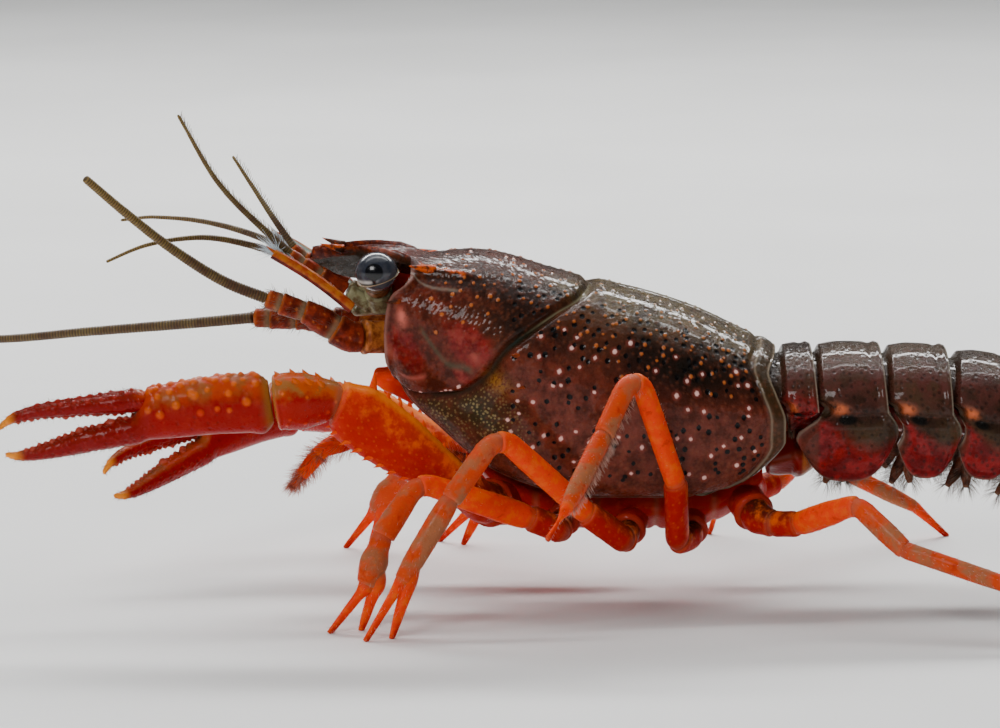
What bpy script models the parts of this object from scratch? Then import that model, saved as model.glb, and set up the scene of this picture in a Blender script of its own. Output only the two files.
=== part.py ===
"""Red swamp crayfish, life size, walking with its tail stretched out.

The head points along -X and the left side faces -Y. All sizes are in millimetres until the
meshes are written. Heights are measured from the floor, and lengths from a point just behind the
eyes, where the shell's front part is deepest. The finished model is then set with the middle of
its footprint at the origin.
"""

import math

import bpy
import numpy as np

MM = 0.001
GAP = 0.3
SIDES = {"left": -1.0, "right": 1.0}

# Carapace: how the section changes along the body, as (x, value) pairs
ROSTRUM_TIP_X = -17.5
BACK_HEIGHT = [(-17.5, 31.7), (-15.6, 31.9), (-11.4, 32.3), (-8.2, 32.1), (-6.6, 31.7), (-2.7, 32.0),
               (0, 31.7), (4, 30.5), (8.3, 29.3), (13.8, 28.0), (18.4, 26.4), (22, 24.7), (26.5, 22.6)]
WIDEST_HEIGHT = [(-17.5, 28.5), (-11, 27.6), (-8, 26.6), (-4, 24.6), (0, 22.6), (4, 21.0), (9, 19.6),
                 (14, 18.6), (20, 17.8), (26.5, 17.2)]
EDGE_HEIGHT = [(-17.5, 26.5), (-10.4, 22.0), (-8, 18.9), (-5.8, 16.9), (-1.9, 13.6), (3.6, 11.2), (9, 10.4),
               (15, 10.4), (19, 10.7), (22, 11.5), (26.5, 14.0)]
HALF_WIDTH = [(-17.5, 5.4), (-11, 6.5), (-8, 7.3), (-4, 8.4), (0, 9.3), (5, 9.9), (10, 10.3), (15, 10.3),
              (20, 9.7), (26.5, 8.2)]
WIDEST_SHARE = 0.55
EDGE_TUCK = 0.70
FULLNESS = 0.88

# Carapace: its front and rear edges and the neck groove, as (share of the way round, x) pairs
FRONT_EDGE = [(0, -17.5), (0.03, -16.7), (0.06, -15.7), (0.08, -14.3), (0.122, -11.0), (0.15, -9.2),
              (0.167, -8.4), (0.20, -8.1), (0.30, -8.1), (0.38, -8.7), (0.45, -9.7), (0.55, -10.3),
              (0.75, -10.5), (0.9, -10.3), (1.0, -9.8)]
RIDGE_KNOTS = 7
REAR_EDGE = [(0, 25.3), (0.15, 25.0), (0.3, 24.4), (0.42, 25.1), (0.55, 25.9), (0.68, 25.9), (0.8, 24.9),
             (0.9, 23.0), (1.0, 18.8)]
NECK_GROOVE = [(0, 8.3), (0.1, 7.9), (0.2, 6.8), (0.28, 5.2), (0.38, 3.1), (0.485, 0.75), (0.56, -0.6),
               (0.624, -2.2), (0.665, -3.2), (0.72, -4.8), (0.785, -6.3), (0.9, -8.3), (1.0, -9.4)]
GROOVE_DEPTH = 0.55
GROOVE_WIDTH = 0.75
ROSTRUM_BASE_SHARE = 0.167
ROSTRUM_BASE_X = -8.4
ROSTRUM_TROUGH = 0.55
SHELL = 0.65
BELLY_RISE = 1.1
SHELL_WALL_X = -7.8

# Carapace spines on each side: x and share round the section, length, half thickness and outward lean
SHELL_SPINES = ((-15.0, 0.075, 1.5, 0.45, 0.45), (-6.6, 0.235, 1.8, 0.65, 0.5), (-9.2, 0.47, 1.5, 0.55, 0.35),
                (1.4, 0.5, 1.2, 0.55, 0.9), (2.0, 0.57, 0.9, 0.5, 0.9))

# Tail: lengths and downward tilts of the six rings, and their half width and height
RING_LENGTHS = (3.3, 6.3, 5.9, 5.7, 5.3, 5.7)
RING_TILTS = (0.0, 0.0, 2.0, 8.0, 17.0, 27.0)
RING_HALF_WIDTHS = (7.5, 7.6, 7.5, 7.2, 6.7, 6.0)
RING_ARCH = (5.2, 5.25, 5.2, 5.0, 4.6, 4.1)
RING_FLAP_DROPS = (1.9, 6.4, 6.0, 5.6, 5.0, 3.4)
RING_FLAP_BULGES = (0.0, 0.9, 0.8, 0.7, 0.5, 0.0)
TAIL_START = (25.2, 18.1)
RING_BELLY = 2.3
RING_WALL = 0.55
LIP = 1.6
NECK_REACH = 0.95
NECK_STEPS = (0.72, 0.22)
FLAP_GAP = 0.5
ARCH_SHARE = 0.6

# Legs: joint positions (x, y from the midline, z) from the hip outwards, half thicknesses there
HIPS = {1: (0.2, 9.6), 2: (6.6, 7.9), 3: (12.2, 7.0), 4: (17.4, 6.9), 5: (22.4, 8.6)}
HIP_LEAN = {1: -1.2, 2: -0.9, 3: -0.5, 4: 0.0, 5: 0.8}
HIP_RISE = {1: 0.5, 2: -0.9, 3: -0.9, 4: -0.9, 5: -0.9}


def unit(v):
    v = np.asarray(v, float)
    return v / np.linalg.norm(v)


def smoothstep(low, high, x):
    s = np.clip((np.asarray(x, float) - low) / (high - low), 0, 1)
    return s * s * (3 - 2 * s)


def spline(x, knots):
    """Smooth curve through (x, y) knots: cubic pieces whose slopes come from the neighbouring knots."""
    kx, ky = np.array(knots, float).T
    step = np.diff(kx)
    rise = np.diff(ky) / step
    slope = np.empty(len(kx))
    slope[0], slope[-1] = rise[0], rise[-1]
    slope[1:-1] = (rise[:-1] * step[1:] + rise[1:] * step[:-1]) / (step[:-1] + step[1:])
    flat = rise[:-1] * rise[1:] <= 0
    slope[1:-1][flat] = 0
    x = np.clip(np.asarray(x, float), kx[0], kx[-1])
    i = np.clip(np.searchsorted(kx, x, side="right") - 1, 0, len(step) - 1)
    s = (x - kx[i]) / step[i]
    return (ky[i] * (1 + 2 * s) * (1 - s) ** 2 + slope[i] * step[i] * s * (1 - s) ** 2
            + ky[i + 1] * s * s * (3 - 2 * s) + slope[i + 1] * step[i] * s * s * (s - 1))


def rounded_path(corners, bend, count=240):
    """Dense points along straight runs joined by arcs of radius bend, the distance along them, and the share
    of the whole length at which each corner is passed."""
    corners = [np.asarray(c, float) for c in corners]
    bends = bend if isinstance(bend, (list, tuple)) else [bend] * (len(corners) - 2)
    points = [corners[0]]
    for before, corner, after, radius in zip(corners, corners[1:], corners[2:], bends):
        way_in, way_out = unit(corner - before), unit(after - corner)
        angle = math.acos(np.clip(way_in @ way_out, -1, 1))
        if angle < 0.02:
            continue
        room = 0.48 * min(np.linalg.norm(corner - before), np.linalg.norm(after - corner))
        radius = min(radius, room / math.tan(angle / 2))
        inward = unit(way_out - (way_in @ way_out) * way_in)
        start = corner - way_in * radius * math.tan(angle / 2)
        for turn in np.linspace(0, angle, 9):
            points.append(start + radius * (math.sin(turn) * way_in + (1 - math.cos(turn)) * inward))
    points.append(corners[-1])
    points = np.array(points)
    along = np.concatenate([[0], np.cumsum(np.linalg.norm(np.diff(points, axis=0), axis=1))])
    even = np.linspace(0, along[-1], count)
    path = np.stack([np.interp(even, along, points[:, k]) for k in range(3)], 1)
    marks = [int(np.argmin(np.linalg.norm(path - c, axis=1))) / (count - 1) for c in corners]
    return path, even, marks


def place_on(path, share):
    """Point on a dense path at a share of its length, and the direction of travel there."""
    at = np.linspace(0, 1, len(path))
    point, ahead, behind = (np.array([np.interp(s, at, path[:, k]) for k in range(3)])
                            for s in (share, min(share + 0.012, 1), max(share - 0.012, 0)))
    return point, unit(ahead - behind)


def tube(corners, halves, across, bend=1.2, sides=8, stations=4, flatness=1.0, ends=(None, None),
         span=(0, 1), anchor=0.5):
    """Closed oval tube along a rounded path, with a flat face on each end. halves are (share of length, half
    size) pairs; across is the direction that flatness narrows, exact at the anchor share; span is the part
    of the path that is used; ends are planes (point, normal) that the end rings lie on."""
    path, along, marks = rounded_path(corners, bend)
    wanted = [*np.linspace(*span, stations), *(s for s, _ in halves)]
    for mark, before, at, after in zip(marks[1:], corners, corners[1:], corners[2:]):
        bent = unit(np.subtract(at, before)) @ unit(np.subtract(after, at)) < 0.9
        wanted += [mark - 0.8 / along[-1], mark, mark + 0.8 / along[-1]] if bent else []
    shares = [span[0]]
    for share in sorted(s for s in wanted if span[0] < s < span[1]):
        if (share - shares[-1]) * along[-1] > 0.5 and (span[1] - share) * along[-1] > 0.5:
            shares.append(share)
    shares.append(span[1])
    middle = int(np.argmin(np.abs(np.array(shares) - anchor)))
    frames = {}
    for order in (range(middle, len(shares)), range(middle, -1, -1)):
        narrow = np.asarray(across, float)
        for i in order:
            centre, forward = place_on(path, shares[i])
            narrow = unit(narrow - (narrow @ forward) * forward)
            frames[i] = (centre, forward, narrow)
    angles = np.arange(sides) * 2 * math.pi / sides + math.pi / sides
    rings = []
    for i, share in enumerate(shares):
        centre, forward, narrow = frames[i]
        half = float(spline(share, halves))
        flat = flatness if isinstance(flatness, float) else float(spline(share, flatness))
        ring = centre + half * (np.cos(angles)[:, None] * np.cross(forward, narrow)
                                + flat * np.sin(angles)[:, None] * narrow)
        plane = ends[0] if i == 0 else ends[1] if i == len(shares) - 1 else None
        if plane is not None:
            point, normal = (np.asarray(p, float) for p in plane)
            ring = ring + (((point - ring) @ normal) / (forward @ normal))[:, None] * forward
        rings.append(ring)
    return closed_rings(np.array(rings))


def peg(inner, outer, halves, sides=8):
    """Short straight round bar between two points."""
    inner, outer = np.asarray(inner, float), np.asarray(outer, float)
    forward = unit(outer - inner)
    first = unit(np.cross(forward, (0.1, 0.2, 1) if abs(forward[2]) < 0.8 else (1, 0.1, 0)))
    angles = np.arange(sides) * 2 * math.pi / sides
    across = np.cos(angles)[:, None] * first + np.sin(angles)[:, None] * np.cross(forward, first)
    return closed_rings(np.array([inner + halves[0] * across, outer + halves[1] * across]))


def closed_rings(rings):
    count, sides = rings.shape[:2]
    faces = []
    for i in range(0, (count - 1) * sides, sides):
        for j in range(sides):
            after = (j + 1) % sides
            faces.append((i + j, i + after, i + sides + after, i + sides + j))
    faces.append(tuple(reversed(range(sides))))
    faces.append(tuple((count - 1) * sides + j for j in range(sides)))
    return rings.reshape(-1, 3), faces


def plate(outer, inner):
    """Closed body between two sheets on the same grid, joined round their edges."""
    rows, columns = outer.shape[:2]
    size = rows * columns
    quads = []
    for i in range(rows - 1):
        for j in range(columns - 1):
            a, b = i * columns + j, i * columns + j + 1
            c, d = b + columns, a + columns
            quads.append((a, b, c, d))
            quads.append((a + size, d + size, c + size, b + size))
    rim = ([j for j in range(columns)] + [i * columns + columns - 1 for i in range(1, rows)]
           + [(rows - 1) * columns + j for j in range(columns - 2, -1, -1)]
           + [i * columns for i in range(rows - 2, 0, -1)])
    for a, b in zip(rim, rim[1:] + rim[:1]):
        quads.append((b, a, a + size, b + size))
    return np.concatenate([outer.reshape(-1, 3), inner.reshape(-1, 3)]), quads


def spine(root, tip, half, sunk=0.5, sides=5, facing=None):
    """Pointed cone whose foot starts below the surface that it grows from. The foot lies square to the cone,
    or to the direction facing where the cone leans along that surface."""
    root, tip = np.asarray(root, float), np.asarray(tip, float)
    facing = unit(tip - root if facing is None else facing)
    helper = (0, 0, 1) if abs(facing[2]) < 0.8 else (1, 0, 0)
    first = unit(np.cross(facing, helper))
    second = np.cross(facing, first)
    angles = np.arange(sides) * 2 * math.pi / sides
    foot = root - facing * sunk + half * (np.cos(angles)[:, None] * first + np.sin(angles)[:, None] * second)
    faces = [(j, (j + 1) % sides, sides) for j in range(sides)] + [tuple(reversed(range(sides)))]
    return np.vstack([foot, tip]), faces


def outward(body):
    """The same body with its faces pointing outwards: all are turned round if its volume is negative."""
    points, faces = np.asarray(body[0], float), body[1]
    corners = np.array([(face[0], b, c) for face in faces for b, c in zip(face[1:-1], face[2:])])
    first, second, third = (points[corners[:, k]] for k in range(3))
    volume = np.einsum("ij,ij->i", first, np.cross(second, third)).sum()
    return (points, faces) if volume > 0 else (points, [tuple(reversed(face)) for face in faces])


def material(name, colour, roughness=0.4):
    made = bpy.data.materials.get(name)
    if made is None:
        made = bpy.data.materials.new(name)
        made.use_nodes = True
        shader = made.node_tree.nodes["Principled BSDF"]
        shader.inputs["Base Color"].default_value = (*colour, 1)
        shader.inputs["Roughness"].default_value = roughness
    return made


def shell_brown():
    return material("brown shell", (0.12, 0.045, 0.025), 0.25)


def limb_red():
    return material("orange red limb", (0.72, 0.08, 0.015), 0.35)


def claw_red():
    return material("deep red claw", (0.50, 0.02, 0.012), 0.3)


def feeler_olive():
    return material("olive feeler", (0.28, 0.19, 0.07), 0.5)


def pale_membrane():
    return material("pale membrane", (0.55, 0.45, 0.30), 0.5)


def eye_grey():
    return material("grey eye", (0.10, 0.11, 0.14), 0.08)


def add_mesh(name, body):
    points, faces = outward(body)
    mesh = bpy.data.meshes.new(name)
    mesh.from_pydata((np.asarray(points) * MM).tolist(), [], [list(map(int, face)) for face in faces])
    mesh.validate()
    thing = bpy.data.objects.new(name, mesh)
    bpy.context.scene.collection.objects.link(thing)
    return thing


def largest_body(mesh):
    """Keeps the closed surface with the largest box, and drops scraps that a union leaves."""
    group = list(range(len(mesh.vertices)))

    def leader(v):
        while group[v] != v:
            group[v] = group[group[v]]
            v = group[v]
        return v

    for edge in mesh.edges:
        a, b = (leader(v) for v in edge.vertices)
        group[a] = b
    leaders = np.array([leader(v) for v in range(len(mesh.vertices))])
    points = np.array([v.co for v in mesh.vertices])
    spans = {g: np.ptp(points[leaders == g], axis=0).sum() for g in set(leaders.tolist())}
    if len(spans) == 1:
        return mesh
    keep = leaders == max(spans, key=spans.get)
    number = np.cumsum(keep) - 1
    faces = [[int(number[v]) for v in p.vertices] for p in mesh.polygons if keep[p.vertices[0]]]
    made = bpy.data.meshes.new(mesh.name)
    made.from_pydata(points[keep].tolist(), [], faces)
    return made


def node(name, finish, *bodies, solver="EXACT"):
    """One named solid: its first body with the others joined on by a Boolean union. The exact solver leaves
    gaps where many shallow spines or thin limbs leave a plate, so those nodes take the manifold one."""
    thing = add_mesh(name, bodies[0])
    if len(bodies) > 1:
        others = bpy.data.collections.new(name + " pieces")
        bpy.context.scene.collection.children.link(others)
        for number, body in enumerate(bodies[1:]):
            piece = add_mesh(f"{name} piece {number}", body)
            bpy.context.scene.collection.objects.unlink(piece)
            others.objects.link(piece)
        union = thing.modifiers.new("join", "BOOLEAN")
        union.operation = "UNION"
        union.operand_type = "COLLECTION"
        union.collection = others
        union.solver = solver
        bpy.context.view_layer.update()
        joined = bpy.data.meshes.new_from_object(thing.evaluated_get(bpy.context.evaluated_depsgraph_get()))
        thing.modifiers.clear()
        for piece in list(others.objects):
            bpy.data.objects.remove(piece)
        bpy.data.collections.remove(others)
        thing.data = largest_body(joined)
        thing.data.name = name
    thing.data.materials.clear()
    thing.data.materials.append(finish)
    thing.data.shade_smooth()
    thing.data.set_sharp_from_angle(angle=math.radians(50))
    return thing


# Carapace and rostrum


def shell_section(x, share):
    """Bare shell at x, share of the way from the back's midline (0) to the lower edge (1 or -1)."""
    top, mid = spline(x, BACK_HEIGHT), spline(x, WIDEST_HEIGHT)
    low, half = spline(x, EDGE_HEIGHT), spline(x, HALF_WIDTH)
    s = np.abs(share)
    upper = np.clip(s / WIDEST_SHARE, 0, 1) * math.pi / 2
    lower = np.clip((s - WIDEST_SHARE) / (1 - WIDEST_SHARE), 0, 1) * math.pi / 2
    above = s <= WIDEST_SHARE
    rise, fall = np.clip(np.cos(upper), 0, 1) ** FULLNESS, np.sin(lower) ** FULLNESS
    y = half * np.where(above, np.sin(upper) ** FULLNESS,
                        EDGE_TUCK + (1 - EDGE_TUCK) * np.clip(np.cos(lower), 0, 1) ** FULLNESS)
    z = np.where(above, mid + (top - mid) * rise, mid - (mid - low) * fall)
    return np.sign(share) * y, z


def ridge_share(x):
    """Where the rostrum's raised margin lies round the section, and how strong it is there."""
    shares, places = zip(*FRONT_EDGE[:RIDGE_KNOTS])
    share = np.where(x < ROSTRUM_BASE_X, np.interp(x, places, shares),
                     ROSTRUM_BASE_SHARE - 0.004 * (x - ROSTRUM_BASE_X))
    return np.maximum(share, 0.012), 1 - smoothstep(-9.5, -5.5, x)


def shell_relief(x, share):
    """How far the surface stands out: the rostrum's trough and margins, ridges, neck groove and rear rim."""
    line, strength = ridge_share(x)
    u = np.abs(share) / line
    trough = np.where(u <= 1, -ROSTRUM_TROUGH + 2 * ROSTRUM_TROUGH * np.clip(u, 0, 1) ** 4,
                      ROSTRUM_TROUGH * np.exp(-((u - 1) / 0.35) ** 2))
    out = strength * trough
    behind_eye = smoothstep(-8, -6.8, x) * (1 - smoothstep(-4, -1, x))
    out = out + 0.35 * behind_eye * np.exp(-((np.abs(share) - 0.235) / 0.03) ** 2)
    groove = np.abs(x - spline(np.abs(share), NECK_GROOVE)) / GROOVE_WIDTH
    fade = 1 - 0.6 * smoothstep(0.86, 1.0, np.abs(share))
    out = out - GROOVE_DEPTH * fade * np.exp(-groove**2)
    rim = spline(np.abs(share), REAR_EDGE) - x
    return out - 0.22 * np.exp(-((rim - 1.7) / 0.45) ** 2)


def shell_point(x, share):
    """Outer surface of the carapace."""
    y, z = shell_section(x, share)
    half = spline(x, HALF_WIDTH)
    top, mid, low = (spline(x, k) for k in (BACK_HEIGHT, WIDEST_HEIGHT, EDGE_HEIGHT))
    tall = np.where(z >= mid, top - mid, mid - low)
    ny, nz = y / half**2, (z - mid) / tall**2
    size = np.sqrt(ny**2 + nz**2) + 1e-9
    out = shell_relief(x, share)
    return np.stack([x + 0 * y, y + out * ny / size, z + out * nz / size], -1)


def shell_grid(shares, base_rows, front_rows, rear_rows):
    """Grid of x and share whose rows follow the front edge, the eyes' rear, the neck groove and the rear
    edge."""
    front = spline(np.abs(shares), FRONT_EDGE)
    groove = spline(np.abs(shares), NECK_GROOVE)
    rear = spline(np.abs(shares), REAR_EDGE)
    lip_front = np.minimum(1.3, 0.45 * (groove - front))
    lip_rear = np.minimum(1.3, 0.2 * (rear - groove))
    base = np.minimum(SHELL_WALL_X, front + 0.6 * (groove - lip_front - front))
    rows = [front + (base - front) * t for t in base_rows]
    rows += [base + (groove - lip_front - base) * t for t in front_rows]
    rows += [groove - lip_front * 0.42, groove, groove + lip_rear * 0.42]
    rows += [groove + lip_rear + (rear - groove - lip_rear) * t for t in rear_rows]
    return np.array(rows), np.tile(shares, (len(rows), 1))


def shell_inside(x, share, outer, wall_rows):
    """Inner side of the solid shell: a thin lip at the front and rear, and a belly wall in between."""
    mid, half = spline(x, WIDEST_HEIGHT), spline(x, HALF_WIDTH)
    inner = outer.copy()
    inner[..., 1] *= 1 - SHELL / half
    inner[..., 2] = mid + (outer[..., 2] - mid) * (1 - SHELL / 7)
    line, _ = ridge_share(x)
    keel = 0.75 + 1.5 * (1 - np.clip(np.abs(share) / line, 0, 1) ** 2) * smoothstep(ROSTRUM_TIP_X, -13, x)
    on_rostrum = (1 - smoothstep(-8.9, -8.3, x)) * (1 - smoothstep(0.168, 0.19, np.abs(share)))
    under = outer.copy()
    under[..., 1] *= 0.8
    under[..., 2] -= keel * smoothstep(ROSTRUM_TIP_X - 1.5, ROSTRUM_TIP_X + 2.5, x)
    inner = inner + on_rostrum[..., None] * (under - inner)
    edge_y, edge_z = shell_section(x, np.ones_like(share))
    belly = np.stack([x, share * (edge_y - SHELL), edge_z + BELLY_RISE * (1 - np.abs(share) ** 6) + 0.05], -1)
    rows = slice(wall_rows[0] + 1, wall_rows[1])
    inner[rows] = belly[rows]
    return inner


def build_carapace():
    half = np.array([0.06, 0.122, 0.167, 0.21, 0.30, 0.40, 0.50, 0.60, 0.70, 0.80, 0.90, 1.0])
    shares = np.concatenate([-half[::-1], [0], half])
    base_rows, front_rows = (0, 0.2, 0.45, 0.72), (0, 0.12, 0.28, 0.46, 0.66, 0.84, 1.0)
    rear_rows = (0, 0.16, 0.33, 0.5, 0.66, 0.78, 0.86, 0.93, 1.0)
    x, share = shell_grid(shares, base_rows, front_rows, rear_rows)
    outer = shell_point(x, share)
    wall_rows = (len(base_rows), len(x) - 3)
    bodies = [plate(outer, shell_inside(x, share, outer, wall_rows))]
    for side in SIDES.values():
        for at, around, length, thick, lift in SHELL_SPINES:
            root = shell_point(np.array(at), np.array(side * around))
            beside = shell_point(np.array(at), np.array(side * (around + 0.02)))
            behind = shell_point(np.array(at + 0.4), np.array(side * around))
            out = unit(np.cross(beside - root, root - behind)) * side
            tip = root + length * unit(np.array([-1, 0, 0]) + lift * out)
            bodies.append(spine(root, tip, thick, sunk=0.45, sides=6, facing=out))
    return node("carapace", shell_brown(), *bodies, solver="MANIFOLD")


# Underside of the thorax, face and mouth


def hip_line(number, side):
    """Where a leg's first joint starts on the breast plate, and its outer end."""
    x, z = HIPS[number]
    start = np.array([x, side * 3.4, z - HIP_RISE[number]])
    return start, np.array([x + HIP_LEAN[number], side * 6.2, z])


def oval_stack(stations, sides):
    """Closed stack of upright oval rings, each given as x, lowest, highest and half width."""
    angles = np.arange(sides) * 2 * math.pi / sides + math.pi / sides
    return closed_rings(np.array([[(x, half * math.cos(a), (high + low) / 2 + (high - low) / 2 * math.sin(a))
                                   for a in angles] for x, low, high, half in stations]))


BREAST = [(-3.0, 14.6, 13.0, 3.9, 3.0), (0.5, 12.0, 9.0, 4.4, 3.2), (4, 10.9, 7.0, 4.8, 3.0),
          (9, 10.8, 6.2, 5.0, 2.8), (15, 10.8, 6.2, 5.0, 2.8), (20, 11.0, 7.0, 4.8, 2.8),
          (24, 13.2, 9.6, 4.4, 2.6)]


def build_underside():
    """Breast plate between the legs, with the first joint of each leg fused on as a stub."""
    rings = []
    for x, top, low, wide, narrow in BREAST:
        upper = [(-wide, top - 0.9), (-0.8 * wide, top), (0.8 * wide, top), (wide, top - 0.9)]
        lower = [(narrow, low + 0.5), (0.7 * narrow, low), (-0.7 * narrow, low), (-narrow, low + 0.5)]
        rings.append([(x, y, z) for y, z in upper + lower])
    bodies = [closed_rings(np.array(rings, float))]
    for side in SIDES.values():
        for number in HIPS:
            start, stop = hip_line(number, side)
            half = {1: 2.1, 5: 1.75}.get(number, 1.5)
            bodies.append(peg(start - 1.3 * unit(stop - start), stop, (half, half)))
    return node("thorax_underside", limb_red(), *bodies)


def build_face():
    """Front of the head below the rostrum, with the stubs that carry the eyes and feelers."""
    bodies = [oval_stack([(-8.6, 22.0, 29.2, 4.7), (-10.6, 22.4, 28.9, 4.5), (-12.4, 23.3, 28.4, 3.9),
                          (-13.6, 24.2, 27.9, 3.0)], 12)]
    for name in SIDES:
        for inner, outer, half in (eye_joint(name), antennule_joint(name), antenna_joint(name)):
            bodies.append(peg(inner, outer, (half, half)))
    return node("face", shell_brown(), *bodies)


def build_mouth():
    """Jaws and the folded inner mouth limbs, one block with its paired lobes raised."""
    bodies = [oval_stack([(-3.4, 14.3, 15.2, 2.2), (-5.2, 15.2, 16.7, 3.0), (-7.0, 16.8, 18.2, 3.4),
                          (-8.2, 18.0, 20.2, 3.4), (-10.2, 19.6, 21.4, 2.2)], 10)]
    for side in SIDES.values():
        bodies.append(tube([(-7.6, side * 1.7, 18.6), (-9.5, side * 1.6, 19.8), (-11.6, side * 1.3, 20.4)],
                           [(0, 0.8), (0.6, 1.0), (1, 0.45)], (0, 1, 0), stations=3, sides=6))
    return node("mouthparts", limb_red(), *bodies)


def build_maxillipeds():
    """The outermost pair of mouth limbs, reaching forward and curling down."""
    for name, side in SIDES.items():
        lower = 0.0 if side < 0 else 0.8
        corners = [(-3.4, side * 2.6, 11.5), (-6.5, side * 2.9, 13.0 - lower),
                   (-12.6, side * 3.1, 15.4 - lower), (-16.3, side * 3.0, 13.9 - lower),
                   (-19.1, side * 2.7, 10.4 - lower)]
        halves = [(0, 1.1), (0.16, 1.2), (0.33, 1.25), (0.5, 1.0), (0.57, 0.8), (0.64, 0.95), (0.77, 0.7),
                  (0.82, 0.75), (0.93, 0.5), (1, 0.2)]
        node(f"maxilliped_{name}", limb_red(), tube(corners, halves, (0, 1, 0), bend=2.5, flatness=0.8))


# Eyes and feelers


def eye_joint(name):
    """Stub that an eye's stalk stands on: inner end, outer end and half thickness."""
    side = SIDES[name]
    return np.array([-10.9, side * 2.0, 27.2]), np.array([-11.1, side * 3.1, 28.7]), 1.2


def antennule_joint(name):
    side = SIDES[name]
    return np.array([-11.9, side * 1.7, 27.1]), np.array([-13.9, side * 1.75, 28.4]), 0.75


def antenna_joint(name):
    side = SIDES[name]
    return np.array([-9.8, side * 3.2, 24.4]), np.array([-12.6, side * 4.5, 24.6]), 1.5


EYES = {"left": (-11.2, -5.2, 30.7), "right": (-11.4, 4.7, 29.7)}
EYE_RADIUS = 1.93


def build_eyes():
    for name in SIDES:
        centre = np.array(EYES[name])
        inner, foot, _ = eye_joint(name)
        way = unit(foot - inner)
        up = unit(centre - foot)
        start, stop = foot + way * GAP, centre - up * 1.05
        node(f"eyestalk_{name}", pale_membrane(),
             tube([start, (start + stop) / 2, stop], [(0, 1.15), (0.35, 1.25), (1, 1.5)], (1, 0, 0), sides=10,
                  stations=3, ends=((start, way), (stop, up))))
        node(f"eye_{name}", eye_grey(), eye_cap(centre, up))


def eye_cap(centre, up):
    """Ball cut flat where it sits on its stalk."""
    first = unit(np.cross(up, (1, 0, 0)))
    second = np.cross(up, first)
    turns = np.arange(12) * 2 * math.pi / 12
    rings = []
    for polar in np.linspace(math.acos((GAP - 1.05) / EYE_RADIUS), 0.15, 7):
        across = np.cos(turns)[:, None] * first + np.sin(turns)[:, None] * second
        rings.append(centre + EYE_RADIUS * (math.cos(polar) * up + math.sin(polar) * across))
    return closed_rings(np.array(rings))


ANTENNAE = {
    "left": {"elbow": (-17.3, -5.3, 26.9), "root": (-21.2, -5.5, 28.3),
             "whip": [(-24.4, -6.4, 29.7), (-29.2, -8.4, 33.0), (-33.5, -11.2, 36.9), (-36.8, -14, 40.3)]},
    "right": {"elbow": (-17.4, 5.3, 24.7), "root": (-22.9, 5.5, 24.9),
              "whip": [(-28.6, 7.4, 24.1), (-38.5, 10.8, 22.8), (-48.5, 15.0, 21.4), (-58, 20.5, 21.2),
                       (-66, 27.5, 22.4), (-71.5, 35.5, 24.6), (-74, 43.5, 27.4)]},
}


def build_antennae():
    """Each antenna: a thick jointed base, and a long whip. The left whip is broken short, as in life."""
    for name, data in ANTENNAE.items():
        inner, outer, _ = antenna_joint(name)
        way = unit(outer - inner)
        start, root = outer + way * GAP, np.array(data["root"])
        full = 1 if name == "left" else 0.86
        halves = [(0, 1.4 * full), (0.2, 1.4 * full), (0.28, 1.15 * full), (0.34, 1.25 * full), (0.55, 1.1 * full),
                  (0.62, 0.9 * full), (0.67, 1.05 * full), (1, 0.8)]
        node(f"antenna_base_{name}", limb_red(),
             tube([start, start + way * 0.9, data["elbow"], root], halves, (0, 1, 0), bend=2.0, flatness=0.9,
                  ends=((start, way), None)))
        points = whip_points([root, *data["whip"]], {"left": 14, "right": 37}[name])
        points[0] += GAP * unit(points[1] - points[0])
        if name == "left":
            node("antenna_left", feeler_olive(), whip(points, (0.48, 0.35)))
            continue
        outer_part = points[18:].copy()
        outer_part[0] += GAP * unit(outer_part[1] - outer_part[0])
        node("antenna_right_inner", feeler_olive(), whip(points[:19], (0.48, 0.38)))
        node("antenna_right_outer", feeler_olive(), whip(outer_part, (0.38, 0.14)))


def whip_points(knots, count):
    """Smooth curve through the knots, as count points."""
    knots = np.array(knots, float)
    along = np.concatenate([[0], np.cumsum(np.linalg.norm(np.diff(knots, axis=0), axis=1))])
    even = np.linspace(0, along[-1], count)
    return np.stack([spline(even, list(zip(along, knots[:, k]))) for k in range(3)], 1)


def whip(points, halves, sides=5):
    """Round whip along points, its half thickness changing evenly from the first to the last of halves."""
    angles = np.arange(sides) * 2 * math.pi / sides
    rings = []
    for i, point in enumerate(points):
        forward = unit(points[min(i + 1, len(points) - 1)] - points[max(i - 1, 0)])
        first = unit(np.cross(forward, (0, 1, 0.2)))
        half = np.interp(i, [0, len(points) - 1], halves)
        rings.append(point + half * (np.cos(angles)[:, None] * first
                                     + np.sin(angles)[:, None] * np.cross(forward, first)))
    return closed_rings(np.array(rings))


ANTENNULE_WHIPS = {
    "left": ([(-18.6, -1.9, 31.5), (-21.6, -2.6, 34.3), (-25.3, -5.3, 38.6), (-28.9, -8, 45.3)],
             [(-18.6, -2.1, 31.3), (-22.6, -3.0, 32.8), (-27.8, -6.0, 33.9), (-32.3, -8.6, 33.4),
              (-35.4, -10, 32.2)]),
    "right": ([(-18.6, 1.9, 31.5), (-20.6, 2.6, 34.2), (-22.6, 4.4, 36.9), (-24.8, 6.0, 40.0)],
              [(-18.6, 2.1, 31.3), (-22.9, 3.2, 33.0), (-28.4, 5.8, 34.0), (-32.2, 7.2, 34.1),
               (-35.4, 8, 33.7)]),
}


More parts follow.
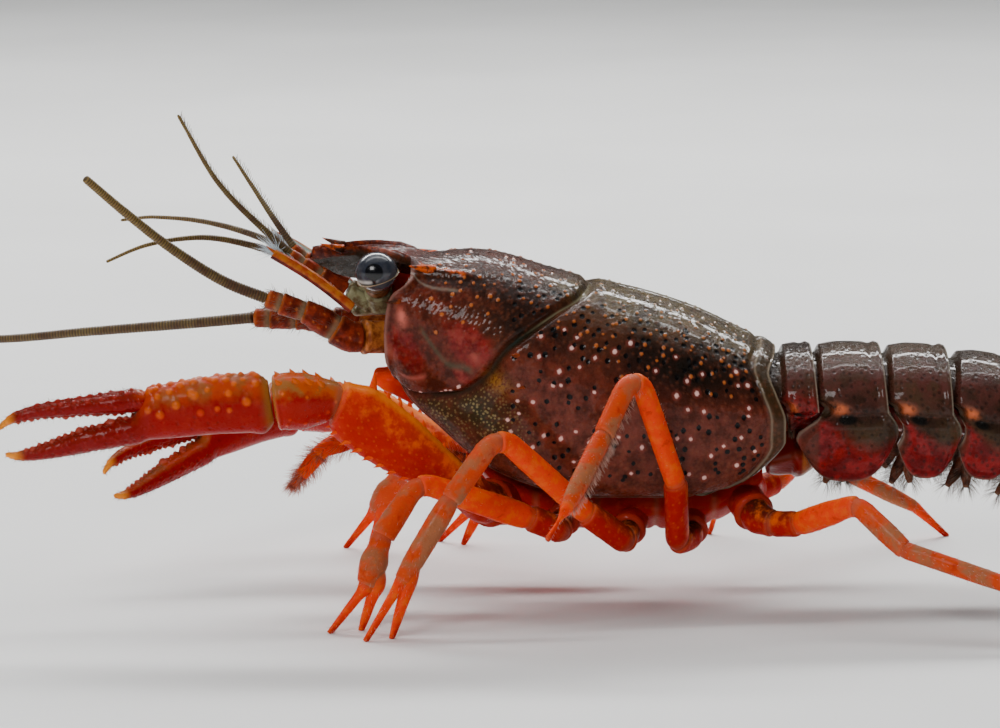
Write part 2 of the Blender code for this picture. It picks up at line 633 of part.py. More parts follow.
def build_antennules():
    """The small feelers below the rostrum: a jointed stem and two whips on each side."""
    for name, side in SIDES.items():
        inner, outer, _ = antennule_joint(name)
        way = unit(outer - inner)
        start = outer + way * GAP
        halves = [(0, 0.72), (0.4, 0.72), (0.46, 0.58), (0.52, 0.68), (0.72, 0.62), (0.78, 0.5), (0.84, 0.6),
                  (1, 0.5)]
        stem = tube([start, (-16.3, side * 2.0, 29.9), (-19.2, side * 2.0, 31.9)], halves, (0, 1, 0), bend=2,
                    ends=((start, way), None))
        upper, lower = ANTENNULE_WHIPS[name]
        node(f"antennule_{name}", feeler_olive(), stem, whip(whip_points(upper, 10), (0.38, 0.16)),
             whip(whip_points(lower, 11), (0.35, 0.16)))


SCALE_BLADE = ((0.0, 0.8), (0.15, 1.7), (0.35, 2.5), (0.6, 2.8), (0.82, 2.4), (0.95, 1.3), (1.0, 0.5))


def build_scales():
    """The blade beside each antenna: a thick outer rib ending in a spine, and a thin inner blade."""
    for name, side in SIDES.items():
        root, tip = np.array([-13.3, side * 5.9, 27.6]), np.array([-20.4, side * 5.9, 32.6])
        forward = unit(tip - root)
        inward = np.array([0, -side, -0.22])
        inward = unit(inward - (inward @ forward) * forward)
        normal = np.cross(forward, inward)
        rows = []
        for share, blade in SCALE_BLADE:
            centre = root + (tip - root) * share
            rows.append([centre + reach * inward for reach in (-0.45, 0, 0.5 * blade, blade)])
        rows = np.array(rows)
        thick = np.array([0.3, 0.55, 0.3, 0.27])[None, :, None]
        node(f"antennal_scale_{name}", pale_membrane(), plate(rows + thick * normal, rows - thick * normal),
             spine(tip - 1.2 * forward, tip + 0.9 * forward, 0.42, sunk=0.6))


# Chelipeds


ARMS = {
    "left": {"isch": (-3.0, -9.2, 11.2), "elbow": (-14.6, -12.6, 20.1), "wrist": (-20.3, -13.5, 20.0),
             "point": (-44.2, -14.2, 16.6), "up": (0.12, -0.12, 1), "size": 1.0},
    "right": {"isch": (-2.4, 9.2, 10.0), "elbow": (-13.0, 17.4, 14.3), "wrist": (-20.0, 20.4, 13.9),
              "point": (-35.0, 6.2, 9.6), "up": (-0.1, 0.3, 1), "size": 0.95},
}
ARM_BENDS = (1.6, 2.6, 3.4, 2.0)
ARM_ACROSS = np.array([0.0, 1.0, 0.0])
PALM_END = 11.4
PALM_CENTRE = [(0, 0.15), (0.8, 0.15), (4.9, 0.57), (9.5, 0.68), (11.4, 0.72)]
PALM_HALF = [(0, 2.2), (0.8, 2.65), (4.9, 2.6), (9.5, 2.42), (11.0, 2.25), (11.4, 2.05)]
PALM_THICK = [(0, 1.5), (0.8, 1.75), (4.9, 1.95), (9.5, 1.7), (11.4, 1.4)]

# Fingers: distance from the wrist, height of the middle, half height and half thickness
FINGER_FIXED = [(8.5, -0.2, 1.4, 1.45), (11.5, -0.5, 1.3, 1.35), (13.8, -0.68, 1.2, 1.1),
                (17.3, -1.0, 1.0, 0.85), (20.3, -1.35, 0.68, 0.62), (22.3, -1.52, 0.42, 0.42),
                (24.2, -1.25, 0.1, 0.12)]
FINGER_MOVING = [(11.7, 2.08, 0.93, 1.1), (13.0, 2.12, 1.0, 1.1), (15.5, 2.22, 0.82, 0.95),
                 (17.5, 2.3, 0.74, 0.82), (20.0, 2.35, 0.6, 0.66), (21.8, 2.29, 0.48, 0.5),
                 (23.4, 1.95, 0.32, 0.33), (24.5, 1.35, 0.1, 0.12)]


def claw_frame(name):
    """Wrist point, and the claw's long, upward and sideways directions, all scaled by the claw's size."""
    arm = ARMS[name]
    wrist = np.array(arm["wrist"], float)
    along = unit(np.array(arm["point"]) - wrist)
    up = np.array(arm["up"], float)
    up = unit(up - (up @ along) * along)
    return wrist, along * arm["size"], up * arm["size"], np.cross(along, up) * arm["size"]


def claw_tube(frame, table, sides):
    wrist, along, up, out = frame
    angles = np.arange(sides) * 2 * math.pi / sides + math.pi / sides
    return closed_rings(np.array([wrist + along * u + up * v + tall * np.cos(angles)[:, None] * up
                                  + thick * np.sin(angles)[:, None] * out for u, v, tall, thick in table]))


def claw_knobs(frame):
    """Rows of blunt knobs on both faces of the palm and along its edges."""
    wrist, along, up, out = frame
    knobs = []
    for row, height in enumerate((1.0, 0.7, 0.28, -0.2)):
        for step in range(4):
            u = 2.0 + 2.3 * step + 1.1 * (row % 2)
            centre, half, thick = (float(spline(u, k)) for k in (PALM_CENTRE, PALM_HALF, PALM_THICK))
            aside = math.sqrt(1 - height**2)
            for side in (1, -1) if aside > 0 else (1,):
                normal = unit(up * height / half + side * out * aside / thick)
                root = wrist + along * u + up * (centre + half * height) + side * out * thick * aside
                knobs.append(spine(root, root + normal * 0.26, 0.5, sunk=0.14, sides=4))
    return knobs


def finger_knobs(frame, finger, side, places, reach):
    """Row of blunt knobs or teeth along a finger's upper (1) or lower (-1) edge."""
    wrist, along, up, _ = frame
    table = np.array(finger)
    knobs = []
    for u in places:
        v, tall = (np.interp(u, table[:, 0], table[:, k]) for k in (1, 2))
        root = wrist + along * u + up * (v + side * tall)
        knobs.append(spine(root, root + side * up * reach, 0.42, sunk=0.2, sides=4))
    return knobs


def build_arm(name, side):
    """One cheliped: three arm joints that share a bent course, then the palm and its moving finger."""
    arm = ARMS[name]
    hip_start, hip_end = hip_line(1, side)
    way = unit(hip_end - hip_start)
    frame = claw_frame(name)
    wrist, along = frame[0], unit(frame[1])
    start = hip_end + way * GAP
    corners = [start, start + way, np.array(arm["isch"], float), np.array(arm["elbow"], float),
               wrist - along * 1.2, wrist]
    path, even, marks = rounded_path(corners, ARM_BENDS)
    at_isch, at_elbow = marks[2] + 0.9 / even[-1], marks[3]
    course = {"path": path, "corners": corners, "length": even[-1], "isch": at_isch, "elbow": at_elbow,
              "start": (start, way), "stop": (wrist - along * 0.5 * GAP, along)}
    arm_tube = {"across": ARM_ACROSS, "bend": ARM_BENDS, "sides": 10}
    node(f"cheliped_{name}_ischium", limb_red(),
         tube(corners, [(0, 2.0), (0.5 * at_isch, 1.85), (at_isch, 1.75)], span=(0, at_isch), anchor=at_isch,
              ends=(course["start"], place_on(path, at_isch)), flatness=0.9, **arm_tube))
    build_merus(name, course, arm_tube)
    build_carpus(name, side, course, arm_tube)
    build_claw(name, frame)


def past_gap(path, share):
    """Plane across a limb's course, one gap beyond the point at a share of its length."""
    point, forward = place_on(path, share)
    return point + forward * GAP, forward


def build_merus(name, course, arm_tube):
    """Upper arm, swelling towards the elbow, with spines along its upper edge and two lower rows."""
    path, begin, end = course["path"], course["isch"], course["elbow"]
    gap, step = GAP / course["length"], (end - begin) / 10
    broad = {"left": 2.88, "right": 2.4}[name]
    halves = [(begin + gap, 1.75), (begin + 2 * step, 2.1), (begin + 5 * step, 0.95 * broad),
              (end - 1.6 * step, broad), (end - 0.6 * step, 2.2), (end, 1.65)]
    flatness = [(begin, 0.85), (begin + 4 * step, 0.7), (end - step, 0.74), (end, 0.95)]
    bodies = [tube(course["corners"], halves, span=(begin + gap, end), stations=6, anchor=end - 3 * step,
                   flatness=flatness, ends=(past_gap(path, begin), place_on(path, end)), **arm_tube)]
    for share, reach in ((0.86, 1.0), (0.68, 0.5), (0.5, 0.4), (0.32, 0.35)):
        at = begin + share * (end - begin)
        point, forward, ridge = edge_of(path, at, ARM_ACROSS)
        root = point + ridge * 0.96 * float(spline(at, halves))
        bodies.append(spine(root, root + ridge * reach + forward * 0.5 * reach, 0.42, sunk=0.5))
    for share in (0.24, 0.44, 0.64, 0.84):
        for lean in (-0.4, 0.4):
            at = begin + share * (end - begin)
            point, forward, ridge = edge_of(path, at, ARM_ACROSS)
            low = unit(-ridge + lean * ARM_ACROSS)
            root = point + low * 0.9 * float(spline(at, halves))
            bodies.append(spine(root, root + low * 0.5 + forward * 0.4, 0.38, sunk=0.5, sides=4))
    node(f"cheliped_{name}_merus", limb_red(), *bodies)


def build_carpus(name, side, course, arm_tube):
    """Short joint between the upper arm and the claw, with knobs on top and a spine on its inner side."""
    path, begin = course["path"], course["elbow"]
    rest = 1 - begin
    halves = [(begin, 1.6), (begin + 0.3 * rest, 2.2), (begin + 0.6 * rest, 2.6), (begin + 0.85 * rest, 2.55),
              (1, 2.1)]
    bodies = [tube(course["corners"], halves, span=(begin, 1), stations=5, anchor=1, flatness=0.82,
                   ends=(past_gap(path, begin), course["stop"]), **arm_tube)]
    for share in (0.35, 0.6, 0.84):
        for lean in (-0.55, 0.2):
            point, forward, ridge = edge_of(path, begin + share * rest, ARM_ACROSS)
            up = unit(ridge + lean * ARM_ACROSS)
            root = point + up * float(spline(begin + share * rest, halves))
            bodies.append(spine(root, root + up * 0.32 + forward * 0.15, 0.5, sunk=0.25, sides=4))
    point, forward, _ = edge_of(path, begin + 0.62 * rest, ARM_ACROSS)
    inward = -side * ARM_ACROSS
    root = point + inward * 1.9
    bodies.append(spine(root, root + inward * 0.9 + forward * 1.2, 0.6, sunk=0.7))
    node(f"cheliped_{name}_carpus", claw_red(), *bodies)


def build_claw(name, frame):
    """Palm with its fixed finger, and the moving finger above it, both with knobs along their edges."""
    places = (0.5 * GAP / ARMS[name]["size"], 0.8, 2.4, 4.9, 7.4, 9.5, 11.0, PALM_END)
    palm = [(u, *(float(spline(u, knots)) for knots in (PALM_CENTRE, PALM_HALF, PALM_THICK))) for u in places]
    node(f"cheliped_{name}_palm", claw_red(), claw_tube(frame, palm, 14), claw_tube(frame, FINGER_FIXED, 10),
         *claw_knobs(frame), *finger_knobs(frame, FINGER_FIXED, 1, (13.6, 15.2, 16.8, 18.4, 20.0), 0.28),
         solver="MANIFOLD")
    node(f"cheliped_{name}_finger", claw_red(), claw_tube(frame, FINGER_MOVING, 10),
         *finger_knobs(frame, FINGER_MOVING, -1, (14.2, 15.8, 17.4, 19.0), 0.28),
         *finger_knobs(frame, FINGER_MOVING, 1, (13.0, 14.8, 16.6, 18.4), 0.3))


def edge_of(path, share, across):
    """Point on a limb's course, its direction there, and the direction of its upper edge."""
    point, forward = place_on(path, share)
    flat = unit(across - (across @ forward) * forward)
    ridge = np.cross(forward, flat)
    return point, forward, ridge if ridge[2] > 0 else -ridge


# Walking legs


LEGS = {
    (2, "left"): {"turn": (5.6, 7.7, 7.3), "isch": (2.7, 9.6, 8.8), "knee": (-7.3, 14.2, 13.0),
                  "wrist": (-10.5, 16.2, 8.4), "hand": (-11.9, 17.2, 4.1),
                  "tips": ((-15.2, 18.2, 0), (-12.4, 16.9, 0))},
    (3, "left"): {"turn": (11.4, 7.9, 6.4), "isch": (7.8, 10.4, 9.4), "knee": (-0.2, 16.6, 17.8),
                  "wrist": (-4.4, 18.9, 12.2), "hand": (-8.7, 20.4, 5.2),
                  "tips": ((-11.9, 21.6, 0), (-9.6, 20.4, 0))},
    (4, "left"): {"turn": (16.1, 8.7, 6.4), "isch": (15.8, 11.4, 12.4), "knee": (12.0, 16.2, 23.8),
                  "wrist": (9.1, 20.0, 18.2), "hand": (5.9, 26.0, 13.0), "tips": ((4.1, 29.0, 10.6),)},
    (5, "left"): {"turn": (24.8, 8.2, 8.0), "isch": (27.0, 9.8, 8.3), "knee": (31.8, 15.5, 11.2),
                  "wrist": (35.9, 18.4, 7.6), "hand": (46.4, 22.2, 4.6), "tips": ((50.6, 23.2, 0),)},
    (2, "right"): {"turn": (5.2, 7.9, 7.3), "isch": (2.4, 9.8, 8.8), "knee": (-6.4, 16.6, 12.6),
                   "wrist": (-9.6, 18.8, 7.6), "hand": (-12.0, 20.2, 3.9),
                   "tips": ((-15.0, 21.2, 0), (-12.6, 19.6, 0))},
    (3, "right"): {"turn": (11.6, 8.0, 6.4), "isch": (9.0, 10.6, 8.4), "knee": (4.6, 18.6, 14.8),
                   "wrist": (1.4, 21.4, 8.6), "hand": (-2.6, 23.2, 3.6),
                   "tips": ((-6.0, 24.4, 0), (-3.6, 22.8, 0))},
    (4, "right"): {"turn": (17.6, 8.4, 6.2), "isch": (18.4, 10.8, 8.8), "knee": (21.4, 19.2, 16.4),
                   "wrist": (22.6, 23.6, 10.4), "hand": (21.6, 26.8, 4.0), "tips": ((20.6, 28.2, 0),)},
    (5, "right"): {"turn": (23.8, 8.0, 8.0), "isch": (26.0, 10.0, 8.6), "knee": (30.4, 17.6, 11.6),
                   "wrist": (34.0, 20.8, 7.2), "hand": (40.4, 25.0, 3.4), "tips": ((43.9, 27.2, 0),)},
}
# Half width of each pair's last long joint, of the joint before it, and of the long joint above the knee
LEG_HALVES = {2: (1.3, 1.12, 1.16), 3: (1.02, 1.02, 1.06), 4: (0.95, 1.0, 1.04), 5: (0.82, 0.96, 1.14)}
FOOT = 0.27
FLOOR = ((0, 0, 0), (0, 0, 1))


def build_leg(number, name, side):
    """One walking leg: hip to knee, and knee to the ground with a small pincer on the first two pairs."""
    joints = LEGS[(number, name)]
    mirror = np.array([1, side, 1])
    names = ("turn", "isch", "knee", "wrist", "hand")
    turn, isch, knee, wrist, hand = (np.array(joints[k]) * mirror for k in names)
    tips = [np.array(tip, float) * mirror for tip in joints["tips"]]
    hip_start, hip_end = hip_line(number, side)
    way = unit(hip_end - hip_start)
    start = hip_end + way * GAP
    corners = [start, start + way * 0.5, turn, isch, knee, wrist, hand, tips[0]]
    bends = (1.5, 1.6, 2.5, 2.1, 1.8, 1.8)
    path, even, marks = rounded_path(corners, bends)
    length = even[-1]
    at_isch, at_knee, at_wrist, at_hand = marks[3:7]
    mm = 1 / length
    plane = place_on(path, at_knee)
    across = unit(np.cross(knee - isch, wrist - knee))
    pincer = len(tips) == 2
    hip_half = 1.65 if number == 5 else 1.3
    broad, wrist_half, long_half = LEG_HALVES[number]
    upper = [(0, hip_half), (0.6 * at_isch, 1.2), (at_isch - 0.7 * mm, 1.2), (at_isch, 0.98),
             (at_isch + 0.8 * mm, 0.96 * long_half), ((at_isch + at_knee) / 2, long_half),
             (at_knee - 1.6 * mm, 0.98), (at_knee, 0.9)]
    node(f"leg_{number}_{name}_upper", limb_red(),
         tube(corners, upper, across, bend=bends, span=(0, at_knee), anchor=at_knee, flatness=0.86,
              ends=((start, way), plane)))
    lower = [(at_knee, 0.9), (at_knee + 1.6 * mm, 1.0), (at_wrist - 0.8 * mm, wrist_half),
             (at_wrist, 0.85 * wrist_half), (at_wrist + 0.9 * mm, min(1.0, broad)),
             ((at_wrist + at_hand) / 2, broad), (at_hand - 0.6 * mm, 0.8 * broad),
             (at_hand + 0.7 * mm, 0.55), (0.92, 0.4), (1, FOOT)]
    stands = abs(tips[0][2]) < 1e-6
    bodies = [tube(corners, lower, across, bend=bends, span=(at_knee, 1), anchor=at_knee, flatness=0.85,
                   stations=6, ends=(past_gap(path, at_knee), FLOOR if stands else None))]
    if pincer:
        root = hand + unit(wrist - hand) * 1.0
        bodies.append(tube([root, hand + 0.3 * (tips[1] - tips[0]), tips[1]],
                           [(0, 0.6), (0.3, 0.62), (0.8, 0.42), (1, FOOT)], across, bend=1.5, sides=7,
                           flatness=0.85, ends=(None, FLOOR)))
    node(f"leg_{number}_{name}_lower", limb_red(), *bodies)


# Tail


def ring_frames():
    """Front pivot (x, z) and downward tilt of each tail ring, and of the fan behind the last."""
    x, z = TAIL_START
    frames = []
    for length, tilt in zip(RING_LENGTHS, RING_TILTS):
        frames.append((x, z, math.radians(tilt)))
        x += length * math.cos(math.radians(tilt))
        z -= length * math.sin(math.radians(tilt))
    frames.append((x, z, math.radians(RING_TILTS[-1] + 5)))
    return frames


def into_frame(points, frame):
    """Points given from a ring's front pivot, moved to where that ring sits."""
    x, z, tilt = frame
    made = np.array(points, float)
    px, pz = made[..., 0].copy(), made[..., 2].copy()
    made[..., 0] = x + px * math.cos(tilt) + pz * math.sin(tilt)
    made[..., 2] = z - px * math.sin(tilt) + pz * math.cos(tilt)
    return made


def flap_rear(number, down):
    """How far a flap's rear edge reaches behind its ring, from its root (down 0) to its lower end (1)."""
    bulge = RING_FLAP_BULGES[number - 1]
    return spline(down, [(0, 0.45), (0.3, 0.45 + 0.8 * bulge), (0.6, 0.45 + bulge), (1, 0.45 + 0.5 * bulge)])


def ring_edges(number, share):
    """Front and rear edge of a ring, at a share of the way from the back's midline to the flap's low end."""
    length = RING_LENGTHS[number - 1]
    down = np.clip((np.abs(share) - ARCH_SHARE) / (1 - ARCH_SHARE), 0, 1)
    back = np.clip(np.abs(share) / ARCH_SHARE, 0, 1)
    neck = -NECK_REACH * (1 - smoothstep(0.78, 0.97, back))
    if number == 1:
        front = np.where(down > 0, 0.75 + 0.15 * down, 0.75 * smoothstep(0.78, 0.97, back) + neck)
        return front, length + 0.45 * back**2 - 2.3 * down
    rear = np.where(down > 0, length + flap_rear(number, down), length + 0.45 * back**2)
    start = 0.45 + FLAP_GAP
    if number == 2:
        front_flap = spline(down, [(0, start), (0.1, 0.6), (0.2, 0.25), (0.4, -0.65), (0.6, -1.45),
                                   (0.8, -1.6), (1, -1.2)])
    else:
        front_flap = flap_rear(number - 1, down) + FLAP_GAP
    front = np.where(down > 0, front_flap, start * smoothstep(0.78, 0.97, back) + neck)
    return front, rear


def ring_surface(number, share, t):
    """Outer surface of one tail ring from its pivot: an arch with a stepped-in front, and hanging flaps whose
    lower edge is rounded."""
    half, arch = RING_HALF_WIDTHS[number - 1], RING_ARCH[number - 1]
    front, rear = ring_edges(number, share)
    x = front + (rear - front) * t
    angle = np.clip(np.abs(share) / ARCH_SHARE, 0, 1) * math.pi / 2
    down = np.clip((np.abs(share) - ARCH_SHARE) / (1 - ARCH_SHARE), 0, 1)
    inward = x - np.maximum(front, 0)
    step = NECK_STEPS[0] * (1 - smoothstep(0.35, 0.9, inward))
    step = (step + NECK_STEPS[1] * (1 - smoothstep(0.5, 2.6, inward))) * (1 - smoothstep(0.0, 0.25, down))
    swell = 0.12 * np.sin(np.clip(x / RING_LENGTHS[number - 1], 0, 1) * math.pi)
    drop = RING_FLAP_DROPS[number - 1] * (1 - 0.5 * np.abs(2 * t - 1) ** 3)
    y = (half - step + swell) * np.sin(angle) ** 0.9 * np.where(down > 0, 1 - 0.1 * down**2, 1)
    z = (arch - step + swell) * np.clip(np.cos(angle), 0, 1) ** 0.9 - drop * down
    return np.stack([x, np.sign(share) * y, z], -1)


def ring_places(number, share):
    """Positions between a ring's front and rear edge, with a pair of rows for the wall inside its lip."""
    front, rear = ring_edges(number, share)
    length = RING_LENGTHS[number - 1]
    begin, lip = np.maximum(front, 0), min(LIP, 0.45 * length)
    wanted = [begin]
    for place in (begin + 0.35, begin + 0.9, 0.5 * length, length - lip - 0.3, length - lip + 0.05, rear):
        wanted.append(np.maximum(place, wanted[-1] + 0.12))
    inside = (np.array(wanted) - front) / (rear - front)
    inside[0], inside[-1] = 0, 1
    even = np.array([0, 0.1, 0.25, 0.5, 0.72, 0.88, 1.0])[:, None] + 0 * front
    down = smoothstep(ARCH_SHARE, ARCH_SHARE + 0.08, np.abs(share))
    return inside + down * (even - inside)


# Soft skin below the first ring, as stations of x, lowest, highest and half width
TAIL_ROOT = [(26.5, 11.2, 16.9, 5.4), (26.95, 11.1, 16.9, 5.7), (27.2, 11.0, 15.4, 5.8), (28.4, 11.8, 15.3, 5.6),
             (29.3, 12.8, 15.2, 5.0)]


def build_tail_root():
    """The soft skin that closes the body between the shell's rear edge and the second tail ring."""
    return node("tail_root", pale_membrane(), oval_stack(TAIL_ROOT, 16))


def build_ring(number):
    half_shares = np.array([0.17, 0.34, 0.5, 0.6, 0.69, 0.79, 0.9, 1.0])
    shares = np.concatenate([-half_shares[::-1], [0], half_shares])
    half = RING_HALF_WIDTHS[number - 1]
    t = ring_places(number, shares)
    share = np.tile(shares, (len(t), 1))
    outer = ring_surface(number, share, t)
    down = np.clip((np.abs(share) - ARCH_SHARE) / (1 - ARCH_SHARE), 0, 1)
    back = np.clip(np.abs(share) / ARCH_SHARE, 0, 1)
    inner = outer * (1, 1 - RING_WALL / half, 1)
    inner[..., 2] -= np.where(down > 0, 0, RING_WALL * np.cos(back * math.pi / 2))
    root = ring_surface(number, np.full_like(share, ARCH_SHARE), t)[..., 1]
    belly = outer.copy()
    belly[..., 1] = np.sign(share) * back * (root - RING_WALL)
    belly[..., 2] = -min(RING_BELLY, 0.4 * RING_FLAP_DROPS[number - 1])
    walls = slice(0, 5)
    inner[walls] = np.where(down[walls, :, None] > 0, inner[walls], belly[walls])
    frame = ring_frames()[number - 1]
    bodies = [plate(into_frame(outer, frame), into_frame(inner, frame))]
    if number in (2, 3, 4, 5):
        for side in SIDES.values():
            bodies += swimmeret(number, side)
    return node(f"tail_segment_{number}", shell_brown(), *bodies, solver="MANIFOLD")


def swimmeret(number, side):
    """Small paddle limb under a tail ring: a stem that ends in a flat blade, with a second one beside it."""
    frame = ring_frames()[number - 1]
    root = np.array([2.8, side * 3.8, -RING_BELLY + 0.7])
    knee = np.array([2.5, side * 4.3, -RING_BELLY - 1.6])
    outer, inner = knee + (-1.3, -side * 0.3, -3.2), knee + (0.4, side * 0.2, -3.0)
    outer_halves = [(0, 0.65), (0.4, 0.5), (0.7, 0.55), (1, 0.25)]
    limbs = []
    inner_halves = [(0, 0.4), (0.6, 0.5), (1, 0.25)]
    for corners, halves in (([root, knee, outer], outer_halves),
                            ([knee + (0, 0, 0.2), (knee + inner) / 2, inner], inner_halves)):
        limbs.append(tube(into_frame(corners, frame), halves, (0, 1, 0), sides=6, stations=2, flatness=0.6))
    return limbs


FAN_OUTLINE = [(0, 0.45), (0.12, 0.62), (0.4, 0.9), (0.7, 1.0), (0.88, 0.86), (0.96, 0.62)]


def fan_blade(frame, root, direction, length, half, thick, crown, end):
    """Flat blade of the tail fan with a raised middle rib and a rounded end."""
    direction = unit(direction)
    sideways = unit(np.cross((0, 0, 1), direction))
    normal = np.cross(direction, sideways)
    shares = np.array([0, 0.12, 0.3, 0.5, 0.7, 0.85, 0.95, 1.0])
    outline = spline(shares, [*FAN_OUTLINE, (1, end)])
    across = np.array([-1, -0.6, -0.22, 0, 0.22, 0.6, 1.0])
    rib = np.array([0.0, 0.1, 0.08, 0.4, 0.08, 0.1, 0.0])
    top, low = [], []
    for share, wide in zip(shares, outline):
        reach = length * share * (1 - 0.1 * wide * across**2)
        centre = np.array(root) + direction * reach[:, None] + sideways * (half * wide * across)[:, None]
        arch = crown * (1 - across**2) * math.sin(math.pi * min(1, 0.25 + 0.75 * share))
        top.append(centre + normal * (arch + thick + rib * (1 - 0.6 * share))[:, None])
        low.append(centre + normal * (arch - thick)[:, None])
    return plate(into_frame(np.array(top), frame), into_frame(np.array(low), frame))


def build_fan():
    frame = ring_frames()[-1]
    telson = [fan_blade(frame, (-0.9, 0, 0.6), (1, 0, 0), 11.0, 3.0, 0.34, 0.5, 0.55)]
    for side in SIDES.values():
        points, faces = spine((6.0, side * 2.75, 0.6), (7.1, side * 3.6, 0.6), 0.36, sunk=0.5)
        telson.append((into_frame(points, frame), faces))
    node("telson", shell_brown(), *telson)
    for name, side in SIDES.items():
        node(f"uropod_{name}_inner", shell_brown(),
             fan_blade(frame, (0.9, side * 3.6, -0.3), (1, side * 0.38, -0.02), 9.6, 2.4, 0.3, 0.4, 0.35))
        node(f"uropod_{name}_outer", shell_brown(),
             fan_blade(frame, (1.5, side * 5.0, -1.7), (1, side * 0.85, -0.08), 10.2, 2.9, 0.3, 0.4, 0.35))


def settle_on_origin():
    """Moves every mesh so that the middle of the footprint is at the origin and the feet at height 0."""
    things = [thing for thing in bpy.context.scene.objects if thing.type == "MESH"]
    points = {thing: np.array([v.co for v in thing.data.vertices]) for thing in things}
    every = np.concatenate(list(points.values()))
    low, high = every.min(axis=0), every.max(axis=0)
    shift = np.array([(low[0] + high[0]) / 2, (low[1] + high[1]) / 2, low[2]])
    for thing in things:
        thing.data.vertices.foreach_set("co", (points[thing] - shift).astype(np.float32).ravel())
        thing.data.update()


def main():
    for thing in list(bpy.data.objects):
        bpy.data.objects.remove(thing)
    build_carapace()
    build_underside()
    build_face()
    build_mouth()
    build_maxillipeds()
    build_eyes()
    build_antennae()
    build_antennules()
    build_scales()
    for name, side in SIDES.items():
        build_arm(name, side)
        for number in (2, 3, 4, 5):
            build_leg(number, name, side)
    build_tail_root()
    for number in range(1, 7):
        build_ring(number)
    build_fan()
    settle_on_origin()


main()
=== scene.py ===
"""Red swamp crayfish, life size: fine shell, limbs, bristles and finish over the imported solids.

The file is laid out as an add-on and run as a script. Shapes are worked out in millimetres in the
animal's own frame, with its head towards -X, its left side towards -Y and the floor at height 0, and
`placed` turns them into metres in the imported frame. A share is a place on a line from 0 to 1.
"""

import math

import bpy
import numpy as np
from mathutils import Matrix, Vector


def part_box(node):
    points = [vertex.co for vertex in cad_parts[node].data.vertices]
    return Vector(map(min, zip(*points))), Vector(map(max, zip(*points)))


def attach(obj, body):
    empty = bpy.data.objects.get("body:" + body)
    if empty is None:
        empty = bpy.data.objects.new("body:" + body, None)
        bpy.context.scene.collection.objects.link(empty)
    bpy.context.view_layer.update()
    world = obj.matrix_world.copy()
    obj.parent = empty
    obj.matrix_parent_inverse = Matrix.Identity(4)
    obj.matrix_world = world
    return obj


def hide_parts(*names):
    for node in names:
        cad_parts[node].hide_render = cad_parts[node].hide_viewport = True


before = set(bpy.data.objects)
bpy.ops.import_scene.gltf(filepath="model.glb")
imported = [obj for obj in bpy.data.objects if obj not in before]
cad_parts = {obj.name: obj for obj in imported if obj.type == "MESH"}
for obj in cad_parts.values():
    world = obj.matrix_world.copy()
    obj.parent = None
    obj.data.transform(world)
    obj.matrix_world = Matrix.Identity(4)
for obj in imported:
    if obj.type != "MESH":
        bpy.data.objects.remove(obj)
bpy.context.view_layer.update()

bl_info = {
    "name": "Red swamp crayfish",
    "version": (1, 0, 0),
    "blender": (4, 5, 0),
    "location": "View3D > Sidebar > Crayfish",
    "description": "Builds the shell, limbs, bristles and stage of a life-size red swamp crayfish",
    "category": "Add Mesh",
}

MM = 0.001
SIDES = {"left": -1.0, "right": 1.0}
GAP = 0.3
STEEP = 0.8

# Carapace: how its section changes along the body, as (x, value) pairs
BACK_HEIGHT = [(-17.5, 31.7), (-15.6, 31.9), (-11.4, 32.3), (-8.2, 32.1), (-6.6, 31.7), (-2.7, 32.0),
               (0, 31.7), (4, 30.5), (8.3, 29.3), (13.8, 28.0), (18.4, 26.4), (22, 24.7), (26.5, 22.6)]
WIDEST_HEIGHT = [(-17.5, 28.5), (-11, 27.6), (-8, 26.6), (-4, 24.6), (0, 22.6), (4, 21.0), (9, 19.6),
                 (14, 18.6), (20, 17.8), (26.5, 17.2)]
EDGE_HEIGHT = [(-17.5, 26.5), (-10.4, 22.0), (-8, 18.9), (-5.8, 16.9), (-1.9, 13.6), (3.6, 11.2), (9, 10.4),
               (15, 10.4), (19, 10.7), (22, 11.5), (26.5, 14.0)]
HALF_WIDTH = [(-17.5, 5.4), (-11, 6.5), (-8, 7.3), (-4, 8.4), (0, 9.3), (5, 9.9), (10, 10.3), (15, 10.3),
              (20, 9.7), (26.5, 8.2)]
WIDEST_SHARE = 0.55
EDGE_TUCK = 0.70
FULLNESS = 0.88

# Carapace: its front and rear edges and the neck groove, as (share of the way round, x) pairs
FRONT_EDGE = [(0, -17.5), (0.03, -16.7), (0.06, -15.7), (0.08, -14.3), (0.122, -11.0), (0.15, -9.2),
              (0.167, -8.4), (0.20, -8.1), (0.30, -8.1), (0.38, -8.7), (0.45, -9.7), (0.55, -10.3),
              (0.75, -10.5), (0.9, -10.3), (1.0, -9.8)]
RIDGE_KNOTS = 7
REAR_EDGE = [(0, 25.3), (0.15, 25.0), (0.3, 24.4), (0.42, 25.1), (0.55, 25.9), (0.68, 25.9), (0.8, 24.9),
             (0.9, 23.0), (1.0, 18.8)]
NECK_GROOVE = [(0, 8.3), (0.1, 7.9), (0.2, 6.8), (0.28, 5.2), (0.38, 3.1), (0.485, 0.75), (0.56, -0.6),
               (0.624, -2.2), (0.665, -3.2), (0.72, -4.8), (0.785, -6.3), (0.9, -8.3), (1.0, -9.4)]
GROOVE_DEPTH = 0.6
GROOVE_WIDTH = 0.46
ROSTRUM_BASE_SHARE = 0.167
ROSTRUM_BASE_X = -8.4
ROSTRUM_TROUGH = 0.55
ROSTRUM_TIP_X = -17.5
SHELL = 0.65
SHELL_GIRTH = 56.0
BELLY_RISE = 1.1
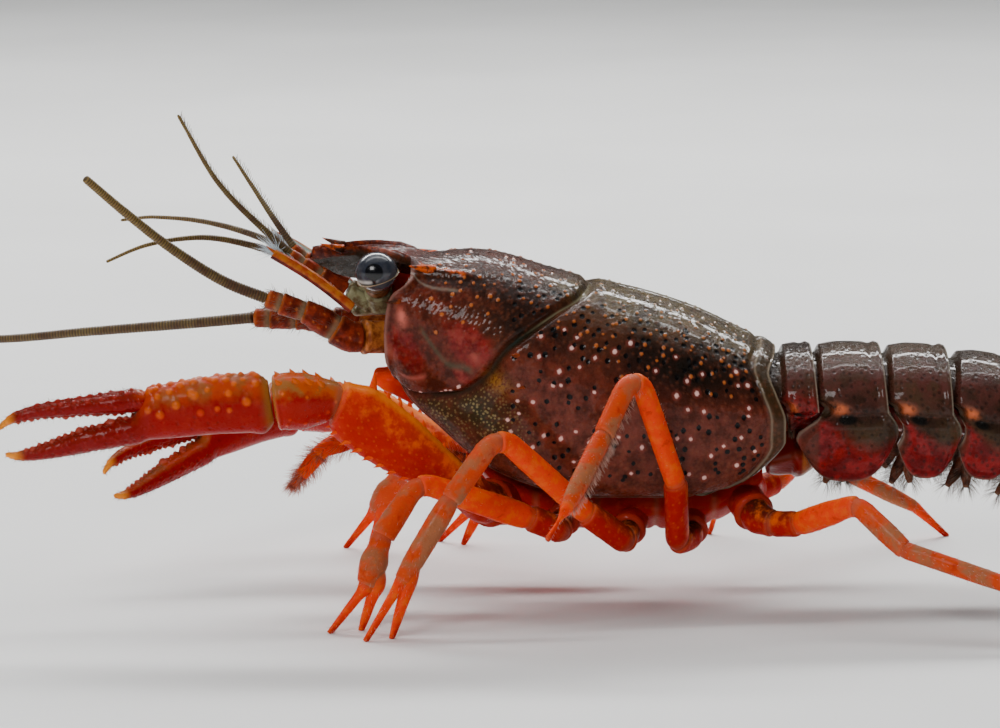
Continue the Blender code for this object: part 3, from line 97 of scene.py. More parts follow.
SHELL_SPINES = ((-15.0, 0.075, 1.5, 0.42, 0.45), (-6.6, 0.235, 1.8, 0.55, 0.5), (-9.7, 0.50, 0.8, 0.28, 0.35),
                (1.4, 0.5, 0.6, 0.4, 0.9), (2.0, 0.57, 0.45, 0.34, 0.9))

# Tail: lengths and downward tilts of the six rings, and their half width and height
RING_LENGTHS = (3.3, 6.3, 5.9, 5.7, 5.3, 5.7)
RING_TILTS = (0.0, 0.0, 2.0, 8.0, 17.0, 27.0)
RING_HALF_WIDTHS = (7.5, 7.6, 7.5, 7.2, 6.7, 6.0)
RING_ARCH = (5.2, 5.25, 5.2, 5.0, 4.6, 4.1)
RING_FLAP_DROPS = (1.9, 6.4, 6.0, 5.6, 5.0, 3.4)
RING_FLAP_BULGES = (0.0, 0.9, 0.8, 0.7, 0.5, 0.0)
TAIL_START = (25.2, 18.1)
RING_BELLY = 2.3
RING_WALL = 0.55
RING_GIRTH = 28.0
RING_SPAN = 6.0
NECK_REACH = 0.95
NECK_STEPS = (0.72, 0.22)
NECK_FADE = (0.78, 0.97)
REAR_LIP = 0.45
FLAP_GAP = 0.5
ARCH_SHARE = 0.6
FAN_OUTLINE = [(0, 0.45), (0.12, 0.62), (0.4, 0.9), (0.7, 1.0), (0.88, 0.86), (0.96, 0.62)]

# Eyes, feelers and face
EYES = {"left": (-11.2, -5.2, 30.7), "right": (-11.4, 4.7, 29.7)}
EYE_RADIUS = 1.93
ANTENNAE = {
    "left": {"start": (-12.6, -4.5, 24.6), "elbow": (-17.3, -5.3, 26.9), "root": (-21.2, -5.5, 28.3),
             "whip": [(-24.4, -6.4, 29.7), (-29.2, -8.4, 33.0), (-33.5, -11.2, 36.9), (-36.8, -14, 40.3)]},
    "right": {"start": (-12.6, 4.5, 24.6), "elbow": (-17.4, 5.3, 24.7), "root": (-22.9, 5.5, 24.9),
              "whip": [(-28.6, 7.4, 24.1), (-38.5, 10.8, 22.8), (-48.5, 15.0, 21.4), (-58, 20.5, 21.2),
                       (-66, 27.5, 22.4), (-71.5, 35.5, 24.6), (-74, 43.5, 27.4)]},
}
ANTENNULE_WHIPS = {
    "left": ([(-18.6, -1.9, 31.5), (-21.6, -2.6, 34.3), (-25.3, -5.3, 38.6), (-28.9, -8, 45.3)],
             [(-18.6, -2.1, 31.3), (-22.6, -3.0, 32.8), (-27.8, -6.0, 33.9), (-32.3, -8.6, 33.4),
              (-35.4, -10, 32.2)]),
    "right": ([(-18.6, 1.9, 31.5), (-20.6, 2.6, 34.2), (-22.6, 4.4, 36.9), (-24.8, 6.0, 40.0)],
              [(-18.6, 2.1, 31.3), (-22.9, 3.2, 33.0), (-28.4, 5.8, 34.0), (-32.2, 7.2, 34.1),
               (-35.4, 8, 33.7)]),
}

# Chelipeds: joint places, and the claw's direction, upward side and size
ARMS = {
    "left": {"isch": (-3.0, -9.2, 11.2), "elbow": (-14.6, -12.6, 20.1), "wrist": (-20.3, -13.5, 20.0),
             "point": (-44.2, -14.2, 16.6), "up": (0.12, -0.12, 1), "size": 1.0},
    "right": {"isch": (-2.4, 9.2, 10.0), "elbow": (-13.0, 17.4, 14.3), "wrist": (-20.0, 20.4, 13.9),
              "point": (-35.0, 6.2, 9.6), "up": (-0.1, 0.3, 1), "size": 0.95},
}
ARM_BENDS = (1.6, 2.6, 3.4, 2.0)
ARM_ACROSS = (0.0, 1.0, 0.0)

# Claw: distance from the wrist, height of the middle, half height and half thickness
PALM = [(0.15, 0.15, 1.95, 1.35), (0.8, 0.15, 2.6, 1.75), (2.4, 0.33, 2.68, 1.86), (4.9, 0.57, 2.62, 1.95),
        (7.4, 0.64, 2.54, 1.85), (9.5, 0.66, 2.45, 1.7), (10.9, 0.62, 2.32, 1.55), (11.5, 0.3, 1.98, 1.42),
        (12.1, -0.35, 1.5, 1.32), (13.8, -0.66, 1.22, 1.12), (17.3, -1.0, 1.0, 0.86),
        (20.3, -1.35, 0.7, 0.64), (22.3, -1.52, 0.44, 0.44), (23.6, -1.4, 0.24, 0.26),
        (24.3, -1.2, 0.1, 0.12)]
MOVING_FINGER = [(11.0, 2.0, 0.7, 0.95), (11.7, 2.07, 0.95, 1.12), (13.0, 2.12, 1.0, 1.12),
                 (15.5, 2.22, 0.82, 0.95), (17.5, 2.3, 0.74, 0.82), (20.0, 2.35, 0.6, 0.66),
                 (21.8, 2.29, 0.48, 0.5), (23.4, 1.95, 0.32, 0.33), (24.5, 1.35, 0.1, 0.12)]

# Walking legs: where each joint lies, from the hip outwards, with y from the midline
HIPS = {1: (0.2, 9.6), 2: (6.6, 7.9), 3: (12.2, 7.0), 4: (17.4, 6.9), 5: (22.4, 8.6)}
HIP_LEAN = {1: -1.2, 2: -0.9, 3: -0.5, 4: 0.0, 5: 0.8}
HIP_RISE = {1: 0.5, 2: -0.9, 3: -0.9, 4: -0.9, 5: -0.9}
LEG_BENDS = (1.5, 1.6, 2.5, 2.1, 1.8, 1.8)
LEG_HALVES = {2: (1.3, 1.12, 1.16), 3: (1.02, 1.02, 1.06), 4: (0.95, 1.0, 1.04), 5: (0.82, 0.96, 1.14)}
LEGS = {
    (2, "left"): {"turn": (5.6, 7.7, 7.3), "isch": (2.7, 9.6, 8.8), "knee": (-7.3, 14.2, 13.0),
                  "wrist": (-10.5, 16.2, 8.4), "hand": (-11.9, 17.2, 4.1),
                  "tips": ((-15.2, 18.2, 0), (-12.4, 16.9, 0))},
    (3, "left"): {"turn": (11.4, 7.9, 6.4), "isch": (7.8, 10.4, 9.4), "knee": (-0.2, 16.6, 17.8),
                  "wrist": (-4.4, 18.9, 12.2), "hand": (-8.7, 20.4, 5.2),
                  "tips": ((-11.9, 21.6, 0), (-9.6, 20.4, 0))},
    (4, "left"): {"turn": (16.1, 8.7, 6.4), "isch": (15.8, 11.4, 12.4), "knee": (12.0, 16.2, 23.8),
                  "wrist": (9.1, 20.0, 18.2), "hand": (5.9, 26.0, 13.0), "tips": ((4.1, 29.0, 10.6),)},
    (5, "left"): {"turn": (24.8, 8.2, 8.0), "isch": (27.0, 9.8, 8.3), "knee": (31.8, 15.5, 11.2),
                  "wrist": (35.9, 18.4, 7.6), "hand": (46.4, 22.2, 4.6), "tips": ((50.6, 23.2, 0),)},
    (2, "right"): {"turn": (5.2, 7.9, 7.3), "isch": (2.4, 9.8, 8.8), "knee": (-6.4, 16.6, 12.6),
                   "wrist": (-9.6, 18.8, 7.6), "hand": (-12.0, 20.2, 3.9),
                   "tips": ((-15.0, 21.2, 0), (-12.6, 19.6, 0))},
    (3, "right"): {"turn": (11.6, 8.0, 6.4), "isch": (9.0, 10.6, 8.4), "knee": (4.6, 18.6, 14.8),
                   "wrist": (1.4, 21.4, 8.6), "hand": (-2.6, 23.2, 3.6),
                   "tips": ((-6.0, 24.4, 0), (-3.6, 22.8, 0))},
    (4, "right"): {"turn": (17.6, 8.4, 6.2), "isch": (18.4, 10.8, 8.8), "knee": (21.4, 19.2, 16.4),
                   "wrist": (22.6, 23.6, 10.4), "hand": (21.6, 26.8, 4.0), "tips": ((20.6, 28.2, 0),)},
    (5, "right"): {"turn": (23.8, 8.0, 8.0), "isch": (26.0, 10.0, 8.6), "knee": (30.4, 17.6, 11.6),
                   "wrist": (34.0, 20.8, 7.2), "hand": (40.4, 25.0, 3.4), "tips": ((43.9, 27.2, 0),)},
}
FOOT = 0.27

# The animal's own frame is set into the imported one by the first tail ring's front and the shell's midline
ORIGIN = np.array([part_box("tail_segment_1")[0].x - (TAIL_START[0] - NECK_REACH) * MM,
                   (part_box("carapace")[0].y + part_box("carapace")[1].y) / 2, 0.0])

# Camera: as far off and as high as the photograph was taken from
VIEW_ELEVATION = 9.0
VIEW_DISTANCE = 450.0
VIEW_LENS = 176.1
VIEW_TARGET = (0.0, 0.0, 21.4)


# Curves and frames


def unit(v):
    """Vectors along the last axis, each divided by its length."""
    v = np.asarray(v, float)
    return v / (np.linalg.norm(v, axis=-1, keepdims=True) + 1e-12)


def smoothstep(low, high, x):
    """0 below low, 1 above high, and 3s^2 - 2s^3 in between."""
    s = np.clip((np.asarray(x, float) - low) / (high - low), 0, 1)
    return s * s * (3 - 2 * s)


def hump(x, middle, width):
    """Bell curve exp(-((x - middle) / width)^2)."""
    return np.exp(-((np.asarray(x, float) - middle) / width) ** 2)


def turns(count):
    """Angles of `count` places evenly round a circle."""
    return np.arange(count) * 2 * math.pi / count


def circles(turn, first, second):
    """Points of the unit circles spanned by the directions first and second, at the given angles."""
    return np.cos(turn)[:, None] * first[..., None, :] + np.sin(turn)[:, None] * second[..., None, :]


def square_to(way, steep=(0, 0, 1), level=(1, 0, 0)):
    """Two directions square to `way` and to each other. The first is square to `steep` too, or to `level`
    where the way itself is steep."""
    helper = np.where(np.abs(way[..., 2:3]) < STEEP, steep, level)
    first = unit(np.cross(way, helper))
    return first, np.cross(way, first)


def spline(x, knots):
    """Smooth curve through (x, y) knots: cubic pieces whose slopes come from the neighbouring knots."""
    kx, ky = np.array(knots, float).T
    step = np.diff(kx)
    rise = np.diff(ky) / step
    slope = np.empty(len(kx))
    slope[0], slope[-1] = rise[0], rise[-1]
    slope[1:-1] = (rise[:-1] * step[1:] + rise[1:] * step[:-1]) / (step[:-1] + step[1:])
    flat = rise[:-1] * rise[1:] <= 0
    slope[1:-1][flat] = 0
    x = np.clip(np.asarray(x, float), kx[0], kx[-1])
    i = np.clip(np.searchsorted(kx, x, side="right") - 1, 0, len(step) - 1)
    s = (x - kx[i]) / step[i]
    return (ky[i] * (1 + 2 * s) * (1 - s) ** 2 + slope[i] * step[i] * s * (1 - s) ** 2
            + ky[i + 1] * s * s * (3 - 2 * s) + slope[i + 1] * step[i] * s * s * (s - 1))


def distances(points):
    """How far each point of a bent line lies from its first one, along the line."""
    return np.concatenate([[0], np.cumsum(np.linalg.norm(np.diff(points, axis=0), axis=1))])


class Course:
    """A limb's bent line: straight runs between corners joined by arcs, with a frame at every point.

    The frame's narrow direction starts as `across` at the share `anchor` and turns no more than the line
    makes it; the wide one is square to it and to the direction of travel."""

    def __init__(self, corners, bends, across, anchor=0.5, count=400):
        corners = [np.asarray(c, float) for c in corners]
        bends = bends if isinstance(bends, tuple) else [bends] * (len(corners) - 2)
        points = [corners[0]]
        for before, corner, after, radius in zip(corners, corners[1:], corners[2:], bends):
            way_in, way_out = unit(corner - before), unit(after - corner)
            angle = math.acos(np.clip(way_in @ way_out, -1, 1))
            if angle < 0.02:
                continue
            room = 0.48 * min(np.linalg.norm(corner - before), np.linalg.norm(after - corner))
            radius = min(radius, room / math.tan(angle / 2))
            inward = unit(way_out - (way_in @ way_out) * way_in)
            start = corner - way_in * radius * math.tan(angle / 2)
            swing = np.linspace(0, angle, 13)[:, None]
            points.extend(start + radius * (np.sin(swing) * way_in + (1 - np.cos(swing)) * inward))
        points.append(corners[-1])
        self.follow(np.array(points), across, anchor, count)
        nearest = [int(np.argmin(np.linalg.norm(self.path - c, axis=1))) for c in corners]
        self.marks = [self.length * i / (count - 1) for i in nearest]

    def follow(self, points, across, anchor, count):
        """Takes even steps along a line of points and works out the directions at each."""
        along = distances(points)
        self.length = along[-1]
        self.even = np.linspace(0, self.length, count)
        self.path = np.stack([np.interp(self.even, along, points[:, k]) for k in range(3)], 1)
        self.forward = unit(np.gradient(self.path, axis=0))
        self.narrow = np.empty_like(self.path)
        middle = int(anchor * (count - 1))
        for order in (range(middle, count), range(middle, -1, -1)):
            direction = np.asarray(across, float)
            for i in order:
                direction = unit(direction - (direction @ self.forward[i]) * self.forward[i])
                self.narrow[i] = direction

    def at(self, places):
        """Centre, direction of travel, narrow and wide directions at distances along the line."""
        pick = [np.stack([np.interp(places, self.even, table[:, k]) for k in range(3)], -1)
                for table in (self.path, self.forward, self.narrow)]
        forward, narrow = unit(pick[1]), unit(pick[2])
        return pick[0], forward, narrow, np.cross(forward, narrow)


class SmoothCourse(Course):
    """A whip's line: the smooth curve through its knots."""

    def __init__(self, knots):
        knots = np.array(knots, float)
        along = distances(knots)
        even = np.linspace(0, along[-1], 400)
        points = np.stack([spline(even, list(zip(along, knots[:, k]))) for k in range(3)], 1)
        self.follow(points, (0, 0.2, 1), 0.0, 400)


# Closed surfaces and meshes


def closed_tube(rings):
    """Points, four-sided and three-sided faces of a tube on a grid of rings, each end closed by a point."""
    rows, sides = rings.shape[:2]
    grid = np.arange(rows * sides).reshape(rows, sides)
    after = np.roll(grid, -1, axis=1)
    quads = np.stack([grid[:-1], after[:-1], after[1:], grid[1:]], -1).reshape(-1, 4)
    first, last = rows * sides, rows * sides + 1
    tris = np.concatenate([np.stack([np.full(sides, first), after[0], grid[0]], 1),
                           np.stack([np.full(sides, last), grid[-1], after[-1]], 1)])
    points = np.concatenate([rings.reshape(-1, 3), rings[:1].mean(1), rings[-1:].mean(1)])
    return points, quads, tris


def closed_plate(outer, inner, skip=1):
    """Points and faces of a plate between two sheets. The inner sheet has one column for every `skip` of the
    outer one, and the front and rear walls are fans between them."""
    rows, columns = outer.shape[:2]
    grid = np.arange(rows * columns).reshape(rows, columns)
    below = rows * columns + np.arange(inner.shape[0] * inner.shape[1]).reshape(inner.shape[:2])
    quads = [np.stack([grid[:-1, :-1], grid[:-1, 1:], grid[1:, 1:], grid[1:, :-1]], -1).reshape(-1, 4),
             np.stack([below[1:, :-1], below[1:, 1:], below[:-1, 1:], below[:-1, :-1]], -1).reshape(-1, 4),
             np.stack([grid[:-1, 0], grid[1:, 0], below[1:, 0], below[:-1, 0]], 1),
             np.stack([grid[1:, -1], grid[:-1, -1], below[:-1, -1], below[1:, -1]], 1)]
    k = np.arange(columns - 1)
    j = np.arange(inner.shape[1] - 1)
    front = [np.stack([grid[0, k + 1], grid[0, k], below[0, k // skip]], 1),
             np.stack([grid[0, (j + 1) * skip], below[0, j], below[0, j + 1]], 1)]
    rear = [np.stack([grid[-1, k], grid[-1, k + 1], below[-1, k // skip]], 1),
            np.stack([below[-1, j + 1], below[-1, j], grid[-1, (j + 1) * skip]], 1)]
    points = np.concatenate([outer.reshape(-1, 3), inner.reshape(-1, 3)])
    return points, np.concatenate(quads), np.concatenate(front + rear)


class Body:
    """Closed surfaces gathered for one mesh, each point with a few named values between 0 and 1."""

    def __init__(self, *channels):
        self.channels = channels
        self.points, self.quads, self.tris, self.values = [], [], [], []
        self.size = 0

    def add(self, surface, **values):
        """Adds one closed surface, turned so that its faces point outwards. A value may be given for the
        grid's points only; the closing points then take the nearest end's."""
        points, quads, tris = surface
        corners = np.concatenate([quads[:, :3], quads[:, [0, 2, 3]], tris])
        a, b, c = (points[corners[:, k]] - points[0] for k in range(3))
        if np.einsum("ij,ij->", a, np.cross(b, c)) < 0:
            quads, tris = quads[:, ::-1], tris[:, ::-1]
        rows = []
        for channel in self.channels:
            value = np.asarray(values.get(channel, 0.0), float)
            if value.ndim:
                flat = value.reshape(-1)
                rest = len(points) - len(flat)
                tail = np.full(rest, flat[-1])
                if rest > 1:
                    tail[: rest // 2] = flat[0]
                value = np.concatenate([flat, tail])
            rows.append(np.broadcast_to(value, len(points)))
        self.points.append(points)
        self.quads.append(quads + self.size)
        self.tris.append(tris + self.size)
        if rows:
            self.values.append(np.stack(rows, 1))
        self.size += len(points)

    def tube(self, rings, **values):
        """Adds a closed tube. A value is a number, or has one for each point, each ring or each column."""
        full = {key: np.broadcast_to(value, rings.shape[:2]) for key, value in values.items()}
        self.add(closed_tube(rings), **full)

    def finish(self, name, material, nodes, slot):
        """Writes the mesh as one piece that rides on the model's body and stands for the given nodes."""
        piece = mesh_object(name, np.concatenate(self.points), np.concatenate(self.quads),
                            np.concatenate(self.tris))
        if self.channels:
            table = np.concatenate(self.values)
            for number, channel in enumerate(self.channels):
                layer = piece.data.attributes.new(channel, "FLOAT", "POINT")
                layer.data.foreach_set("value", np.clip(table[:, number], 0, 1).astype(np.float32))
        settled(piece, material, nodes)


def placed(points):
    """Millimetres in the animal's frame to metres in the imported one."""
    return np.asarray(points, float) * MM + ORIGIN


def mesh_object(name, points, quads, tris):
    """A smooth mesh object from points in millimetres and its four-sided and three-sided faces."""
    mesh = bpy.data.meshes.new(name)
    mesh.vertices.add(len(points))
    mesh.vertices.foreach_set("co", placed(points).astype(np.float32).ravel())
    loops = np.concatenate([quads.ravel(), tris.ravel()])
    starts = np.concatenate([np.arange(len(quads)) * 4, len(quads) * 4 + np.arange(len(tris)) * 3])
    mesh.loops.add(len(loops))
    mesh.loops.foreach_set("vertex_index", loops.astype(np.int32))
    mesh.polygons.add(len(starts))
    mesh.polygons.foreach_set("loop_start", starts.astype(np.int32))
    mesh.update(calc_edges=True)
    mesh.validate()
    mesh.shade_smooth()
    return linked(name, mesh)


def linked(name, data):
    """A new object in the scene."""
    thing = bpy.data.objects.new(name, data)
    bpy.context.scene.collection.objects.link(thing)
    return thing


def settled(piece, material, nodes=()):
    """Gives a piece its material, body and the solids that it stands for."""
    piece.data.materials.append(material)
    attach(piece, "root")
    if nodes:
        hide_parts(*nodes)


# Shader nodes


class Wire:
    """A value, colour or vector in a material. Arithmetic on it adds Math nodes."""

    def __init__(self, paint, socket):
        self.paint = paint
        self.socket = socket

    def __add__(self, other):
        return self.paint.maths("ADD", self, other)

    def __sub__(self, other):
        return self.paint.maths("SUBTRACT", self, other)

    def __rsub__(self, other):
        return self.paint.maths("SUBTRACT", other, self)

    def __mul__(self, other):
        return self.paint.maths("MULTIPLY", self, other)

    __radd__ = __add__
    __rmul__ = __mul__


class Paint:
    """One material: a Principled shader, and nodes that are added as expressions need them."""

    def __init__(self, name, **constants):
        self.material = bpy.data.materials.new(name)
        self.material.use_nodes = True
        self.tree = self.material.node_tree
        self.shader = self.tree.nodes["Principled BSDF"]
        for key, value in constants.items():
            self.shader.inputs[key.replace("_", " ")].default_value = value

    def node(self, kind, settings, inputs, output=0):
        """Adds a node, sets it up, gives its sockets values or links, and returns one of its outputs."""
        made = self.tree.nodes.new("ShaderNode" + kind)
        for key, value in settings.items():
            setattr(made, key, value)
        for key, value in inputs.items():
            self.feed(made.inputs[key], value)
        return Wire(self, made.outputs[output])

    def feed(self, socket, value):
        """Links a wire to a socket, or sets the socket to a number or a colour."""
        if isinstance(value, Wire):
            self.tree.links.new(value.socket, socket)
        elif isinstance(value, tuple) and len(value) == 3 and socket.type == "RGBA":
            socket.default_value = (*value, 1)
        else:
            socket.default_value = value

    def maths(self, operation, first, second):
        return self.node("Math", {"operation": operation}, {0: first, 1: second})

    def place(self):
        """The point's place in the piece."""
        return self.node("TexCoord", {}, {}, "Object")

    def __getitem__(self, name):
        """The named value that the mesh carries at its points."""
        return self.node("Attribute", {"attribute_name": name}, {}, "Fac")

    def noise(self, size, detail=3.0, rough=0.55):
        """Noise about 0.5, whose lumps are about `size` millimetres across."""
        return self.node("TexNoise", {}, {"Vector": self.place(), "Scale": 1 / (size * MM), "Detail": detail,
                                          "Roughness": rough}, "Fac")

    def cells(self, size, randomness):
        """Distance to the nearest of many points about `size` millimetres apart, in those sizes."""
        return self.node("TexVoronoi", {}, {"Vector": self.place(), "Scale": 1 / (size * MM),
                                            "Randomness": randomness}, "Distance")

    def ramp(self, value, low, high, to=(0.0, 1.0)):
        """Smooth step from to[0] below low to to[1] above high."""
        sockets = {"Value": value, "From Min": low, "From Max": high, "To Min": to[0], "To Max": to[1]}
        return self.node("MapRange", {"interpolation_type": "SMOOTHSTEP"}, sockets)

    def mix(self, share, first, second):
        """Colour between first and second."""
        return self.node("Mix", {"data_type": "RGBA"}, {0: share, 6: first, 7: second}, 2)

    def over(self, share, colour):
        """Lays a share of a colour over the paint's colour so far."""
        self.colour = self.mix(share, self.colour, colour)

    def shine(self, grain, rough, height=None, coat=None, steps=(0.3, 0.7)):
        """Joins the colour so far, a roughness that follows a grain, the height in millimetres and the coat
        to the shader."""
        self.feed(self.shader.inputs["Base Color"], self.colour)
        self.feed(self.shader.inputs["Roughness"], self.ramp(grain, *steps, rough))
        if coat is not None:
            self.feed(self.shader.inputs["Coat Weight"], coat)
        if height is not None:
            bump = self.node("Bump", {}, {"Strength": 1.0, "Distance": MM, "Height": height})
            self.feed(self.shader.inputs["Normal"], bump)
        return self.material


# Relief: spots, thorns and bristles

JITTER = 0.36


def spread(low, high, spacing, seed):
    """Points of a staggered grid with random shifts, over a rectangle from low to high."""
    rng = np.random.default_rng(seed)
    across = np.arange(low[0], high[0], spacing)
    along = np.arange(low[1], high[1], spacing * 0.87)
    grid = np.stack(np.meshgrid(across, along, indexing="ij"), -1)
    grid[:, 1::2, 0] += spacing / 2
    return (grid + rng.uniform(-JITTER, JITTER, grid.shape) * spacing).reshape(-1, 2)


def spots(grid, places, wrap=False):
    """Height field and mask of round spots on a grid of points. A place is (row, column, height, radius), and
    its height falls off as (1 - d^2)^1.4, with d the distance from it in radii."""
    rows, columns = grid.shape[:2]
    field, mask = np.zeros((rows, columns)), np.zeros((rows, columns))
    for row, column, height, radius in places:
        i, j = int(round(row)), int(round(column))
        if wrap:
            j %= columns
        if not (0 <= i < rows and 0 <= j < columns):
            continue
        down = np.linalg.norm(grid[min(i + 1, rows - 1), j] - grid[max(i - 1, 0), j]) / 2 + 1e-6
        side = np.linalg.norm(grid[i, (j + 1) % columns] - grid[i, j]) + 1e-6
        reach = min(int(radius / down) + 1, rows), min(int(radius / side) + 1, columns // 2)
        ii = np.arange(max(i - reach[0], 0), min(i + reach[0] + 1, rows))
        jj = np.arange(j - reach[1], j + reach[1] + 1)
        jj = jj % columns if wrap else jj[(jj >= 0) & (jj < columns)]
        window = np.ix_(ii, jj)
        gap = np.linalg.norm(grid[window] - grid[i, j], axis=-1) / radius
        dome = np.clip(1 - gap**2, 0, 1)
        lifted = height * dome**1.4
        field[window] = np.where(np.abs(lifted) > np.abs(field[window]), lifted, field[window])
        mask[window] = np.maximum(mask[window], dome)
    return field, mask


def grid_normals(grid, wrap=False):
    """Directions square to a grid of points, pointing away from the middle line of its rows."""
    along = np.gradient(grid, axis=0)
    if wrap:
        around = np.roll(grid, -1, axis=1) - np.roll(grid, 1, axis=1)
    else:
        around = np.gradient(grid, axis=1)
    normal = unit(np.cross(around, along))
    away = grid - grid.mean(axis=1, keepdims=True)
    return normal * np.sign(np.einsum("ijk,ijk->", normal, away))


THORN_RINGS = 9


def thorn(root, tip, half, sunk=0.4, sides=12, curl=(0, 0, 0)):
    """Closed pointed cone that starts below a surface. Its half thickness falls as (1 - t)^0.8, and its line
    bends by curl times t^2."""
    root, tip = np.asarray(root, float), np.asarray(tip, float)
    way = unit(tip - root)
    t = np.linspace(0, 1, THORN_RINGS)[:, None]
    centre = root - way * sunk + (tip - root + way * sunk) * t + np.asarray(curl, float) * t**2
    thick = half * np.maximum(1 - t, 0.04) ** 0.8
    return closed_tube(centre[:, None] + thick[:, None] * circles(turns(sides), *square_to(way)))


# Each bristle's rings, as shares of its length and of its thickness, and how much of the skin it covers
BRISTLE_RINGS = ((0, 1.0), (0.45, 0.72), (0.8, 0.4))
BRISTLE_PATCH = 0.003
FLOOR_GAP = 0.02


def bristles(name, shade, tufts):
    """One piece of separate tapered bristles, three-sided and bent. Tufts are dictionaries of arrays: root,
    way, length, half, bend, and uv, the root's place on the unrolled skin."""
    data = {key: np.concatenate([np.asarray(t[key], float) for t in tufts]) for key in tufts[0]}
    count = len(data["root"])
    way = unit(data["way"])
    circle = circles(turns(3), *square_to(way))
    points = np.empty((count, 10, 3))
    for k, (t, thick) in enumerate(BRISTLE_RINGS):
        centre = data["root"] + way * (data["length"] * t)[:, None] + data["bend"] * t**2
        points[:, 3 * k:3 * k + 3] = centre[:, None] + circle * (data["half"] * thick)[:, None, None]
    points[:, 9] = data["root"] + way * data["length"][:, None] + data["bend"]
    points[..., 2] = np.maximum(points[..., 2], FLOOR_GAP)
    base = (np.arange(count) * 10)[:, None, None]
    walls = [[j, (j + 1) % 3, 3 + (j + 1) % 3, 3 + j] for j in range(3)]
    quads = base + np.array(walls + [[3 + corner for corner in wall] for wall in walls])
    tris = base + np.array([[6, 7, 9], [7, 8, 9], [8, 6, 9], [0, 2, 1]])
    piece = mesh_object(name, points.reshape(-1, 3), quads.reshape(-1, 4), tris.reshape(-1, 3))
    corner = np.empty(len(piece.data.loops), np.int32)
    piece.data.loops.foreach_get("vertex_index", corner)
    along = np.repeat([t for t, _ in BRISTLE_RINGS] + [1.0], [3, 3, 3, 1])
    patch = np.stack([np.resize([0.0, 0.5, 1.0], 10), along], 1) * BRISTLE_PATCH
    layer = piece.data.uv_layers.new(name="OFBake")
    layer.data.foreach_set("uv", (data["uv"][corner // 10] + patch[corner % 10]).astype(np.float32).ravel())
    channel = piece.data.attributes.new("along", "FLOAT", "POINT")
    channel.data.foreach_set("value", np.tile(along, count).astype(np.float32))
    settled(piece, bristle_paint(shade))


def sprouts(grid, normal, rows, columns, length, half, lean, seed, tile, size):
    """Bristles that stand on a grid at the given rows and columns, along the normals or one direction for
    all, leaning by lean along the grid's rows, with their places on the skin unrolled into one tile."""
    rng = np.random.default_rng(seed)
    count = len(rows)
    columns = np.broadcast_to(columns, count)
    along = unit(np.gradient(grid, axis=0))[rows, columns]
    way = np.broadcast_to(normal, grid.shape)[rows, columns] + lean * along
    way = unit(way + rng.normal(0, 0.16, (count, 3)))
    long = length * rng.uniform(0.6, 1.15, count)
    return {"root": grid[rows, columns] - 0.03 * way, "way": way, "length": long,
            "half": half * rng.uniform(0.8, 1.2, count), "bend": along * (0.25 * lean * long)[:, None],
            "uv": np.stack([columns / grid.shape[1], rows / grid.shape[0]], 1) * size + tile}


# Carapace


def shell_section(x, share):
    """Bare shell at x, a share of the way from the back's midline (0) to the lower edge (1 or -1). Above the
    widest height it is a power curve of sine and cosine, and below it tucks in."""
    top, mid = spline(x, BACK_HEIGHT), spline(x, WIDEST_HEIGHT)
    low, half = spline(x, EDGE_HEIGHT), spline(x, HALF_WIDTH)
    s = np.abs(share)
    upper = np.clip(s / WIDEST_SHARE, 0, 1) * math.pi / 2
    lower = np.clip((s - WIDEST_SHARE) / (1 - WIDEST_SHARE), 0, 1) * math.pi / 2
    above = s <= WIDEST_SHARE
    rise, fall = np.clip(np.cos(upper), 0, 1) ** FULLNESS, np.sin(lower) ** FULLNESS
    y = half * np.where(above, np.sin(upper) ** FULLNESS,
                        EDGE_TUCK + (1 - EDGE_TUCK) * np.clip(np.cos(lower), 0, 1) ** FULLNESS)
    z = np.where(above, mid + (top - mid) * rise, mid - (mid - low) * fall)
    return np.sign(share) * y, z


def ridge_share(x):
    """Where the rostrum's raised margin lies round the section, and how strong it is there."""
    shares, places = zip(*FRONT_EDGE[:RIDGE_KNOTS])
    share = np.where(x < ROSTRUM_BASE_X, np.interp(x, places, shares),
                     ROSTRUM_BASE_SHARE - 0.004 * (x - ROSTRUM_BASE_X))
    return np.maximum(share, 0.012), 1 - smoothstep(-9.5, -5.5, x)


def shell_relief(x, share):
    """How far the surface stands out: the rostrum's trough and margins, the ridge behind the eye, the neck
    groove with the swelling behind it, the back's seam, and the rims at the front, rear and lower edges."""
    line, strength = ridge_share(x)
    s = np.abs(share)
    u = s / line
    trough = np.where(u <= 1, -ROSTRUM_TROUGH + 2 * ROSTRUM_TROUGH * np.clip(u, 0, 1) ** 4,
                      ROSTRUM_TROUGH * hump(u, 1, 0.35))
    out = strength * trough
    out = out + 0.38 * smoothstep(-8, -6.8, x) * (1 - smoothstep(-4, -1, x)) * hump(s, 0.235, 0.022)
    behind = x - spline(s, NECK_GROOVE)
    fade = 1 - 0.6 * smoothstep(0.86, 1.0, s)
    out = out - GROOVE_DEPTH * fade * hump(behind, 0, GROOVE_WIDTH) + 0.12 * fade * hump(behind, 1.7, 0.9)
    out = out - 0.14 * smoothstep(8.5, 10, x) * hump(s, 0, 0.006)
    out = out + 0.1 * smoothstep(9, 12, x) * hump(s, 0.022, 0.014)
    rim = spline(s, REAR_EDGE) - x
    out = out - 0.24 * hump(rim, 1.7, 0.32) + 0.1 * hump(rim, 0.95, 0.3) - 0.12 * smoothstep(0.45, 0.1, rim)
    front = x - spline(s, FRONT_EDGE)
    out = out + 0.13 * hump(front, 0.32, 0.22) * smoothstep(0.22, 0.34, s) - 0.08 * hump(front, 0.85, 0.25)
    return out + 0.14 * hump(s, 0.984, 0.011) - 0.1 * hump(s, 0.955, 0.014)


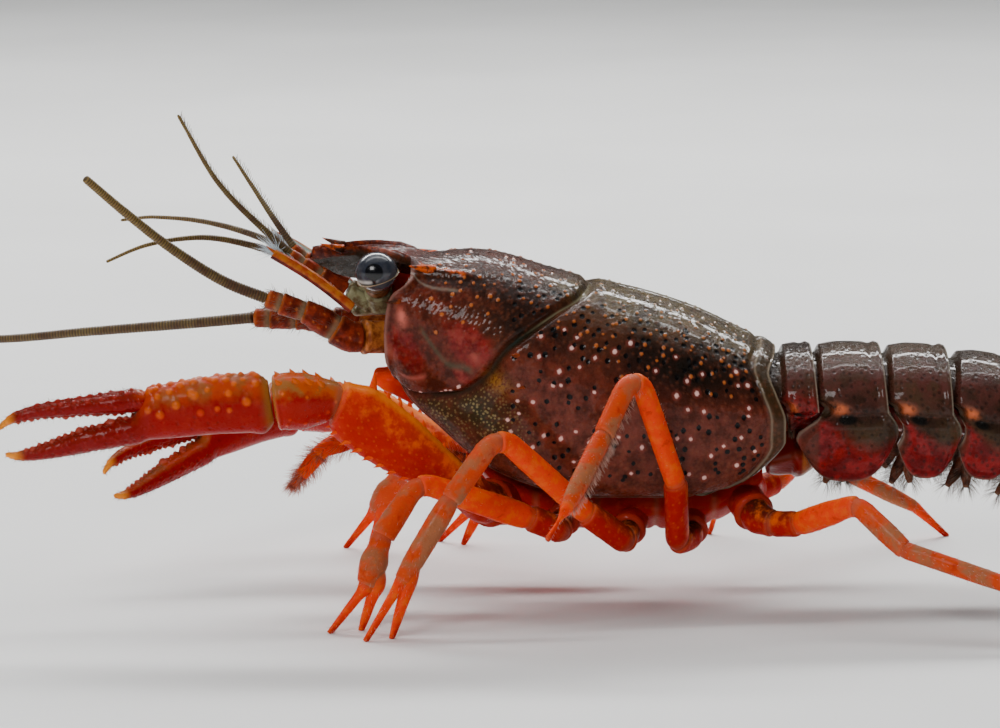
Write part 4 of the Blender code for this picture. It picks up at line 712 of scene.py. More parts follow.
def shell_point(x, share, extra=0.0):
    """Outer surface of the carapace: the bare section moved out by its relief along the oval's normal."""
    y, z = shell_section(x, share)
    half = spline(x, HALF_WIDTH)
    top, mid, low = (spline(x, k) for k in (BACK_HEIGHT, WIDEST_HEIGHT, EDGE_HEIGHT))
    tall = np.where(z >= mid, top - mid, mid - low)
    ny, nz = y / half**2, (z - mid) / tall**2
    size = np.sqrt(ny**2 + nz**2) + 1e-9
    out = shell_relief(x, share) + extra
    return np.stack([x + 0 * y, y + out * ny / size, z + out * nz / size], -1)


def shell_inner(x, share, outer):
    """Inner side of the shell: its wall's thickness inwards, and the keel under the rostrum."""
    mid, half = spline(x, WIDEST_HEIGHT), spline(x, HALF_WIDTH)
    inner = outer.copy()
    inner[..., 1] *= 1 - SHELL / half
    inner[..., 2] = mid + (outer[..., 2] - mid) * (1 - SHELL / 7)
    line, _ = ridge_share(x)
    keel = 0.75 + 1.5 * (1 - np.clip(np.abs(share) / line, 0, 1) ** 2) * smoothstep(ROSTRUM_TIP_X, -13, x)
    on_rostrum = (1 - smoothstep(-8.9, -8.3, x)) * (1 - smoothstep(0.168, 0.19, np.abs(share)))
    under = outer.copy()
    under[..., 1] *= 0.8
    under[..., 2] -= keel * smoothstep(ROSTRUM_TIP_X - 1.5, ROSTRUM_TIP_X + 2.5, x)
    return inner + on_rostrum[..., None] * (under - inner)


def shell_places(start, stop, seed, spacing, rows, columns, keep, height, radius):
    """Spots strewn over part of the shell between two edge lines, kept where `keep` of x, share and a random
    number is true, with random sizes."""
    rng = np.random.default_rng(seed + 1000)
    half = SHELL_GIRTH / 2
    places = []
    for x, around in spread((-18.0, -half), (26.0, half), spacing, seed):
        share = around / half
        low, high = float(start(abs(share))), float(stop(abs(share)))
        chance = rng.uniform()
        size = rng.uniform(0.75, 1.2)
        t = (x - low) / (high - low)
        if 0.01 < t < 0.985 and keep(x, abs(share), chance):
            places.append((t * (rows - 1), (share + 1) / 2 * (columns - 1), height * size, radius * size))
    return places


def near(x, share, at, share_at, wide, share_wide):
    """Bell of a place on the shell."""
    return np.exp(-((x - at) / wide) ** 2 - ((share - share_at) / share_wide) ** 2)


def stroke(x, share, knots, wide):
    """Line on the shell through (x, share) knots, fading at both ends."""
    first, last = knots[0][0], knots[-1][0]
    fade = smoothstep(first - 0.3, first + 0.3, x) * smoothstep(last + 0.3, last - 0.3, x)
    return hump(share, spline(np.clip(x, first, last), knots), wide) * fade


def shell_values(x, share):
    """Where the shell's markings lie, each from 0 to 1."""
    s = np.abs(share)
    behind = x - spline(s, NECK_GROOVE)
    front = x - spline(s, FRONT_EDGE)
    rim = spline(s, REAR_EDGE) - x
    ahead = smoothstep(0.4, -0.4, behind)
    ridge = hump(s, ridge_share(x)[0] + 0.012, 0.011)
    lines = np.maximum(hump(rim, 0.1, 0.1), 0.8 * hump(s, 0.986, 0.006))
    pink = 0.4 * stroke(x, s, PINK_BAND, 0.012) + 0.35 * near(x, s, -2.3, 0.555, 0.5, 0.012)
    chin = np.maximum(near(x, s, -8.9, 0.55, 0.45, 0.035), 0.45 * near(x, s, -10.0, 0.74, 0.4, 0.04))
    return {
        "cheek": ahead * smoothstep(0.26, 0.36, s) * smoothstep(1.5, -5.5, x - 6 * (s - 0.5)),
        "olive": np.maximum(smoothstep(0.36, 0.12, s) * smoothstep(4, 10, x),
                            near(x, s, 6.9, 0.13, 2.6, 0.07)),
        "crimson": np.clip(near(x, s, -8.5, 0.665, 1.75, 0.085) + near(x, s, -2.9, 0.525, 2.3, 0.062)
                           + 0.8 * near(x, s, -3.5, 0.622, 0.9, 0.02), 0, 1) * ahead,
        "dark": np.maximum(near(x, s, 17.0, 0.41, 6.4, 0.1), 0.9 * near(x, s, 1.8, 0.41, 1.1, 0.03)),
        "divider": stroke(x, s, DIVIDER, 0.009),
        "crest_highlight": stroke(x, s, CREST_HIGHLIGHT, 0.009),
        "flank": smoothstep(0.36, 0.56, s) * smoothstep(-1.5, 1.0, behind + 3 * (s - 0.5)),
        "grain": smoothstep(0.1, 0.6, behind) * np.maximum(near(x, s, -1.8, 0.695, 3.6, 0.085),
                                                           0.8 * near(x, s, -5.4, 0.80, 2.8, 0.1)),
        "beak": (1 - smoothstep(-9.5, -5.0, x)) * smoothstep(0.24, 0.17, s),
        "blush": np.maximum(chin, pink),
        "ochre": near(x, s, -0.2, 0.585, 1.1, 0.022),
        "groove": hump(behind, -0.08, 0.1) * smoothstep(0.47, 0.34, s),
        "furrow": hump(behind, 0.05, 0.3) * smoothstep(0.30, 0.42, s) * (1 - 0.6 * smoothstep(0.7, 0.9, s)),
        "teal": near(x, s, 0.9, 0.44, 1.1, 0.045),
        "rear": np.maximum(smoothstep(1.75, 1.2, rim), 0),
        "line": np.maximum(0.75 * hump(rim, 1.32, 0.09), lines),
        "margin": hump(front, 0.1, 0.18) * smoothstep(0.2, 0.3, s),
        "ridge": np.maximum(0.75 * (1 - smoothstep(-9.5, -7.0, x)) * ridge, stroke(x, s, RED_STREAK, 0.014)),
        "inside": np.zeros_like(x + s),
    }


SHELL_CHANNELS = ("knob", "pearl", "pit", "cheek", "crimson", "divider", "crest_highlight", "olive", "dark", "flank",
                  "grain", "ochre", "groove", "furrow", "teal", "rear", "line", "margin", "ridge", "crumb",
                  "halo", "beak", "blush", "inside")
# Markings of the head, as (x, share) places: pale pearls, orange knobs, and the courses of lines
PEARLS = ((-9.1, 0.93), (-8.2, 0.86), (-7.2, 0.80), (-5.3, 0.72), (-4.4, 0.685), (-3.7, 0.655), (-4.9, 0.70),
          (1.6, 0.57), (1.6, 0.605), (1.7, 0.635), (0.7, 0.67), (1.0, 0.70))
HEAD_KNOBS = ((-3.4, 0.465), (-5.8, 0.55), (-4.3, 0.35), (-4.4, 0.41), (-2.1, 0.34), (-0.9, 0.32),
              (-1.1, 0.395), (1.0, 0.47), (0.1, 0.53), (-6.2, 0.40), (-2.6, 0.38), (-5.2, 0.46))
DIVIDER = [(-7.2, 0.56), (-6.2, 0.585), (-4.7, 0.61), (-3.2, 0.592), (-2.5, 0.589)]
# Course of a painted highlight: a pale line along the ridge behind the eye
CREST_HIGHLIGHT = [(-9.0, 0.234), (-7.3, 0.314), (-3.8, 0.328)]
PINK_BAND = [(-9.1, 0.81), (-6.7, 0.70)]
RED_STREAK = [(-7.3, 0.187), (-3.2, 0.244)]


def shell_part(start, stop, rows, columns, seed):
    """Grid of one part of the carapace between two edge lines, with its spots raised and its markings."""
    looks = bpy.context.scene.crayfish
    share = np.linspace(-1, 1, columns)[None, :] + np.zeros((rows, 1))
    low, high = start(np.abs(share)), stop(np.abs(share))
    x = low + (high - low) * np.linspace(0, 1, rows)[:, None]
    bare = shell_point(x, share)

    def clear(x, s):
        groove = abs(x - float(spline(s, NECK_GROOVE)))
        rim = float(spline(s, REAR_EDGE)) - x
        return groove > 0.75 and rim > 2.1 and s < 0.94

    def knobbed(x, s, chance):
        back = clear(x, s) and x > 3 and 0.05 < s < 0.5 and chance < 0.9 - 0.9 * max(s - 0.32, 0) / 0.18
        head = clear(x, s) and -6 < x < 7 and 0.03 < s < 0.33 and chance < 0.62
        return back or head

    def pearled(x, s, chance):
        return clear(x, s) and x > 1.5 and 0.34 < s < 0.78 and chance < 0.75

    def pitted(x, s, chance):
        return clear(x, s) and x > 1.0 and 0.2 < s < 0.8 and chance < (0.85 if s < 0.46 else 0.5)

    def crumbed(x, s, chance):
        return s < 0.97 and chance < (0.9 if s > 0.5 or x < 2 else 0.55)

    def made(offset, spacing, keep, height, radius):
        places = shell_places(start, stop, seed + offset, spacing, rows, columns, keep, height, radius)
        return spots(bare, places)

    def marked(places, height, radius):
        rng = np.random.default_rng(seed)
        found = []
        for x, s in places:
            t = float((x - start(s)) / (stop(s) - start(s)))
            size = rng.uniform(0.8, 1.15)
            if 0.01 < t < 0.99:
                found += [(t * (rows - 1), (1 + side * s) / 2 * (columns - 1), height * size, radius * size)
                          for side in SIDES.values()]
        return spots(bare, found)

    knob_height, knob = made(1, 1.35, knobbed, looks.knob_height / MM, 0.22)
    pearl_height, pearl = made(2, 2.1, pearled, 0.07, 0.22)
    bead_height, bead = marked(PEARLS, 0.08, 0.2)
    head_height, head_knob = marked(HEAD_KNOBS, looks.knob_height / MM, 0.26)
    halo = np.maximum(made(2, 2.1, pearled, 0.0, 0.5)[1], 0.5 * marked(PEARLS, 0.0, 0.4)[1])
    pit_depth, pit = made(4, 1.22, pitted, -0.08, 0.25)
    crumb_height, crumb = made(5, 0.62, crumbed, 0.035, 0.2)
    knob, knob_height = np.maximum(knob, head_knob), np.maximum(knob_height, head_height)
    pit = pit * (1 - np.maximum(np.maximum(knob, pearl), bead)) ** 2
    height = np.maximum(np.maximum(knob_height, pearl_height), np.maximum(bead_height, crumb_height))
    outer = shell_point(x, share, np.where(pit > 0.02, pit_depth, height))
    values = shell_values(x, share)
    values.update(knob=knob, pearl=np.maximum(0.8 * pearl, 0.9 * bead), halo=halo, pit=pit, crumb=crumb)
    return x, share, outer, values


def plate_values(values, skip):
    """A plate's values for its outer points, then the same for the fewer inner ones."""
    return {key: np.concatenate([v.reshape(-1), v[:, ::skip].reshape(-1)]) for key, v in values.items()}


def make_carapace():
    """The carapace as two plates that meet in the neck groove, with its spines."""
    finish = shell_paint()
    rows, columns, skip = 250, 321, 16

    def front(s):
        return spline(s, FRONT_EDGE)

    def groove(s):
        return spline(s, NECK_GROOVE)

    def rear(s):
        return spline(s, REAR_EDGE)

    for name, start, stop, seed, nodes in (("head_shell", front, groove, 11, ("carapace",)),
                                           ("back_shell", groove, rear, 37, ())):
        body = Body(*SHELL_CHANNELS)
        x, share, outer, values = shell_part(start, stop, rows, columns, seed)
        if name == "head_shell":
            outer[-1] = shell_point(x[-1], share[-1])
        else:
            outer[0] = shell_point(x[0], share[0])
        inner = shell_inner(x, share, outer)[:, ::skip]
        values = plate_values(values, skip)
        values["inside"][x.size:] = 1
        body.add(closed_plate(outer, inner, skip), **values)
        for side in SIDES.values():
            for at, around, length, thick, lift in SHELL_SPINES:
                if (at > float(groove(around))) == (name == "head_shell"):
                    continue
                root = shell_point(np.array(at), np.array(side * around))
                beside = shell_point(np.array(at), np.array(side * (around + 0.02)))
                behind = shell_point(np.array(at + 0.4), np.array(side * around))
                out = unit(np.cross(beside - root, root - behind)) * side
                tip = root + length * unit(np.array([-1, 0, 0]) + lift * out)
                redness = 0.9 if around < 0.4 else 0.3
                body.add(thorn(root, tip, thick, sunk=0.7, curl=0.1 * out), ridge=redness)
        body.finish(name, finish, nodes, "brown_shell")
    make_gill_wall()


def make_gill_wall():
    """The soft wall inside the carapace, which closes it below and behind. Its rings are the shell's section
    drawn in, with a flat floor above the shell's lower edge."""
    stations = np.linspace(-7.4, 23.6, 70)
    share = np.linspace(-1, 1, 49)[None, :]
    x = stations[:, None] + 0 * share
    y, z = shell_section(x, share * 0.97)
    mid, half = spline(x, WIDEST_HEIGHT), spline(x, HALF_WIDTH)
    shrink = 1.05 + 2.2 * smoothstep(21.0, 23.6, x) + 1.6 * smoothstep(-6.0, -7.4, x)
    y = y * (1 - shrink / half)
    z = mid + (z - mid) * (1 - shrink / 6.5)
    floor = spline(x, EDGE_HEIGHT) + BELLY_RISE * (1 - np.abs(share) ** 6) + 0.05
    upper = np.stack([x, y, np.maximum(z, floor - 0.05)], -1)
    across = np.linspace(1, -1, 25)[None, 1:-1]
    under_x = stations[:, None] + 0 * across
    under_y = across * (upper[:, -1, 1][:, None])
    under_z = spline(under_x, EDGE_HEIGHT) + BELLY_RISE * (1 - np.abs(across) ** 6) - 0.02
    rings = np.concatenate([upper, np.stack([under_x, under_y, under_z], -1)], 1)
    body = Body("fold")
    fold = 0.5 + 0.5 * np.sin(rings[..., 0] * 3.2 + 2 * np.sin(rings[..., 2]))
    body.tube(rings, fold=fold)
    body.finish("gill_wall", membrane_paint(), (), "pale_membrane")


# Underside, face and mouth


def hip_line(number, side):
    """Where a leg's first joint starts on the breast plate, and its outer end."""
    x, z = HIPS[number]
    start = np.array([x, side * 3.4, z - HIP_RISE[number]])
    return start, np.array([x + HIP_LEAN[number], side * 6.2, z])


LIMB_CHANNELS = ("tone", "joint", "knob", "rim", "edge", "upper")
# Breast plates, as x, top, lowest, and half width above and below, with the places of the joints between them
BREAST_JOINTS = (3.3, 8.9, 14.3, 19.6)
BREAST = [(-3.0, 14.6, 13.0, 3.9, 3.0), (0.5, 12.0, 9.0, 4.4, 3.2), (4, 10.9, 7.0, 4.8, 3.0),
          (9, 10.8, 6.2, 5.0, 2.8), (15, 10.8, 6.2, 5.0, 2.8), (20, 11.0, 7.0, 4.8, 2.8),
          (24, 13.2, 9.6, 4.4, 2.6)]
# Front of the head and the mouth, as x, lowest, highest and half width
FACE = [(-8.6, 22.0, 29.2, 4.7), (-10.6, 22.4, 28.9, 4.5), (-12.4, 23.3, 28.4, 3.9), (-13.6, 24.2, 27.9, 3.0)]
MOUTH = [(-3.4, 14.3, 15.2, 2.2), (-5.2, 15.2, 16.7, 3.0), (-7.0, 16.8, 18.2, 3.4), (-8.2, 18.0, 20.2, 3.4),
         (-10.2, 19.6, 21.4, 2.2)]
FEELER_STUB = 1.5


def column(table, number):
    """A table's first column paired with another, for `spline`."""
    return [(row[0], row[number]) for row in table]


def oval_stack(table, rows=46, sides=64, dome=0.5):
    """Stack of upright oval rings from a table of x, lowest, highest and half width, rounded at both ends."""
    x = np.linspace(table[0][0], table[-1][0], rows)
    low, high, half = (spline(x, column(table, k)) for k in (1, 2, 3))
    ends = np.minimum(np.abs(x - x[0]), np.abs(x - x[-1]))
    ends = np.sqrt(np.clip(1 - (1 - np.clip(ends / dome, 0, 1)) ** 2, 0.25, 1))
    turn = turns(sides)
    middle, tall = (high + low) / 2, (high - low) / 2 * ends
    return np.stack([x[:, None] + 0 * turn, (half * ends)[:, None] * np.cos(turn),
                     middle[:, None] + tall[:, None] * np.sin(turn)], -1)


PEG_ROWS = 16


def peg_rings(inner, outer, half):
    """Round stub with a raised lip at its outer end."""
    t = np.linspace(0, 1, PEG_ROWS)[:, None, None]
    left = (1 - t) * np.linalg.norm(outer - inner)
    wide = half * (1 + 0.08 * hump(left, 0.3, 0.2) - 0.2 * (1 - smoothstep(0, 0.14, left)))
    circle = circles(turns(28), *square_to(unit(outer - inner), (0.1, 0.2, 1), (1, 0.1, 0)))
    return inner + (outer - inner) * t + wide * circle


def make_underside():
    """Breast plates between the legs, jointed across, with the stubs that carry the legs."""
    x = np.linspace(BREAST[0][0], BREAST[-1][0], 150)
    top, low, wide, narrow = (spline(x, column(BREAST, k)) for k in (1, 2, 3, 4))
    seam = np.max([hump(x, at, 0.3) for at in BREAST_JOINTS], axis=0)
    turn = turns(60)
    up = np.sin(turn)[None, :]
    side = np.sign(np.cos(turn)) * np.abs(np.cos(turn)) ** 0.6
    half = np.where(up > 0, wide[:, None], narrow[:, None] + (wide - narrow)[:, None] * (1 + up) ** 2)
    middle = (top + low)[:, None] / 2
    z = middle + (top - low)[:, None] / 2 * np.sign(up) * np.abs(up) ** 0.7 * (1 - 0.12 * seam[:, None])
    keel = 0.35 * np.clip(-up, 0, 1) * hump(side[None, :], 0, 0.22)
    rings = np.stack([x[:, None] + 0 * up, half * side, z + keel], -1)
    body = Body(*LIMB_CHANNELS)
    body.tube(rings, tone=0.09, joint=seam[:, None])
    for way in SIDES.values():
        for number in HIPS:
            start, stop = hip_line(number, way)
            half = {1: 2.1, 5: 1.75}.get(number, 1.5)
            body.tube(peg_rings(start - 1.3 * unit(stop - start), stop, half), tone=0.07,
                      joint=0.5 * hump(np.linspace(0, 1, PEG_ROWS), 1, 0.1)[:, None])
    body.finish("breast_plates", limb_paint(), ("thorax_underside",), "orange_limb")


def eye_joint(name):
    """Inner end, outer end and half thickness of the stub that carries an eye stalk."""
    side = SIDES[name]
    return np.array([-10.9, side * 2.0, 27.2]), np.array([-11.1, side * 3.1, 28.7]), 1.2


def antennule_joint(name):
    """The same for the stub of a small feeler."""
    side = SIDES[name]
    return np.array([-11.9, side * 1.7, 27.1]), np.array([-13.9, side * 1.75, 28.4]), 0.75


def antenna_joint(name):
    """The same for the stub of a large feeler."""
    side = SIDES[name]
    return np.array([-9.8, side * 3.2, 24.4]), np.array([-12.6, side * 4.5, 24.6]), FEELER_STUB


def make_face():
    """Front of the head below the rostrum, with the stubs for the eyes and feelers."""
    body = Body("fold", "stub")
    rings = oval_stack(FACE, rows=60, sides=80)
    ripple = np.sin(rings[..., 2] * 2.4 + 1.5 * np.sin(rings[..., 0] * 1.3))
    rings = rings + grid_normals(rings, True) * (0.07 * ripple)[..., None]
    body.tube(rings, fold=0.5 + 0.5 * ripple)
    for name in SIDES:
        for inner, outer, half in (eye_joint(name), antennule_joint(name), antenna_joint(name)):
            body.tube(peg_rings(inner, outer, half), fold=0.8, stub=float(half == FEELER_STUB))
    body.finish("head_front", face_paint(), ("face",), "brown_shell")


def make_mouth():
    """Jaws and folded inner mouth limbs, and the outer pair that reaches forward and curls down."""
    body = Body(*LIMB_CHANNELS)
    rings = oval_stack(MOUTH, rows=60, sides=64)
    furrow = hump(rings[..., 1], 0, 0.22) + 0.6 * hump(np.abs(rings[..., 1]), 1.5, 0.2)
    rings = rings - grid_normals(rings, True) * (0.22 * furrow)[..., None]
    body.tube(rings, tone=0.3 + 0.2 * furrow, joint=0.5 * furrow)
    for side in SIDES.values():
        corners = [(-7.6, side * 1.7, 18.6), (-9.5, side * 1.6, 19.8), (-11.6, side * 1.3, 20.4)]
        course = Course(corners, 1.2, (0, 1, 0))
        halves = [(0, 0.8), (0.6 * course.length, 1.0), (course.length, 0.45)]
        limb_piece(body, course, 0, course.length, halves, 0.9, tone=(0.35, 0.55), sides=24)
    body.finish("jaws", limb_paint(), ("mouthparts",), "orange_limb")
    tufts = []
    for number, (name, side) in enumerate(SIDES.items()):
        lower = 0.0 if side < 0 else 0.8
        corners = [(-3.4, side * 2.6, 11.5), (-6.5, side * 2.9, 13.0 - lower),
                   (-12.6, side * 3.1, 15.4 - lower), (-16.3, side * 3.0, 13.9 - lower),
                   (-19.1, side * 2.7, 10.4 - lower)]
        course = Course(corners, 2.5, (0, 1, 0))
        long = course.length
        halves = [(share * long, half) for share, half in
                  ((0, 1.1), (0.16, 1.2), (0.33, 1.25), (0.5, 1.0), (0.57, 0.8), (0.64, 0.95), (0.77, 0.7),
                   (0.82, 0.75), (0.93, 0.5), (1, 0.2))]
        body = Body(*LIMB_CHANNELS)
        for share, after, tone in ((0, 0.2, (0.1, 0.2)), (0.2, 0.56, (0.2, 0.4)), (0.56, 0.79, (0.4, 0.5)),
                                   (0.79, 0.93, (0.5, 0.6)), (0.93, 1, (0.6, 0.7))):
            grid = limb_piece(body, course, share * long, after * long, halves, 0.8, tone=tone, sides=30)
            tufts.append(comb(grid, ((0.25, 0.55),), 1.1, 0.022, 220, 60 + number, (0.1 * number, 0)))
        body.finish(f"outer_jaw_limb_{name}", limb_paint(), (f"maxilliped_{name}",), "orange_limb")
    bristles("jaw_limb_bristles", "red", tufts)


# Limb joints

TUCK = 0.4


def limb_piece(body, course, begin, end, halves, flat, tone=(0.5, 0.5), sides=30, lip=0.07, step=0.16,
               spot=None, blunt=True, rim=0.0):
    """One joint of a limb, from inside the joint before it to a raised lip. Its half thickness follows
    `halves`, drawn in near the root and swollen at the lip. Returns the grid of its points."""
    first = begin if begin <= 0 else begin - TUCK
    count = max(int((end - first) / step), 8)
    place = np.linspace(first, end, count)
    if blunt:
        place = np.sort(np.concatenate([place, end - np.array([0.12, 0.06, 0.02])]))
    here, left = place - begin, end - place
    half = spline(place, halves)
    if begin > 0:
        half = half * (1 - 0.16 * (1 - smoothstep(-TUCK, 0.5, here)))
    half = half * (1 + lip * hump(left, 0.3, 0.22))
    if blunt:
        half = half * (1 - 0.3 * (1 - smoothstep(0, 0.16, left)))
    flat = spline(place, flat) if isinstance(flat, list) else np.full(len(place), float(flat))
    centre, _, narrow, wide = course.at(place)
    turn = turns(sides)
    aside = (flat[:, None] * np.sin(turn))[..., None] * narrow[:, None]
    rings = centre[:, None] + half[:, None, None] * (np.cos(turn)[:, None] * wide[:, None] + aside)
    knob = np.zeros(rings.shape[:2])
    if spot is not None:
        spacing, height, radius, seed = spot
        girth = 2 * math.pi * float(np.mean(half))
        around = spread((0, 0), (girth, end - begin - 0.8), spacing, seed)
        rows = np.searchsorted(place, begin + 0.4 + around[:, 1])
        size = np.random.default_rng(seed).uniform(0.7, 1.2, len(rows))
        marks = zip(rows, around[:, 0] / girth * sides, height * size, radius * size)
        lift, knob = spots(rings, marks, True)
        rings = rings + grid_normals(rings, True) * lift[..., None]
    rings[..., 2] = np.maximum(rings[..., 2], 0.0)
    share = np.clip((place - begin) / (end - begin), 0, 1)
    flow = tone[0] + (tone[1] - tone[0]) * share
    joint = hump(here, 0.1, 0.32) * (begin > 0)
    body.tube(rings, tone=flow[:, None], joint=joint[:, None], knob=knob,
              edge=hump(left, 0.08, 0.16)[:, None], rim=rim * np.abs(np.cos(turn)) ** 4,
              upper=0.5 + 0.5 * np.cos(turn) * np.sign(wide[:, 2:3]))
    return rings


def comb(grid, bands, length, half, count, seed, tile, lean=0.55, size=(0.09, 0.9)):
    """Bristles on a limb joint, kept to bands of its way round, each given as a middle and a half width."""
    rng = np.random.default_rng(seed)
    rows = rng.integers(1, max(len(grid) - 2, 2), count)
    band = np.array(bands)[rng.integers(0, len(bands), count)]
    columns = ((band[:, 0] + band[:, 1] * rng.uniform(-1, 1, count)) % 1 * grid.shape[1]).astype(int)
    return sprouts(grid, grid_normals(grid, True), rows, columns, length, half, lean, seed, tile, size)


# Eyes


def make_eyes():
    """Each eye: a cornea ball in a stalk whose rim clasps its lower part."""
    for name, side in SIDES.items():
        centre = np.array(EYES[name])
        inner, foot, _ = eye_joint(name)
        up = unit(centre - foot)
        gaze = unit(np.array([-0.10, side, 0.12]))
        first = unit(np.cross(gaze, (0, 0, 1)))
        second = np.cross(gaze, first)
        polar = np.linspace(0.02, math.pi - 0.02, 72)
        circle = np.sin(polar)[:, None, None] * circles(turns(72), first, second)
        rings = centre + EYE_RADIUS * (np.cos(polar)[:, None, None] * gaze + circle)
        grip = cup_axis(side)
        body = Body("gaze", "ring", "below")
        clasp = np.einsum("ijk,k->ij", rings - centre, grip) / EYE_RADIUS
        # ring: a pale band on the front of the ball just above the cup's rim, a painted reflection
        ring = hump(clasp, -0.12, 0.1) * smoothstep(0.25, -0.5, (rings[..., 0] - centre[0]) / EYE_RADIUS)
        drop = (-np.einsum("ijk,k->ij", rings - centre, second * np.sign(second[2])) / EYE_RADIUS)
        aside = np.abs(np.einsum("ijk,k->ij", rings - centre, first) / EYE_RADIUS)
        below = smoothstep(0.05, 0.1, drop) * smoothstep(0.12, 0.02, aside - 0.2 * (0.62 - drop))
        rings[..., 2] -= 0.07 * (rings[..., 2] - centre[2])
        body.tube(rings, gaze=(polar / math.pi)[:, None], ring=ring, below=below)
        body.finish(f"cornea_{name}", eye_paint(), (f"eye_{name}",), "grey_eye")
        stalk_cup(name, centre, foot, up, unit(foot - inner))


def cup_axis(side):
    """Direction in which a stalk's cup clasps its ball: from below and behind."""
    return unit(np.array([-0.25, 0.25 * side, 0.93]))


def stalk_cup(name, centre, foot, up, way):
    """Eye stalk: rings about a line from the head's stub to the ball, flaring into a cup round the ball and
    turning in at its rim."""
    heights = [(0.0, 1.15), (0.5, 1.1), (1.0, 1.25), (1.6, 1.6), (2.1, 1.86), (2.45, 1.98), (2.62, 1.97)]
    start = foot + way * GAP
    grip = cup_axis(SIDES[name])
    stop = centre - 0.24 * EYE_RADIUS * grip
    t = np.linspace(0, 1, 40)
    turn = turns(56)

    def rims(shares):
        """Unit circles across the stalk, which turn from its own line to the cup's axis."""
        share = smoothstep(0.2, 0.9, shares)[:, None]
        axis = unit(up * (1 - share) + grip * share)
        first = unit(np.cross(axis, (1, 0, 0.1)))
        return circles(turn, first, np.cross(axis, first))

    lean = np.sin(t * math.pi) * 0.15
    line = start + (stop - start) * t[:, None] + way * lean[:, None]
    wave = 1 + 0.02 * np.sin(3 * turn + 1)[None, :] * t[:, None]
    rings = line[:, None] + (spline(t * 2.62, heights)[:, None] * wave)[..., None] * rims(t)
    inner_t = np.linspace(1, 0.55, 10)[1:]
    inside = start + (stop - start) * inner_t[:, None]
    lining = inside[:, None] + (spline(inner_t * 2.62, heights) - 0.28)[:, None, None] * rims(inner_t)
    body = Body("fold", "rim")
    rim = np.concatenate([smoothstep(0.72, 0.9, t), np.ones(len(inner_t))])
    body.tube(np.concatenate([rings, lining]), fold=0.5 + 0.5 * np.sin(9 * turn), rim=rim[:, None])
    body.finish(f"eye_cup_{name}", eye_cup_paint(), (f"eyestalk_{name}",), "pale_membrane")


# Feelers


def annulated(body, course, halves, ring, sides, per_ring=5, first=0.0):
    """Whip made of short rings: half thickness falls along it and swells by a rounded step in each ring."""
    count = int((course.length - first) / ring) * per_ring + 1
    place = first + np.arange(count) * ring / per_ring
    place = place[place <= course.length]
    phase = (np.arange(len(place)) % per_ring) / per_ring
    half = np.interp(place, [0, course.length], halves) * (0.9 + 0.2 * np.sin(math.pi * (phase + 0.1)) ** 0.7)
    half = half * np.sqrt(np.clip(1 - (1 - np.clip((course.length - place) / 0.3, 0.05, 1)) ** 2, 0, 1))
    centre, _, narrow, wide = course.at(place)
    rings = centre[:, None] + half[:, None, None] * circles(turns(sides), wide, narrow)
    body.tube(rings, band=np.sin(math.pi * (phase + 0.1))[:, None] ** 2,
              share=(place / course.length)[:, None])
    return rings


def joint_shares(body, course, steps, halves, flat, tones, sides=34, spot=None):
    """Limb joints that follow each other at shares of a course's length."""
    table = [(share * course.length, half) for share, half in halves]
    grids = []
    for number, (begin, end) in enumerate(zip(steps, steps[1:])):
        mark = None if spot is None else (*spot[:3], spot[3] + number)
        grids.append(limb_piece(body, course, begin * course.length, end * course.length, table, flat,
                                tone=(tones[number], tones[number + 1]), sides=sides, spot=mark))
    return grids


# Each long whip's half thickness at both ends, ring length, number of sides and nodes
WHIPS = {"left": ((0.5, 0.34), 0.27, 18, ("antenna_left",)),
         "right": ((0.5, 0.14), 0.30, 14, ("antenna_right_inner", "antenna_right_outer"))}


